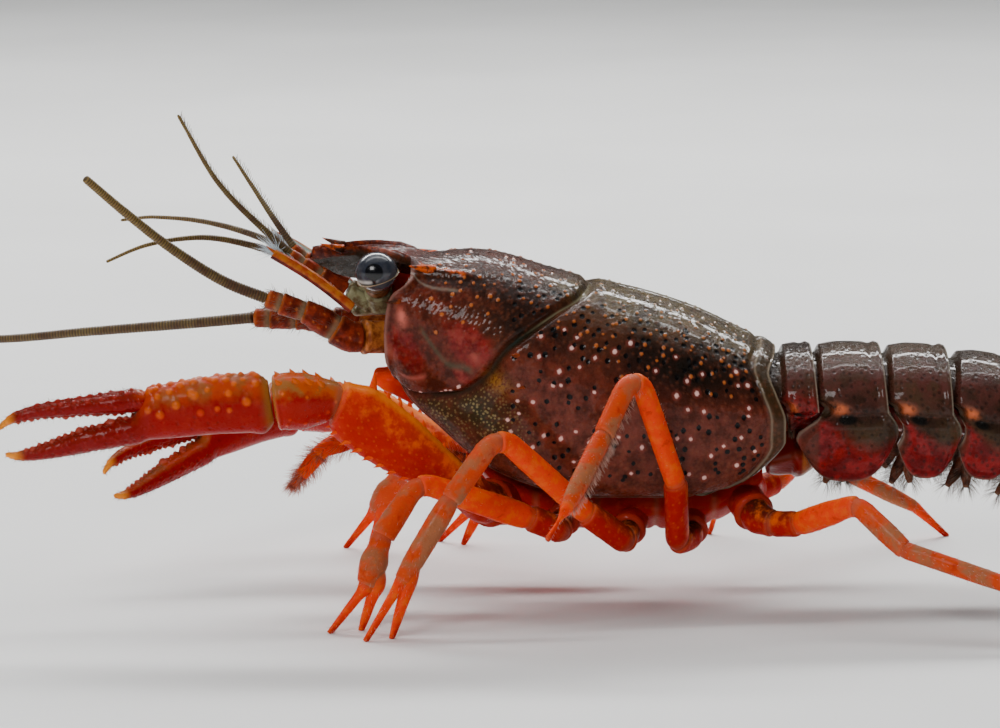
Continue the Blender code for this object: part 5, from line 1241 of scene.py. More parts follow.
def make_feelers():
    """Antennae and antennules: jointed bases and annulated whips. The left antenna is broken short."""
    tufts = []
    for number, (name, data) in enumerate(ANTENNAE.items()):
        inner, outer, _ = antenna_joint(name)
        way = unit(outer - inner)
        start, root = outer + way * GAP, np.array(data["root"])
        course = Course([start, start + way * 0.9, data["elbow"], root], 2.0, (0, 1, 0))
        body = Body(*LIMB_CHANNELS)
        full = 1 if name == "left" else 0.86
        halves = [(0, 1.42 * full), (0.2, 1.45 * full), (0.3, 1.25 * full), (0.42, 1.28 * full),
                  (0.55, 1.1 * full), (0.66, 0.95), (0.8, 0.98), (1, 0.8)]
        grids = joint_shares(body, course, (0, 0.27, 0.62, 0.86, 1), halves, 0.92,
                             (0.1, 0.02, 0.04, 0.08, 0.2), spot=(1.1, 0.05, 0.24, 300 + number))
        for grid in grids[1:]:
            tufts.append(comb(grid, ((0.0, 0.5),), 0.7, 0.02, 90, 310 + number, (0.1 * number, 0)))
        body.finish(f"feeler_base_{name}", peduncle_paint(), (f"antenna_base_{name}",), "orange_limb")
        halves, ring, sides, nodes = WHIPS[name]
        body = Body("band", "share")
        annulated(body, SmoothCourse([root, *data["whip"]]), halves, ring, sides, first=0.1)
        body.finish(f"whip_{name}", feeler_paint(), nodes, "olive_feeler")
    for number, (name, side) in enumerate(SIDES.items()):
        inner, outer, _ = antennule_joint(name)
        way = unit(outer - inner)
        corners = [outer + way * GAP, (-16.3, side * 2.0, 29.9), (-19.2, side * 2.0, 31.9)]
        course = Course(corners, 2, (0, 1, 0))
        stem = Body(*LIMB_CHANNELS)
        halves = [(0, 0.72), (0.4, 0.72), (0.46, 0.62), (0.52, 0.68), (0.72, 0.62), (0.78, 0.54), (0.84, 0.6),
                  (1, 0.5)]
        joint_shares(stem, course, (0, 0.45, 0.77, 1), halves, 0.95, (0.1, 0.05, 0.1, 0.15), sides=26)
        stem.finish(f"small_feeler_base_{name}", peduncle_paint(), (f"antennule_{name}",), "olive_feeler")
        body = Body("band", "share")
        for part, knots in enumerate(ANTENNULE_WHIPS[name]):
            whip = SmoothCourse(knots)
            rings = annulated(body, whip, (0.36, 0.13), 0.24, 10, per_ring=4)
            rows = np.arange(30, len(rings) - 4, 4 if part == 0 else 9)
            long = 0.6 if part == 0 else 0.3
            tufts.append(sprouts(rings, grid_normals(rings, True), rows, 2 + 3 * part, long, 0.045, 0.6,
                                 320 + number + part, (0.3 + 0.1 * (2 * number + part), 0), (0.09, 0.9)))
        body.finish(f"small_whips_{name}", feeler_paint(), (), "olive_feeler")
    bristles("feeler_bristles", "dark", tufts)
    make_scales()


SCALE_BLADE = ((0.0, 0.8), (0.15, 1.7), (0.35, 2.5), (0.6, 2.8), (0.82, 2.4), (0.95, 1.3), (1.0, 0.5))


def make_scales():
    """Antennal scales: a thick outer rib that ends in a spine, a thin inner blade, and its fringe."""
    tufts = []
    for number, (name, side) in enumerate(SIDES.items()):
        root, tip = np.array([-13.3, side * 5.9, 27.6]), np.array([-20.4, side * 5.9, 32.6])
        forward = unit(tip - root)
        inward = np.array([0, -side, -0.22])
        inward = unit(inward - (inward @ forward) * forward)
        normal = np.cross(forward, inward)
        normal = normal * np.sign(normal[2])
        rows, columns = 110, 46
        t = np.linspace(0, 1, rows)[:, None]
        blade = spline(t, SCALE_BLADE)
        reach = -0.5 + (blade + 0.5) * np.linspace(0, 1, columns)[None, :] ** 1.15
        flat = np.maximum(0.09, 0.30 * hump(reach, -0.05, 0.62) + 0.07)
        crown = 0.12 + 0.5 * hump(reach, 0.0, 0.42) + 0.05 * hump(reach, 1.1, 0.2)
        crown = crown * (1 - 0.35 * smoothstep(0.75, 1, t))
        bow = 0.25 * np.sin(math.pi * t) + 0.1 * (reach / 2.8) ** 2
        centre = root + (tip - root) * t[..., None] + reach[..., None] * inward
        top = centre + (bow + flat * crown + 0.12)[..., None] * normal
        low = centre + (bow - flat - 0.32 * hump(reach, 0.0, 0.55))[..., None] * normal
        body = Body("rib", "blade", "flank")
        above = {"rib": smoothstep(0.3, 0.05, reach), "blade": hump(reach, 0.42, 0.2), "flank": 0 * reach}
        under = {"rib": 0.7 * smoothstep(-0.40, -0.5, reach), "blade": 0 * reach,
                 "flank": 1 - smoothstep(0.3, 0.8, reach)}
        both = {key: np.concatenate([above[key].reshape(-1), under[key].reshape(-1)]) for key in above}
        body.add(closed_plate(top, low), **both)
        body.add(thorn(tip - 1.2 * forward, tip + 0.9 * forward, 0.42, sunk=0.6, sides=18), rib=1.0)
        body.finish(f"feeler_scale_{name}", scale_paint(), (f"antennal_scale_{name}",), "pale_membrane")
        rim_rows = np.random.default_rng(340 + number).integers(20, rows - 1, 900)
        tufts.append(sprouts(top, inward, rim_rows, columns - 1, 2.5, 0.026, 0.75, 341 + number,
                             (0.05 + 0.4 * number, 0.02), (0.3, 0.9)))
    bristles("scale_fringe", "blue", tufts)


# Chelipeds


def claw_frame(name):
    """Wrist point, and the claw's long, upward and sideways directions, all scaled by the claw's size."""
    arm = ARMS[name]
    wrist = np.array(arm["wrist"], float)
    along = unit(np.array(arm["point"]) - wrist)
    up = np.array(arm["up"], float)
    up = unit(up - (up @ along) * along)
    return wrist, along * arm["size"], up * arm["size"], np.cross(along, up) * arm["size"]


def claw_grid(hand, table, begin, end, rows, columns):
    """Rings of a claw part: ovals whose middle, half height and half thickness follow the table. The palm's
    ovals are a little squared. Angle 0 is its upper edge."""
    wrist, along, up, out = hand
    u = np.linspace(begin, end, rows)
    v, tall, thick = (spline(u, column(table, k)) for k in (1, 2, 3))
    turn = turns(columns)
    square = 0.9 + 0.1 * smoothstep(11, 13, u)[:, None]
    rise = np.sign(np.cos(turn)) * np.abs(np.cos(turn)) ** square
    aside = np.sign(np.sin(turn)) * np.abs(np.sin(turn)) ** square
    grid = (wrist + along * u[:, None, None] + up * (v[:, None] + tall[:, None] * rise)[..., None]
            + out * (thick[:, None] * aside)[..., None])
    return u, turn, grid


CLAW_CHANNELS = ("knob", "grain", "pit", "tip", "upper", "wrist", "tooth", "finger")


def edge_row(u, columns, places, turn_at, height, radius, seed, wobble=0.12):
    """Spots in a row along a claw part, at one angle with small shifts."""
    rng = np.random.default_rng(seed)
    made = []
    for place in places:
        row = np.interp(place, u, np.arange(len(u)))
        angle = turn_at + rng.normal(0, wobble)
        made.append((row, angle / (2 * math.pi) * columns, height * rng.uniform(0.75, 1.25),
                     radius * rng.uniform(0.8, 1.2)))
    return made


def claw_spots(u, turn, tall, spacing, seed, keep, height, radius):
    """Spots strewn over a claw part, kept where `keep` of its distance, angle and a random number is true."""
    rng = np.random.default_rng(seed)
    girth = 2 * math.pi * tall
    made = []
    for around, place in spread((0, u[0]), (girth, u[-1]), spacing, seed + 1):
        angle = around / girth * 2 * math.pi
        size = rng.uniform(0.75, 1.2)
        if keep(place, angle, rng.uniform()):
            row = np.interp(place, u, np.arange(len(u)))
            made.append((row, angle / (2 * math.pi) * len(turn), height * size, radius * size))
    return made


def claw_part(body, hand, table, begin, end, rows, columns, seed, palm):
    """Palm with its fixed finger, or the moving finger, with its knobs, fine granules, pits and teeth. The
    fingers of the right claw, seen from inside, are more orange."""
    near_share = 1.0 if hand[0][1] < 0 else 0.35
    u, turn, grid = claw_grid(hand, table, begin, end, rows, columns)
    knob_height = bpy.context.scene.crayfish.claw_knob_height / MM

    def row(places, *shape):
        return edge_row(u, columns, places, *shape)

    def strewn(*shape):
        return claw_spots(u, turn, *shape)

    if palm:
        large = strewn(2.3, 1.4, seed, lambda p, a, c: 1.0 < p < 11 and math.cos(a) > -0.25 and c < 0.92,
                       knob_height, 0.46)
        large += row(np.arange(1.4, 10.8, 1.05), 0.0, knob_height * 1.7, 0.45, seed + 3, 0.1)
        large += row(np.arange(13.0, 22.5, 1.1), math.pi * 0.72, knob_height * 0.5, 0.26, seed + 4)
        teeth = row(np.arange(12.5, 22.6, 0.62), 0.0, 0.2, 0.32, seed + 5, 0.1)
        teeth += row((14.6, 17.4), 0.0, 0.34, 0.5, seed + 6, 0.02)
        fine = strewn(1.6, 0.62, seed + 7, lambda p, a, c: c < 0.8 and (p > 11 or math.cos(a) > -0.5),
                      0.045, 0.19)
        holes = strewn(2.0, 0.95, seed + 8, lambda p, a, c: math.cos(a) < -0.1 and c < 0.7, -0.05, 0.2)
    else:
        large = row(np.arange(12.2, 21.5, 0.95), 0.0, knob_height, 0.34, seed + 3)
        large += row(np.arange(12.6, 20, 1.2), 0.75, knob_height * 0.55, 0.27, seed + 4)
        large += row(np.arange(12.6, 20, 1.2), -0.75, knob_height * 0.55, 0.27, seed + 9)
        teeth = row(np.arange(12.8, 22.8, 0.62), math.pi, 0.2, 0.3, seed + 5, 0.1)
        teeth += row((15.6, 18.4), math.pi, 0.32, 0.46, seed + 6, 0.02)
        fine = strewn(1.0, 0.62, seed + 7, lambda p, a, c: c < 0.85, 0.05, 0.19)
        holes = strewn(1.0, 1.1, seed + 8, lambda p, a, c: abs(math.sin(a)) > 0.5 and c < 0.4, -0.05, 0.2)
    fields = [spots(grid, part, True) for part in (large, teeth, fine, holes)]
    lift = np.max([fields[k][0] for k in range(3)], axis=0)
    masks = [f[1] for f in fields]
    pit = masks[3] * (1 - np.maximum(masks[0], masks[1])) ** 2
    lift = np.where((pit > 0.02) & (lift < 0.03), fields[3][0], lift)
    ridge = 0.1 * hump(np.sin(turn), 0, 0.2)[None, :] * smoothstep(12, 14, u)[:, None]
    grid = grid + grid_normals(grid, True) * (lift + ridge)[..., None]
    finger = near_share * (smoothstep(9.8, 13, u) if palm else smoothstep(11, 12.5, u))
    body.tube(grid, knob=masks[0], tooth=masks[1], grain=masks[2], pit=pit, upper=0.5 + 0.5 * np.cos(turn),
              wrist=palm * hump(u - begin, 0.15, 0.45)[:, None], finger=finger[:, None],
              tip=smoothstep(end - 1.9, end - 0.5, u)[:, None])
    return grid


def make_chelipeds():
    """The two large claws and the joints that carry them, with their spines, knobs and short bristles."""
    tufts = []
    for number, (name, side) in enumerate(SIDES.items()):
        arm = ARMS[name]
        hip_start, hip_end = hip_line(1, side)
        way = unit(hip_end - hip_start)
        hand = claw_frame(name)
        wrist, along = hand[0], unit(hand[1])
        start = hip_end + way * GAP
        corners = [start, start + way, arm["isch"], arm["elbow"], wrist - along * 1.2, wrist]
        course = Course(corners, ARM_BENDS, ARM_ACROSS, anchor=0.6)
        isch, elbow, stop = course.marks[2] + 0.9, course.marks[3], course.length
        tufts.append(make_arm(name, side, course, isch, elbow, stop, number))
        body = Body(*CLAW_CHANNELS)
        grid = claw_part(body, hand, PALM, 0.15, PALM[-1][0], 330, 112, 500 + 40 * number, True)
        body.finish(f"palm_{name}", claw_paint(), (f"cheliped_{name}_palm",), "red_claw")
        finger = Body(*CLAW_CHANNELS)
        moving = claw_part(finger, hand, MOVING_FINGER, MOVING_FINGER[0][0], MOVING_FINGER[-1][0], 210, 76,
                           520 + 40 * number, False)
        finger.finish(f"finger_{name}", claw_paint(), (f"cheliped_{name}_finger",), "red_claw")
        tufts.append(comb(grid[150:], ((0.0, 0.12), (0.5, 0.12)), 0.42, 0.014, 420, 540 + number,
                          (0.2 * number, 0)))
        tufts.append(comb(moving, ((0.0, 0.14), (0.5, 0.1)), 0.42, 0.014, 420, 550 + number,
                          (0.2 * number + 0.1, 0)))
    bristles("claw_bristles", "dark", tufts)


def skin_root(course, place, halves, depth, lean=0.0, up=1):
    """Where a thorn stands on a limb's upper side (up 1) or lower side (up -1): its root at a share of the
    half thickness, its way out with a sideways lean, and the limb's direction there."""
    centre, forward, narrow, wide = (v[0] for v in course.at(np.array([place])))
    out = unit(up * np.sign(wide[2]) * wide + lean * narrow)
    return centre + out * depth * float(spline(place, halves)), out, forward


def make_arm(name, side, course, isch, elbow, stop, number):
    """The three joints between a claw and the body. Returns their bristles."""
    body = Body(*LIMB_CHANNELS)
    limb_piece(body, course, 0.0, isch, [(0, 2.0), (0.5 * isch, 1.85), (isch, 1.75)], 0.9, tone=(0.12, 0.2),
               sides=60, spot=(1.3, 0.06, 0.25, 400 + number))
    body.finish(f"arm_root_{name}", limb_paint(), (f"cheliped_{name}_ischium",), "orange_limb")
    make_upper_arm(name, course, isch, elbow, number)
    return make_wrist(name, side, course, elbow, stop, number)


def make_upper_arm(name, course, isch, elbow, number):
    """The long joint of a claw's arm, with one row of spines along its top and two along its underside."""
    step = (elbow - isch) / 10
    broad = {"left": 2.9, "right": 2.4}[name]
    halves = [(isch, 1.7), (isch + 2 * step, 2.1), (isch + 5 * step, 0.95 * broad),
              (elbow - 1.6 * step, broad), (elbow - 0.6 * step, 2.3), (elbow, 1.75)]
    flat = [(isch, 0.85), (isch + 4 * step, 0.7), (elbow - step, 0.74), (elbow, 0.95)]
    body = Body(*LIMB_CHANNELS)
    limb_piece(body, course, isch, elbow, halves, flat, tone=(0.33, 0.40), sides=84, step=0.11,
               spot=(0.8, 0.045, 0.2, 410 + number), rim=1.0)
    for share, reach in ((0.86, 1.35), (0.74, 0.5), (0.64, 0.62), (0.54, 0.42), (0.44, 0.5), (0.34, 0.36),
                         (0.24, 0.36)):
        root, out, forward = skin_root(course, isch + share * (elbow - isch), halves, 0.97)
        body.add(thorn(root, root + out * reach + forward * 0.5 * reach, 0.34 + 0.1 * reach, sunk=0.4,
                       curl=forward * 0.15 * reach), knob=1.0, tone=0.55)
    for share in np.linspace(0.16, 0.9, 9):
        for lean in (-0.4, 0.4):
            root, out, forward = skin_root(course, isch + share * (elbow - isch), halves, 0.93, lean, up=-1)
            body.add(thorn(root, root + out * 0.55 + forward * 0.4, 0.3, sunk=0.4), knob=0.9, tone=0.5)
    body.finish(f"upper_arm_{name}", limb_paint(), (f"cheliped_{name}_merus",), "orange_limb")


def make_wrist(name, side, course, elbow, stop, number):
    """The joint behind a claw, with low spines above and a large one on its inner side. Returns its
    bristles."""
    rest = stop - elbow
    halves = [(elbow, 1.65), (elbow + 0.3 * rest, 2.25), (elbow + 0.6 * rest, 2.6),
              (elbow + 0.85 * rest, 2.55), (stop, 2.2)]
    body = Body(*CLAW_CHANNELS, "tone", "joint", "edge")
    grid = limb_piece(body, course, elbow, stop - 0.1, halves, 0.82, tone=(0.3, 0.4), sides=84, step=0.1,
                      spot=(1.7, 0.08, 0.27, 430 + number))
    for share in (0.3, 0.5, 0.7, 0.86):
        for lean in (-0.5, 0.1):
            root, out, forward = skin_root(course, elbow + share * rest, halves, 0.96, lean)
            body.add(thorn(root, root + out * 0.45 + forward * 0.25, 0.42, sunk=0.35), knob=1.0, upper=0.9)
    point, forward, narrow, _ = (v[0] for v in course.at(np.array([elbow + 0.62 * rest])))
    inward = narrow * -side * np.sign(narrow[1])
    body.add(thorn(point + inward * 1.9, point + inward * 2.9 + forward * 1.3, 0.6, sunk=0.7), knob=1.0)
    body.finish(f"wrist_{name}", wrist_paint(), (f"cheliped_{name}_carpus",), "red_claw")
    return comb(grid, ((0.25, 0.25), (0.75, 0.2)), 0.4, 0.014, 80, 440 + number, (0.6 + 0.2 * number, 0))


# Walking legs


def make_legs():
    """Eight walking legs, each a chain of joints, and their bristles. The first two pairs end in pincers."""
    tufts = {-1.0: [], 1.0: []}
    for (number, name), joints in LEGS.items():
        side = SIDES[name]
        mirror = np.array([1, side, 1])
        turn, isch, knee, wrist, hand = (np.array(joints[k]) * mirror
                                         for k in ("turn", "isch", "knee", "wrist", "hand"))
        tips = [np.array(tip, float) * mirror for tip in joints["tips"]]
        hip_start, hip_end = hip_line(number, side)
        way = unit(hip_end - hip_start)
        start = hip_end + way * GAP
        across = unit(np.cross(knee - isch, wrist - knee))
        corners = [start, start + way * 0.5, turn, isch, knee, wrist, hand, tips[0]]
        course = Course(corners, LEG_BENDS, across, count=600)
        tufts[side] += make_leg(number, name, course, hand, wrist, tips, across)
    for name, side in SIDES.items():
        bristles(f"leg_bristles_{name}", "pale", tufts[side])


def make_leg(number, name, course, hand, wrist, tips, across):
    """One walking leg as one piece. Returns its bristles."""
    _, _, turn, isch, knee, elbow, palm, end = course.marks
    hip_half = 1.65 if number == 5 else 1.3
    broad, wrist_half, long_half = LEG_HALVES[number]
    upper = [(0, hip_half), (0.6 * isch, 1.2), (isch - 0.7, 1.2), (isch, 1.05),
             (isch + 0.8, 0.98 * long_half), ((isch + knee) / 2, long_half), (knee - 1.6, 1.0), (knee, 0.93)]
    lower = [(knee, 0.93), (knee + 1.6, 1.0), (elbow - 0.8, wrist_half), (elbow, 0.9 * wrist_half),
             (elbow + 0.9, min(1.0, broad)), ((elbow + palm) / 2, broad), (palm - 0.6, 0.8 * broad),
             (palm + 0.7, 0.55), (0.92 * end, 0.4), (end, FOOT)]
    seed = 700 + 20 * number + (1 if name == "left" else 2)
    body = Body(*LIMB_CHANNELS)
    grids = []
    joints = ((0, turn, upper, (0.06, 0.12), 0.04, 0.15), (turn, isch, upper, (0.16, 0.3), 0.07, 0.15),
              (isch, knee, upper, (0.5, 0.62), 0.06, 0.6), (knee, elbow, lower, (0.68, 0.78), 0.06, 0.15),
              (elbow, palm, lower, (0.8, 0.74), 0.03, 0.15))
    for k, (place, after, table, tone, lip, rim) in enumerate(joints):
        grids.append(limb_piece(body, course, place, after, table, 0.86, tone=tone, sides=34, lip=lip,
                                spot=(0.9, 0.035, 0.2, seed + k), rim=rim))
    grids.append(limb_piece(body, course, palm - 0.2, end, lower, 0.85, tone=(0.62, 0.4), sides=26, lip=0,
                            blunt=False, rim=0.4))
    if len(tips) == 2:
        root = hand + unit(wrist - hand) * 1.9
        pincer = Course([root, hand + 0.3 * (tips[1] - tips[0]), tips[1]], 1.5, across)
        long = pincer.length
        halves = [(0, 0.8 * broad), (0.26 * long, 0.76 * broad), (0.45 * long, 0.62), (0.8 * long, 0.42),
                  (long, FOOT)]
        grids.append(limb_piece(body, pincer, 0, long, halves, 0.85, tone=(0.74, 0.4), sides=24, lip=0,
                                blunt=False, rim=0.4))
    nodes = (f"leg_{number}_{name}_upper", f"leg_{number}_{name}_lower")
    body.finish(f"leg_{number}_{name}", limb_paint(), nodes, "orange_limb")
    tile = (0.2 * (number - 2), 0.0)
    tufts = []
    for k, grid in enumerate(grids[2:]):
        count = int(len(grid) * (1.5 if number in (4, 5) else 1.1) * (1.6 if k >= 2 else 0.7))
        tufts.append(comb(grid, ((0.0, 0.5),), 0.38, 0.013, count, seed + 7 + k, tile, lean=0.8,
                          size=(0.18, 0.9)))
    if number == 4:
        for k, grid in ((3, grids[3]), (4, grids[4])):
            tufts.append(comb(grid, ((0.5, 0.14),), 0.85, 0.018, 520 if k == 4 else 120, seed + 15 + k, tile,
                              lean=0.5, size=(0.18, 0.9)))
    return tufts


# Tail


def ring_frames():
    """Front pivot (x, z) and downward tilt of each tail ring, and of the fan behind the last."""
    x, z = TAIL_START
    frames = []
    for length, tilt in zip(RING_LENGTHS, RING_TILTS):
        frames.append((x, z, math.radians(tilt)))
        x += length * math.cos(math.radians(tilt))
        z -= length * math.sin(math.radians(tilt))
    frames.append((x, z, math.radians(RING_TILTS[-1] + 5)))
    return frames


def into_frame(points, pivot):
    """Points given from a ring's front pivot, moved to where that ring sits."""
    x, z, tilt = pivot
    made = np.array(points, float)
    px, pz = made[..., 0].copy(), made[..., 2].copy()
    made[..., 0] = x + px * math.cos(tilt) + pz * math.sin(tilt)
    made[..., 2] = z - px * math.sin(tilt) + pz * math.cos(tilt)
    return made


def flap_rear(number, down):
    """How far a flap's rear edge reaches behind its ring, from its root (down 0) to its lower end (1)."""
    bulge = RING_FLAP_BULGES[number - 1]
    return spline(down, [(0, REAR_LIP), (0.3, REAR_LIP + 0.8 * bulge), (0.6, REAR_LIP + bulge),
                         (1, REAR_LIP + 0.5 * bulge)])


def ring_edges(number, share):
    """Front and rear edge of a ring, at a share of the way from the back's midline to the flap's low end."""
    length = RING_LENGTHS[number - 1]
    down = np.clip((np.abs(share) - ARCH_SHARE) / (1 - ARCH_SHARE), 0, 1)
    back = np.clip(np.abs(share) / ARCH_SHARE, 0, 1)
    fade = smoothstep(*NECK_FADE, back)
    neck = -NECK_REACH * (1 - fade)
    if number == 1:
        front = np.where(down > 0, 0.75 + 0.15 * down, 0.75 * fade + neck)
        return front, length + REAR_LIP * back**2 - 2.3 * down
    rear = np.where(down > 0, length + flap_rear(number, down), length + REAR_LIP * back**2)
    start = REAR_LIP + FLAP_GAP
    if number == 2:
        front_flap = spline(down, [(0, start), (0.1, 0.6), (0.2, 0.25), (0.4, -0.65), (0.6, -1.45),
                                   (0.8, -1.6), (1, -1.2)])
    else:
        front_flap = flap_rear(number - 1, down) + FLAP_GAP
    return np.where(down > 0, front_flap, start * fade + neck), rear


def ring_surface(number, share, t):
    """Outer surface of one tail ring from its pivot: an arch with a stepped-in front, and hanging flaps whose
    lower edge is rounded and whose rim is raised. Returns the points and the markings."""
    half, arch = RING_HALF_WIDTHS[number - 1], RING_ARCH[number - 1]
    front, rear = ring_edges(number, share)
    x = front + (rear - front) * t
    angle = np.clip(np.abs(share) / ARCH_SHARE, 0, 1) * math.pi / 2
    down = np.clip((np.abs(share) - ARCH_SHARE) / (1 - ARCH_SHARE), 0, 1)
    inward = x - np.maximum(front, 0)
    step = NECK_STEPS[0] * (1 - smoothstep(0.35, 0.9, inward))
    step = (step + NECK_STEPS[1] * (1 - smoothstep(0.5, 2.6, inward))) * (1 - smoothstep(0.0, 0.25, down))
    swell = 0.12 * np.sin(np.clip(x / RING_LENGTHS[number - 1], 0, 1) * math.pi)
    left = (rear - front) * (1 - t)
    edge = np.minimum(left, np.where(down > 0.12, (rear - front) * t, 9))
    edge = np.minimum(edge, np.where(down > 0, (1 - down) * RING_FLAP_DROPS[number - 1], 9))
    swell = swell + 0.1 * hump(left, 0.35, 0.22) - 0.1 * hump(left, 0.95, 0.3)
    swell = swell + smoothstep(0.1, 0.3, down) * (0.12 * hump(edge, 0.3, 0.25) - 0.1 * hump(edge, 0.85, 0.3))
    swell = swell - 0.22 * hump(down, 0.05, 0.05) * smoothstep(0.06, 0.2, t) + 0.2 * hump(down, 0.22, 0.1)
    drop = RING_FLAP_DROPS[number - 1] * (1 - 0.5 * np.abs(2 * t - 1) ** 3)
    y = (half - step + swell) * np.sin(angle) ** 0.9 * np.where(down > 0, 1 - 0.1 * down**2, 1)
    z = (arch - step + swell) * np.clip(np.cos(angle), 0, 1) ** 0.9 - drop * down
    below = (np.abs(share) - ARCH_SHARE) / (1 - ARCH_SHARE)
    crescent = smoothstep(0.45, 0.8, down + 0.6 * (1 - t) ** 1.5) * smoothstep(0.05, 0.22, down)
    values = {"line": np.where(down > 0.08, 0.7 * hump(edge, 0.05, 0.07), hump(left, 0.07, 0.055)),
              "flap": crescent if number > 1 else smoothstep(-0.5, 0.1, below) + 0 * t,
              "blotch": hump(below, -0.05, 0.075) * hump(t, 0.24, 0.11),
              "black": hump(below, 0.10, 0.08) * hump(t, 0.38, 0.17),
              "neck": 1 - smoothstep(0.2, 0.7, inward),
              "side": hump(below, -0.5, 0.5)}
    return np.stack([x, np.sign(share) * y, z], -1), values


PLATE_CHANNELS = ("line", "flap", "blotch", "black", "neck", "side", "pit")


def make_tail():
    """Six overlapping tail rings, the soft underside, and the small paddle limbs below."""
    frames = ring_frames()
    finish = tail_paint()
    rows, columns, skip = 84, 241, 10
    share = np.linspace(-1, 1, columns)[None, :] + np.zeros((rows, 1))
    t = np.linspace(0, 1, rows)[:, None] + 0 * share
    tufts, paddles = [], []
    for number in range(1, 7):
        outer, values = ring_surface(number, share, t)
        marks = [(v / RING_SPAN * (rows - 1), (u / RING_GIRTH + 0.5) * (columns - 1), -0.05, 0.2)
                 for u, v in spread((-RING_GIRTH / 2, 0.7), (RING_GIRTH / 2, 5.6), 0.85, 800 + number)]
        depth, pit = spots(outer, marks)
        outer = outer + grid_normals(outer) * depth[..., None]
        half = RING_HALF_WIDTHS[number - 1]
        back = np.clip(np.abs(share) / ARCH_SHARE, 0, 1)
        down = np.abs(share) > ARCH_SHARE
        inner = outer * (1, 1 - RING_WALL / half, 1)
        inner[..., 2] -= np.where(down, 0, RING_WALL * np.cos(back * math.pi / 2))
        body = Body(*PLATE_CHANNELS)
        placed_outer = into_frame(outer, frames[number - 1])
        body.add(closed_plate(placed_outer, into_frame(inner, frames[number - 1])[:, ::skip], skip),
                 **plate_values({**values, "pit": pit}, skip))
        body.finish(f"tail_plate_{number}", finish, (f"tail_segment_{number}",), "brown_shell")
        rng = np.random.default_rng(820 + number)
        for side in (0, 1):
            at = rng.integers(2, rows - 3, 90)
            way = into_frame(np.array([0, (side - 0.5) * 0.5, -1.0]), (0, 0, frames[number - 1][2]))
            tufts.append(sprouts(placed_outer, way, at, side * (columns - 1), 0.7, 0.013, 0.35, 830 + number,
                                 (0.15 * number, 0.5 * side), (0.1, 0.4)))
        if number in (2, 3, 4, 5):
            for side in SIDES.values():
                paddles.append((number, side))
    make_swimmerets(paddles, frames, tufts)
    bristles("tail_bristles", "dark", tufts)
    make_tail_root()
    make_tail_underside(frames)


def make_swimmerets(paddles, frames, tufts):
    """Small paddle limbs under the tail rings: a stem and two fringed blades each."""
    body = Body(*LIMB_CHANNELS)
    for count, (number, side) in enumerate(paddles):
        pivot = frames[number - 1]
        root = np.array([2.8, side * 3.8, -RING_BELLY + 0.7])
        knee = np.array([2.5, side * 4.3, -RING_BELLY - 1.6])
        outer, inner = knee + (-1.3, -side * 0.3, -3.2), knee + (0.4, side * 0.2, -3.0)
        blades = (([root, knee, outer], [(0, 0.65), (0.4, 0.5), (0.7, 0.58), (1, 0.25)]),
                  ([knee + (0, 0, 0.2), (knee + inner) / 2, inner], [(0, 0.4), (0.6, 0.52), (1, 0.25)]))
        for part, (corners, halves) in enumerate(blades):
            course = Course(list(into_frame(corners, pivot)), 0.8, (0, 1, 0))
            table = [(share * course.length, half) for share, half in halves]
            grid = limb_piece(body, course, 0, course.length, table, 0.55, tone=(0.15, 0.3), sides=20, lip=0)
            tufts.append(comb(grid[len(grid) // 3:], ((0.0, 0.1), (0.5, 0.1)), 1.5, 0.014, 200, 860 + count,
                              (0.1 * count, 0.4 * part), size=(0.09, 0.4)))
    body.finish("swimmerets", paddle_paint(), (), "orange_limb")


# Soft skin below the first ring, as stations of x, lowest, highest and half width
TAIL_ROOT = [(24.2, 11.6, 15.6, 4.8), (25.6, 11.2, 16.6, 5.2), (26.6, 11.2, 16.9, 5.5),
             (27.2, 11.0, 15.6, 5.8), (28.4, 11.8, 15.4, 5.6), (29.3, 12.8, 15.2, 5.0)]


def make_tail_root():
    """The folded skin that closes the body between the shell's rear edge and the second tail ring."""
    rings = oval_stack(TAIL_ROOT, rows=60, sides=72)
    pleat = np.sin(rings[..., 2] * 3.1 - rings[..., 0] * 1.1 + np.sin(rings[..., 1]))
    rings = rings + grid_normals(rings, True) * (0.09 * pleat)[..., None]
    body = Body("fold", "warm")
    body.tube(rings, fold=0.5 + 0.5 * pleat, warm=smoothstep(27.0, 28.2, rings[..., 0]))
    body.finish("tail_root_skin", membrane_paint(), ("tail_root",), "pale_membrane")


def make_tail_underside(frames):
    """The soft underside as one tube through the rings, with a raised bar across each ring."""
    stations, rings, folds = 22, [], []
    turn = turns(56)
    for number in range(1, 7):
        length = RING_LENGTHS[number - 1]
        half, arch = RING_HALF_WIDTHS[number - 1], RING_ARCH[number - 1]
        t = np.linspace(0.06, 0.94, stations)[:, None]
        low = 0.5 - 0.5 * np.sin(turn)[None, :]
        wide = half - 1.9 + 1.0 * low
        y = wide * np.cos(turn)
        bar = hump(t, 0.3, 0.16)
        belly = RING_BELLY * (1 if number < 6 else 0.7) + 0.3 * bar
        z = np.where(np.sin(turn) > 0, (arch - 2.0) * np.sin(turn), belly * np.sign(np.sin(turn))
                     * np.abs(np.sin(turn)) ** 0.6)
        points = np.stack([length * t + 0 * z, y + 0 * z, z + 0 * t], -1)
        rings.append(into_frame(points, frames[number - 1]))
        folds.append(0.3 + 0.7 * bar + 0 * z)
    body = Body("fold")
    body.tube(np.concatenate(rings), fold=np.concatenate(folds))
    body.finish("tail_underside", membrane_paint(), (), "pale_membrane")


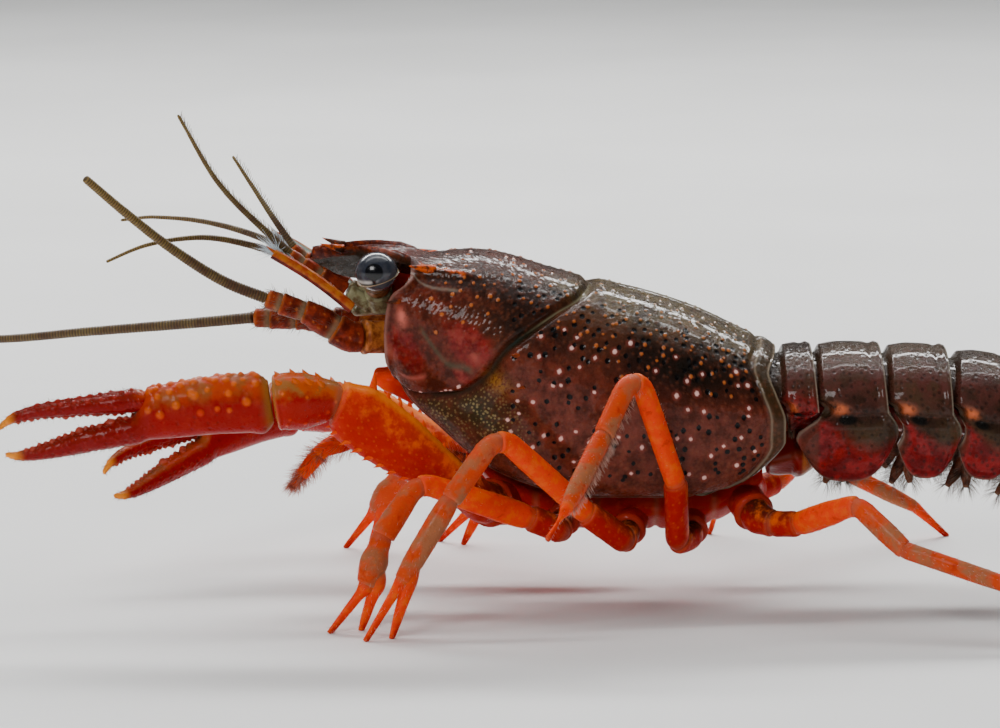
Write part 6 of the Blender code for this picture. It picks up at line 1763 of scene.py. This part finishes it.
def fan_blades():
    """Each blade's name, root, direction, length, half width, thickness, crown and end width."""
    yield "telson", (-0.9, 0, 0.6), (1, 0, 0), 11.0, 3.0, 0.34, 0.5, 0.55
    for name, side in SIDES.items():
        inner = (0.9, side * 3.6, -0.3), (1, side * 0.38, -0.02), 9.6, 2.4
        outer = (1.5, side * 5.0, -1.7), (1, side * 0.85, -0.08), 10.2, 2.9
        yield f"uropod_{name}_inner", *inner, 0.3, 0.4, 0.35
        yield f"uropod_{name}_outer", *outer, 0.3, 0.4, 0.35


def make_fan():
    """Tail fan: five flat blades with raised ribs, thin edges, and a fringe behind."""
    pivot = ring_frames()[-1]
    tufts = []
    for number, (name, root, direction, length, half, thick, crown, end) in enumerate(fan_blades()):
        direction = unit(direction)
        sideways = unit(np.cross((0, 0, 1), direction))
        normal = np.cross(direction, sideways)
        rows, columns = 110, 64
        t = np.linspace(0, 1, rows)[:, None]
        across = np.linspace(-1, 1, columns)[None, :]
        wide = spline(t, [*FAN_OUTLINE, (1, end)])
        reach = length * t * (1 - 0.1 * wide * across**2)
        centre = root + direction * reach[..., None] + sideways * (half * wide * across)[..., None]
        arch = crown * (1 - across**2) * np.sin(math.pi * np.minimum(1, 0.25 + 0.75 * t))
        ribs = hump(across, 0, 0.1)
        if name == "telson":
            ribs = 0.35 * hump(np.abs(across), 0.38, 0.08)
        seam = hump(t + 0.05 * across**2, 0.68, 0.012) * (name != "telson" and name.endswith("outer"))
        bar = hump(t, 0.66, 0.01) * (name == "telson") * smoothstep(0.5, 0.9, np.abs(across))
        thin = thick * (1 - 0.7 * smoothstep(0.55, 1, t)) * (1 - 0.5 * smoothstep(0.6, 1, np.abs(across)))
        lift = thin + 0.36 * ribs * (1 - 0.7 * t) - 0.12 * (seam + bar)
        top = centre + normal * (arch + lift)[..., None]
        low = centre + normal * (arch - thin)[..., None]
        edge = np.maximum(smoothstep(0.86, 1, t) + 0 * across, smoothstep(0.8, 1, np.abs(across)) + 0 * t)
        body = Body("rib", "edge", "seam")
        top, low = into_frame(top, pivot), into_frame(low, pivot)
        values = {"rib": ribs + 0 * t, "edge": edge, "seam": seam + bar}
        body.add(closed_plate(top, low), **plate_values(values, 1))
        if name == "telson":
            for side in SIDES.values():
                spine = into_frame([(6.0, side * 2.75, 0.6), (7.1, side * 3.6, 0.6)], pivot)
                body.add(thorn(*spine, 0.36), rib=1.0)
        title = name if name == "telson" else name.replace("uropod_", "fan_blade_")
        body.finish(f"{title}_plate", fan_paint(), (name,), "brown_shell")
        rng = np.random.default_rng(900 + number)
        at = rng.integers(2, columns - 2, 480)
        ahead = into_frame(direction, (0, 0, pivot[2]))
        tufts.append(sprouts(top, ahead, np.full(480, rows - 1), at, 1.7, 0.028, 0.1, 910 + number,
                             (0.2 * number, 0), (0.18, 0.9)))
        for column_at in (0, columns - 1):
            beside = into_frame(direction + sideways * (1.2 if column_at else -1.2), (0, 0, pivot[2]))
            rows_at = rng.integers(int(rows * 0.5), rows - 1, 160)
            tufts.append(sprouts(top, beside, rows_at, column_at, 1.2, 0.024, 0.2, 920 + number,
                                 (0.2 * number, 0), (0.18, 0.9)))
    bristles("fan_fringe", "dark", tufts)


# Finishes


def wet(name, roughness, film=0.0, ior=1.33, specular=0.06):
    """A nearly matt skin under a film of water with the given roughness."""
    return Paint(name, Specular_IOR_Level=specular, Coat_Weight=film, Coat_Roughness=roughness, Coat_IOR=ior)


def shell_paint():
    """Wet brown shell: olive above and maroon below, with a crimson cheek, dark patches, orange knobs, pale
    pearls with pink halos, pits painted black as shade, painted shade in the neck groove's lower part, a
    painted highlight along the ridge behind the eye, and cream lines along its edges."""
    looks = bpy.context.scene.crayfish
    p = wet("wet brown shell", 0.06, ior=1.35)
    cloud = p.noise(6.0, 4, 0.6)
    mottle = p.noise(1.3, 5, 0.65)
    fleck = p.noise(0.55, 4, 0.65)
    grain = p.noise(0.28, 4, 0.7)
    p.colour = p.mix(p.ramp(cloud, 0.36, 0.66), tuple(looks.shell_dark), tuple(looks.shell_light))
    p.over(p.ramp(mottle, 0.5, 0.74) * 0.6, (0.17, 0.032, 0.010))
    olive = p.mix(p.ramp(mottle, 0.34, 0.62), (0.036, 0.020, 0.006), (0.120, 0.085, 0.024))
    p.over(p["olive"] * 0.85, olive)
    flank = p.mix(p.ramp(mottle, 0.34, 0.66), (0.075, 0.013, 0.006), (0.190, 0.032, 0.016))
    p.over(p["flank"] * 0.9, flank)
    cheek = p.mix(p.ramp(mottle, 0.38, 0.64), (0.060, 0.009, 0.003), (0.160, 0.020, 0.008))
    p.over(p["cheek"] * 0.9, cheek)
    crimson = p.mix(p.ramp(mottle, 0.36, 0.66), (0.120, 0.003, 0.003), (0.25, 0.014, 0.010))
    crimson = p.mix(p.ramp(p.noise(1.9, 3), 0.56, 0.70) * 0.6, crimson, (0.38, 0.055, 0.040))
    p.over(p.ramp(p["crimson"] + (mottle - 0.5) * 0.6, 0.2, 0.7), crimson)
    beak = p.mix(p.ramp(fleck, 0.50, 0.66), (0.075, 0.008, 0.004), (0.30, 0.035, 0.006))
    p.over(p["beak"] * 0.9, beak)
    p.over(p["blush"] * p.ramp(mottle, 0.3, 0.5), (0.70, 0.17, 0.12))
    p.over(p["divider"] * 0.8, (0.085, 0.070, 0.038))
    # Painted highlight: a pale line along the ridge behind the eye
    p.over(p["crest_highlight"] * 0.55, (0.30, 0.25, 0.19))
    speck = p.mix(p.ramp(p.cells(0.34, 0.7), 0.22, 0.46), (0.27, 0.215, 0.080), (0.034, 0.031, 0.012))
    p.over(p["grain"] * 0.95, speck)
    p.over(p["ochre"] * p.ramp(grain, 0.35, 0.55), (0.30, 0.12, 0.015))
    p.over(p["dark"] * p.ramp(mottle, 0.26, 0.5, (0.45, 1.0)), (0.007, 0.005, 0.003))
    p.over(p["groove"] * 0.6, (0.34, 0.30, 0.17))
    # Painted shade: the lower part of the neck groove is darkened nearly to black
    p.over(p["furrow"] * 0.85, (0.020, 0.017, 0.008))
    p.over(p["teal"] * p["furrow"], (0.012, 0.026, 0.019))
    p.over(p["rear"] * 0.8, (0.045, 0.026, 0.009))
    p.over(p["ridge"] * p.ramp(mottle, 0.44, 0.56), (0.75, 0.10, 0.008))
    p.over(p["crumb"] * 0.25, (0.26, 0.07, 0.03))
    knob = p.mix(p["olive"] * 0.75, tuple(looks.knob_colour), (0.42, 0.22, 0.08))
    p.over(p.ramp(p["knob"], 0.1, 0.8) * 0.9, knob)
    p.over(p.ramp(p["halo"], 0.0, 0.9) * 0.3, (0.40, 0.06, 0.045))
    p.over(p.ramp(p["pearl"], 0.05, 0.5) * 0.95, (1.0, 0.60, 0.52))
    # Painted shade: the small sunken pits are darkened nearly to black
    p.over(p.ramp(p["pit"], 0.05, 0.4), (0.003, 0.002, 0.002))
    p.over(p["line"] * 0.7, (0.34, 0.26, 0.17))
    p.over(p["margin"] * 0.55, (0.36, 0.17, 0.13))
    p.over(p["inside"] * 0.95, (0.030, 0.020, 0.010))
    height = grain * 0.07 + fleck * 0.10 + p.noise(0.9, 3) * 0.08 + p["crumb"] * 0.01
    return p.shine(grain, (0.2, 0.42), height, p.ramp(mottle, 0.3, 0.6, (0.25, 0.55)))


def tail_paint():
    """Wet tail plates: olive maroon with cream rear lines, crimson flaps edged pale, and an orange blotch
    with a black patch at each flap's root."""
    p = wet("wet tail plate", 0.06, ior=1.35)
    mottle = p.noise(1.4, 5, 0.62)
    fleck = p.noise(0.5, 4, 0.65)
    grain = p.noise(0.25, 4, 0.7)
    p.colour = p.mix(p.ramp(p.noise(5.0, 4), 0.36, 0.64), (0.022, 0.012, 0.006), (0.062, 0.036, 0.016))
    p.over(p["side"] * p.ramp(mottle, 0.36, 0.62, (0.3, 1.0)), (0.095, 0.026, 0.020))
    p.over(p.ramp(fleck, 0.54, 0.72) * 0.4, (0.17, 0.038, 0.024))
    flap = p.mix(p.ramp(mottle, 0.36, 0.64), (0.120, 0.003, 0.004), (0.30, 0.010, 0.011))
    flap = p.mix(p.ramp(fleck, 0.60, 0.74) * 0.4, flap, (0.42, 0.045, 0.036))
    p.over(p["flap"] * 0.97, flap)
    p.over(p["blotch"] * p.ramp(mottle, 0.30, 0.50), (0.75, 0.16, 0.05))
    p.over(p.ramp(p["black"], 0.25, 0.75), (0.005, 0.004, 0.003))
    p.over(p["neck"] * 0.6, (0.05, 0.032, 0.016))
    # Painted shade: the small sunken pits are darkened
    p.over(p.ramp(p["pit"], 0.1, 0.6) * 0.5, (0.010, 0.005, 0.003))
    p.over(p["line"] * 0.65, (0.36, 0.31, 0.23))
    return p.shine(grain, (0.2, 0.4), grain * 0.06 + fleck * 0.08,
                   p.ramp(mottle, 0.3, 0.6, (0.25, 0.55)))


def fan_paint():
    """Tail fan: maroon brown with red ribs and a thinner, paler edge."""
    p = wet("wet fan blade", 0.1, 0.6)
    mottle = p.noise(1.0, 5, 0.62)
    grain = p.noise(0.22, 4, 0.7)
    p.colour = p.mix(p.ramp(mottle, 0.36, 0.66), (0.055, 0.010, 0.005), (0.18, 0.024, 0.010))
    p.over(p["rib"] * 0.8, (0.32, 0.022, 0.010))
    p.over(p["edge"] * 0.6, (0.36, 0.12, 0.05))
    p.over(p["seam"] * 0.8, (0.03, 0.006, 0.004))
    return p.shine(grain, (0.24, 0.44), grain * 0.05)


def limb_paint():
    """Limbs: dark brown red at the root, bright orange on the long joints with yellower edges and painted
    shade in deep red on their lower side, and salmon with brown clouds beyond."""
    looks = bpy.context.scene.crayfish
    p = wet("glossy orange limb", 0.12, specular=0.03)
    tone = p["tone"]
    mottle = p.noise(1.1, 5, 0.6)
    fleck = p.noise(0.4, 4, 0.65)
    grain = p.noise(0.22, 4, 0.7)
    root = p.mix(p.ramp(tone, 0.08, 0.2), (0.075, 0.011, 0.006), (0.26, 0.016, 0.004))
    p.colour = p.mix(p.ramp(tone, 0.24, 0.48), root, tuple(looks.limb_colour))
    p.over(p.ramp(mottle, 0.46, 0.66) * 0.7, (0.95, 0.135, 0.003))
    far = p.mix(p.ramp(p.noise(2.4, 4), 0.42, 0.60), (0.66, 0.060, 0.012), (0.40, 0.130, 0.055))
    p.over(p.ramp(tone, 0.58, 0.76), far)
    p.over(p.ramp(fleck, 0.60, 0.76) * 0.22, (0.75, 0.20, 0.06))
    # Painted shade: the downward side of the long joints is darkened to deep red
    lower = p.ramp(p["upper"] + (mottle - 0.5) * 0.6, 0.95, 0.45)
    p.over(lower * p.ramp(tone, 0.52, 0.42) * 0.85, (0.46, 0.005, 0.002))
    p.over(p.ramp(mottle, 0.42, 0.30) * 0.5, (0.42, 0.012, 0.003))
    rim = p.ramp(p["rim"] + (fleck - 0.5) * 0.5, 0.25, 0.8) * p.ramp(p["upper"], 0.3, 0.6)
    p.over(rim * 0.8, (0.90, 0.21, 0.006))
    p.over(p.ramp(p["knob"], 0.3, 0.8) * 0.2, (0.85, 0.18, 0.02))
    p.over(p["joint"] * 0.5, (0.40, 0.11, 0.06))
    p.over(p["edge"] * 0.2, (0.75, 0.24, 0.12))
    return p.shine(grain, (0.28, 0.5), grain * 0.06 + fleck * 0.05,
                   p.ramp(mottle, 0.3, 0.7, (0.08, 0.28)))


def claw_colours(p):
    """Claw colour: orange above with orange-yellow knobs, deep red below, and pink granules."""
    looks = bpy.context.scene.crayfish
    mottle = p.noise(1.2, 5, 0.6)
    high = p["upper"] + (mottle - 0.5) * 0.4
    light = p.mix(p.ramp(p.noise(2.0, 4), 0.42, 0.62), tuple(looks.claw_light), (0.34, 0.085, 0.016))
    p.colour = p.mix(p.ramp(high, 0.56, 0.84), tuple(looks.claw_dark), light)
    p.over(p.ramp(mottle, 0.5, 0.72) * 0.4, (0.42, 0.012, 0.003))
    finger = p["finger"]
    p.over(finger * 0.9, (0.210, 0.002, 0.002))
    p.over(p.ramp(p["grain"], 0.25, 0.8) * 0.2, (0.38, 0.026, 0.014))
    knob = p.mix(p.ramp(high, 0.40, 0.66), (0.62, 0.030, 0.004), tuple(looks.claw_knob_colour))
    knob = p.mix(finger, knob, (0.36, 0.022, 0.014))
    p.over(p.ramp(p["knob"], 0.1, 0.95) * 0.85, knob)
    return mottle


def claw_paint():
    """Palm and fingers: the claw's colours, with pink teeth, a yellow brown wrist line and yellow tips."""
    p = wet("glossy red claw", 0.08)
    mottle = claw_colours(p)
    grain = p.noise(0.22, 4, 0.7)
    p.over(p.ramp(p["tooth"], 0.2, 0.7) * 0.75, (0.48, 0.075, 0.045))
    # Painted shade: the small sunken pits are darkened to deep red
    p.over(p.ramp(p["pit"], 0.1, 0.5) * 0.3, (0.12, 0.003, 0.002))
    p.over(p["wrist"] * 0.85, (0.32, 0.13, 0.025))
    p.over(p["tip"], (0.95, 0.30, 0.02))
    return p.shine(grain, (0.24, 0.44), grain * 0.05 + mottle * 0.03,
                   p.ramp(mottle, 0.3, 0.7, (0.15, 0.4)))


def wrist_paint():
    """The joint behind the claw: orange brown above and red below, shiny."""
    p = wet("glossy wrist", 0.06)
    mottle = claw_colours(p)
    grain = p.noise(0.22, 4, 0.7)
    above = p.mix(p.ramp(p.noise(1.6, 4), 0.4, 0.6), (0.55, 0.075, 0.006), (0.36, 0.13, 0.03))
    base = p.mix(p.ramp(p["upper"] + (mottle - 0.5) * 0.6, 0.58, 0.82), (0.36, 0.004, 0.002), above)
    p.colour = p.mix(p.ramp(p["knob"], 0.12, 0.55), base, p.colour)
    p.over(p["joint"] * 0.7, (0.44, 0.16, 0.08))
    p.over(p["edge"] * 0.6, (0.55, 0.24, 0.05))
    return p.shine(grain, (0.16, 0.34), grain * 0.05 + mottle * 0.03,
                   p.ramp(mottle, 0.3, 0.7, (0.25, 0.55)))


def peduncle_paint():
    """Jointed bases of the feelers: dark red brown with orange edges and pale joints."""
    p = wet("dark red feeler base", 0.08, 0.3)
    mottle = p.noise(0.9, 5, 0.6)
    grain = p.noise(0.2, 4, 0.7)
    p.colour = p.mix(p.ramp(mottle, 0.36, 0.66), (0.085, 0.009, 0.004), (0.30, 0.030, 0.008))
    p.over(p.ramp(p["tone"], 0.04, 0.2) * 0.6, (0.42, 0.055, 0.010))
    p.over(p.ramp(p["knob"], 0.3, 0.8) * 0.5, (0.55, 0.14, 0.03))
    p.over(p["joint"] * 0.7, (0.26, 0.20, 0.11))
    p.over(p["edge"] * 0.6, (0.55, 0.14, 0.02))
    return p.shine(grain, (0.22, 0.42), grain * 0.05)


def feeler_paint():
    """Whips: olive brown with a darker line at each ring, yellower towards the end."""
    looks = bpy.context.scene.crayfish
    p = Paint("ringed feeler", Specular_IOR_Level=0.35)
    mottle = p.noise(1.5, 4, 0.6)
    p.colour = p.mix(p.ramp(mottle, 0.35, 0.65), tuple(looks.whip_colour), (0.085, 0.035, 0.010))
    p.over(p.ramp(p["share"], 0.25, 1.0) * 0.6, (0.30, 0.19, 0.045))
    p.over(p.ramp(p["band"], 0.75, 0.15) * 0.7, (0.030, 0.016, 0.007))
    return p.shine(mottle, (0.35, 0.55), p.noise(0.15, 3) * 0.03)


def scale_paint():
    """Antennal scale: orange-yellow rib, thin olive blade and dark red flank."""
    p = wet("scale blade", 0.12, 0.45)
    mottle = p.noise(0.9, 5, 0.6)
    grain = p.noise(0.2, 4, 0.7)
    p.colour = p.mix(p.ramp(mottle, 0.36, 0.64), (0.10, 0.085, 0.04), (0.22, 0.19, 0.10))
    flank = p.mix(p.ramp(mottle, 0.4, 0.6), (0.07, 0.004, 0.003), (0.22, 0.012, 0.005))
    p.over(p["flank"] * 0.95, flank)
    rib = p.mix(p.ramp(mottle, 0.36, 0.62), (0.34, 0.035, 0.005), (0.46, 0.13, 0.012))
    p.over(p.ramp(p["rib"], 0.2, 0.6), rib)
    p.over(p["blade"] * 0.8, (0.34, 0.42, 0.36))
    return p.shine(grain, (0.24, 0.42), grain * 0.05)


def membrane_paint():
    """Soft wet skin between the plates: dark red to orange brown, with folds."""
    p = wet("soft joint skin", 0.15, 0.5)
    mottle = p.noise(1.8, 4, 0.55)
    warm = p.ramp(p["warm"] + (mottle - 0.5) * 0.5, 0.3, 0.7)
    p.colour = p.mix(warm, (0.200, 0.007, 0.004), (0.34, 0.085, 0.016))
    p.over(p.ramp(p["fold"], 0.4, 1.0) * 0.3, (0.22, 0.06, 0.02))
    return p.shine(mottle, (0.32, 0.52), p.noise(0.4, 3) * 0.08)


def face_paint():
    """Front of the head: pale grey-green skin with painted shade in its fold troughs, and orange brown stubs.
    """
    p = wet("head front", 0.12, 0.35)
    mottle = p.noise(1.0, 5, 0.6)
    p.colour = p.mix(p.ramp(mottle, 0.40, 0.62), (0.30, 0.28, 0.15), (0.13, 0.08, 0.035))
    # Painted shade: dark brown in the troughs of the folds, where the skin is pushed in
    p.over(p.ramp(p["fold"], 0.55, 0.1) * 0.6, (0.07, 0.03, 0.014))
    stub = p.mix(p.ramp(mottle, 0.38, 0.62), (0.22, 0.050, 0.012), (0.55, 0.17, 0.035))
    p.over(p["stub"], stub)
    return p.shine(mottle, (0.25, 0.45), p.noise(0.3, 3) * 0.06)


def paddle_paint():
    """Small limbs under the tail: dark brown, paler at the joints."""
    p = wet("dark paddle limb", 0.15, 0.4)
    mottle = p.noise(0.8, 4, 0.6)
    p.colour = p.mix(p.ramp(mottle, 0.36, 0.64), (0.040, 0.014, 0.007), (0.16, 0.045, 0.020))
    p.over(p["edge"] * 0.4, (0.30, 0.16, 0.10))
    return p.shine(mottle, (0.35, 0.55), p.noise(0.25, 3) * 0.05)


def eye_cup_paint():
    """Eye stalk: tan skin with darker folds and a pale rim."""
    p = wet("tan eye stalk", 0.12, 0.6)
    mottle = p.noise(0.8, 5, 0.6)
    p.colour = p.mix(p.ramp(mottle, 0.36, 0.64), (0.15, 0.055, 0.018), (0.32, 0.15, 0.06))
    p.over(p["fold"] * 0.3, (0.09, 0.030, 0.010))
    p.over(p["rim"] * 0.75, (0.42, 0.34, 0.22))
    return p.shine(mottle, (0.25, 0.42), p.noise(0.3, 3) * 0.05)


def eye_paint():
    """Eye: grey-blue faceted cornea, a black spot facing outwards, and a pale ring round its lower edge
    that is a painted reflection.
    """
    looks = bpy.context.scene.crayfish
    p = wet("wet grey eye", 0.02, 0.8, ior=1.38, specular=0.2)
    gaze = p["gaze"]
    facet = p.cells(0.075, 0.25)
    p.colour = p.mix(p.ramp(p.noise(0.9, 4), 0.35, 0.65), tuple(looks.eye_colour), (0.050, 0.052, 0.062))
    p.over(p.ramp(gaze, 0.24, 0.40) * 0.4, (0.10, 0.10, 0.11))
    # Painted reflection: a pale band round the lower front of the cornea
    p.over(p["ring"] * 0.85, (0.66, 0.63, 0.58))
    spot = p.maths("MAXIMUM", p.ramp(gaze, 0.155, 0.125), p["below"] * p.ramp(gaze, 0.29, 0.24))
    p.over(spot, (0.004, 0.004, 0.006))
    return p.shine(facet, (0.08, 0.18), facet * 0.006, steps=(0.1, 0.6))


BRISTLE_SHADES = {"pale": ((0.55, 0.16, 0.07), (0.72, 0.50, 0.40)),
                  "dark": ((0.05, 0.02, 0.010), (0.20, 0.12, 0.07)),
                  "red": ((0.40, 0.03, 0.01), (0.62, 0.20, 0.12)),
                  "blue": ((0.36, 0.42, 0.44), (0.72, 0.80, 0.86))}


def bristle_paint(shade):
    """Bristles: darker at the root and paler at the tip."""
    root, tip = BRISTLE_SHADES[shade]
    p = Paint(f"{shade} bristle", IOR=1.45)
    p.colour = p.mix(p.ramp(p["along"], 0.0, 0.8), root, tip)
    p.over(p.ramp(p.noise(2.0, 3), 0.4, 0.7) * 0.4, tip)
    return p.shine(p.noise(1.0, 2), (0.35, 0.6))


# Stage


def make_stage():
    """Plain pale floor, soft studio lights and the camera at the photograph's angle."""
    floor = bpy.data.meshes.new("floor")
    reach = 3.0
    corners = [(-reach, -reach, 0), (reach, -reach, 0), (reach, reach, 0), (-reach, reach, 0)]
    floor.from_pydata(corners, [], [(0, 1, 2, 3)])
    ground = linked("floor", floor)
    p = Paint("pale floor")
    shade = p.noise(60.0, 3)
    p.colour = p.mix(p.ramp(shade, 0.3, 0.7), (0.90, 0.90, 0.885), (0.93, 0.93, 0.915))
    ground.data.materials.append(p.shine(shade, (0.6, 0.7)))
    world = bpy.data.worlds.new("studio")
    world.use_nodes = True
    sky = world.node_tree.nodes["Background"].inputs
    sky["Color"].default_value = (0.86, 0.90, 0.95, 1)
    sky["Strength"].default_value = 0.08
    bpy.context.scene.world = world
    target = placed(VIEW_TARGET)
    for name, place, size, power in (("strip", (-0.02, 0.46, 0.42), (1.0, 0.06), 5.0),
                                     ("side_strip", (-0.02, 0.12, 0.50), (0.9, 0.03), 1.3),
                                     ("key", (-0.30, -0.62, 0.42), (0.25, 0.25), 2.5),
                                     ("ceiling", (0.0, 0.3, 1.6), (2.2, 1.6), 9.5)):
        light = bpy.data.lights.new(name, "AREA")
        light.shape = "RECTANGLE"
        light.size, light.size_y = size
        light.energy = power
        lamp = linked(name, light)
        lamp.location = place
        aim(lamp, target)
    camera = linked("camera", bpy.data.cameras.new("camera"))
    camera.data.sensor_width = 36
    camera.data.lens = VIEW_LENS
    camera.data.clip_start = 0.01
    rise = math.radians(VIEW_ELEVATION)
    camera.location = target + VIEW_DISTANCE * MM * np.array([0, -math.cos(rise), math.sin(rise)])
    aim(camera, target)
    bpy.context.scene.camera = camera


def aim(thing, target):
    """Turns a light or camera towards a point."""
    way = Vector(target) - thing.location
    thing.rotation_euler = way.to_track_quat("-Z", "Y").to_euler()


# Add-on


def tint(name, description, default):
    """A colour that a user can change."""
    return bpy.props.FloatVectorProperty(
        name=name, description=description, default=default, min=0, max=1, size=3, subtype="COLOR")


class CrayfishLooks(bpy.types.PropertyGroup):
    """Sizes and colours that a user would change."""

    knob_height: bpy.props.FloatProperty(
        name="Shell knob height", description="Height of the orange knobs on the back", default=0.00013,
        min=0.0, max=0.0006, unit="LENGTH")
    claw_knob_height: bpy.props.FloatProperty(
        name="Claw knob height", description="Height of the knobs on the claws", default=0.00016,
        min=0.0, max=0.0006, unit="LENGTH")
    shell_dark: tint("Shell, dark", "Darker colour of the shell", (0.022, 0.007, 0.0035))
    shell_light: tint("Shell, light", "Lighter colour of the shell", (0.080, 0.022, 0.009))
    knob_colour: tint("Shell knobs", "Colour of the knobs on the back", (0.58, 0.14, 0.025))
    limb_colour: tint("Limbs", "Colour of the long joints of the limbs", (0.92, 0.045, 0.002))
    claw_dark: tint("Claws, below", "Deep red of the claws", (0.30, 0.001, 0.001))
    claw_light: tint("Claws, above", "Orange of the claws' upper side", (0.50, 0.045, 0.004))
    claw_knob_colour: tint("Claw knobs", "Colour of the knobs on the claws", (0.72, 0.12, 0.006))
    whip_colour: tint("Feelers", "Colour of the long feelers", (0.15, 0.095, 0.022))
    eye_colour: tint("Eyes", "Colour of the eyes", (0.022, 0.026, 0.040))


class CRAYFISH_OT_carapace(bpy.types.Operator):
    """Build the carapace and the soft wall inside it"""

    bl_idname = "crayfish.carapace"
    bl_label = "Carapace"

    def execute(self, context):
        make_carapace()
        return {"FINISHED"}


class CRAYFISH_OT_underside(bpy.types.Operator):
    """Build the breast plates, the front of the head and the mouth limbs"""

    bl_idname = "crayfish.underside"
    bl_label = "Underside, face and mouth"

    def execute(self, context):
        make_underside()
        make_face()
        make_mouth()
        return {"FINISHED"}


class CRAYFISH_OT_eyes(bpy.types.Operator):
    """Build the eyes and their stalks"""

    bl_idname = "crayfish.eyes"
    bl_label = "Eyes"

    def execute(self, context):
        make_eyes()
        return {"FINISHED"}


class CRAYFISH_OT_feelers(bpy.types.Operator):
    """Build the antennae, the small feelers and the scales beside them"""

    bl_idname = "crayfish.feelers"
    bl_label = "Feelers"

    def execute(self, context):
        make_feelers()
        return {"FINISHED"}


class CRAYFISH_OT_claws(bpy.types.Operator):
    """Build the two large claws and their arms"""

    bl_idname = "crayfish.claws"
    bl_label = "Claws"

    def execute(self, context):
        make_chelipeds()
        return {"FINISHED"}


class CRAYFISH_OT_legs(bpy.types.Operator):
    """Build the eight walking legs"""

    bl_idname = "crayfish.legs"
    bl_label = "Walking legs"

    def execute(self, context):
        make_legs()
        return {"FINISHED"}


class CRAYFISH_OT_tail(bpy.types.Operator):
    """Build the tail rings, their underside and the tail fan"""

    bl_idname = "crayfish.tail"
    bl_label = "Tail"

    def execute(self, context):
        make_tail()
        make_fan()
        return {"FINISHED"}


class CRAYFISH_OT_stage(bpy.types.Operator):
    """Set up the floor, lights and camera"""

    bl_idname = "crayfish.stage"
    bl_label = "Stage"

    def execute(self, context):
        make_stage()
        return {"FINISHED"}


OPERATORS = (CRAYFISH_OT_carapace, CRAYFISH_OT_underside, CRAYFISH_OT_eyes, CRAYFISH_OT_feelers,
             CRAYFISH_OT_claws, CRAYFISH_OT_legs, CRAYFISH_OT_tail, CRAYFISH_OT_stage)


class CRAYFISH_PT_panel(bpy.types.Panel):
    """Sizes, colours and build steps of the crayfish"""

    bl_label = "Red swamp crayfish"
    bl_space_type = "VIEW_3D"
    bl_region_type = "UI"
    bl_category = "Crayfish"

    def draw(self, context):
        looks = context.scene.crayfish
        for name in CrayfishLooks.__annotations__:
            self.layout.prop(looks, name)
        for operator in OPERATORS:
            self.layout.operator(operator.bl_idname)


def register():
    for item in (CrayfishLooks, *OPERATORS, CRAYFISH_PT_panel):
        bpy.utils.register_class(item)
    bpy.types.Scene.crayfish = bpy.props.PointerProperty(type=CrayfishLooks)


def unregister():
    del bpy.types.Scene.crayfish
    for item in (CRAYFISH_PT_panel, *reversed(OPERATORS), CrayfishLooks):
        bpy.utils.unregister_class(item)


def main():
    register()
    for operator in OPERATORS:
        group, name = operator.bl_idname.split(".")
        getattr(getattr(bpy.ops, group), name)()
    bpy.context.view_layer.update()


if __name__ == "__main__":
    main()
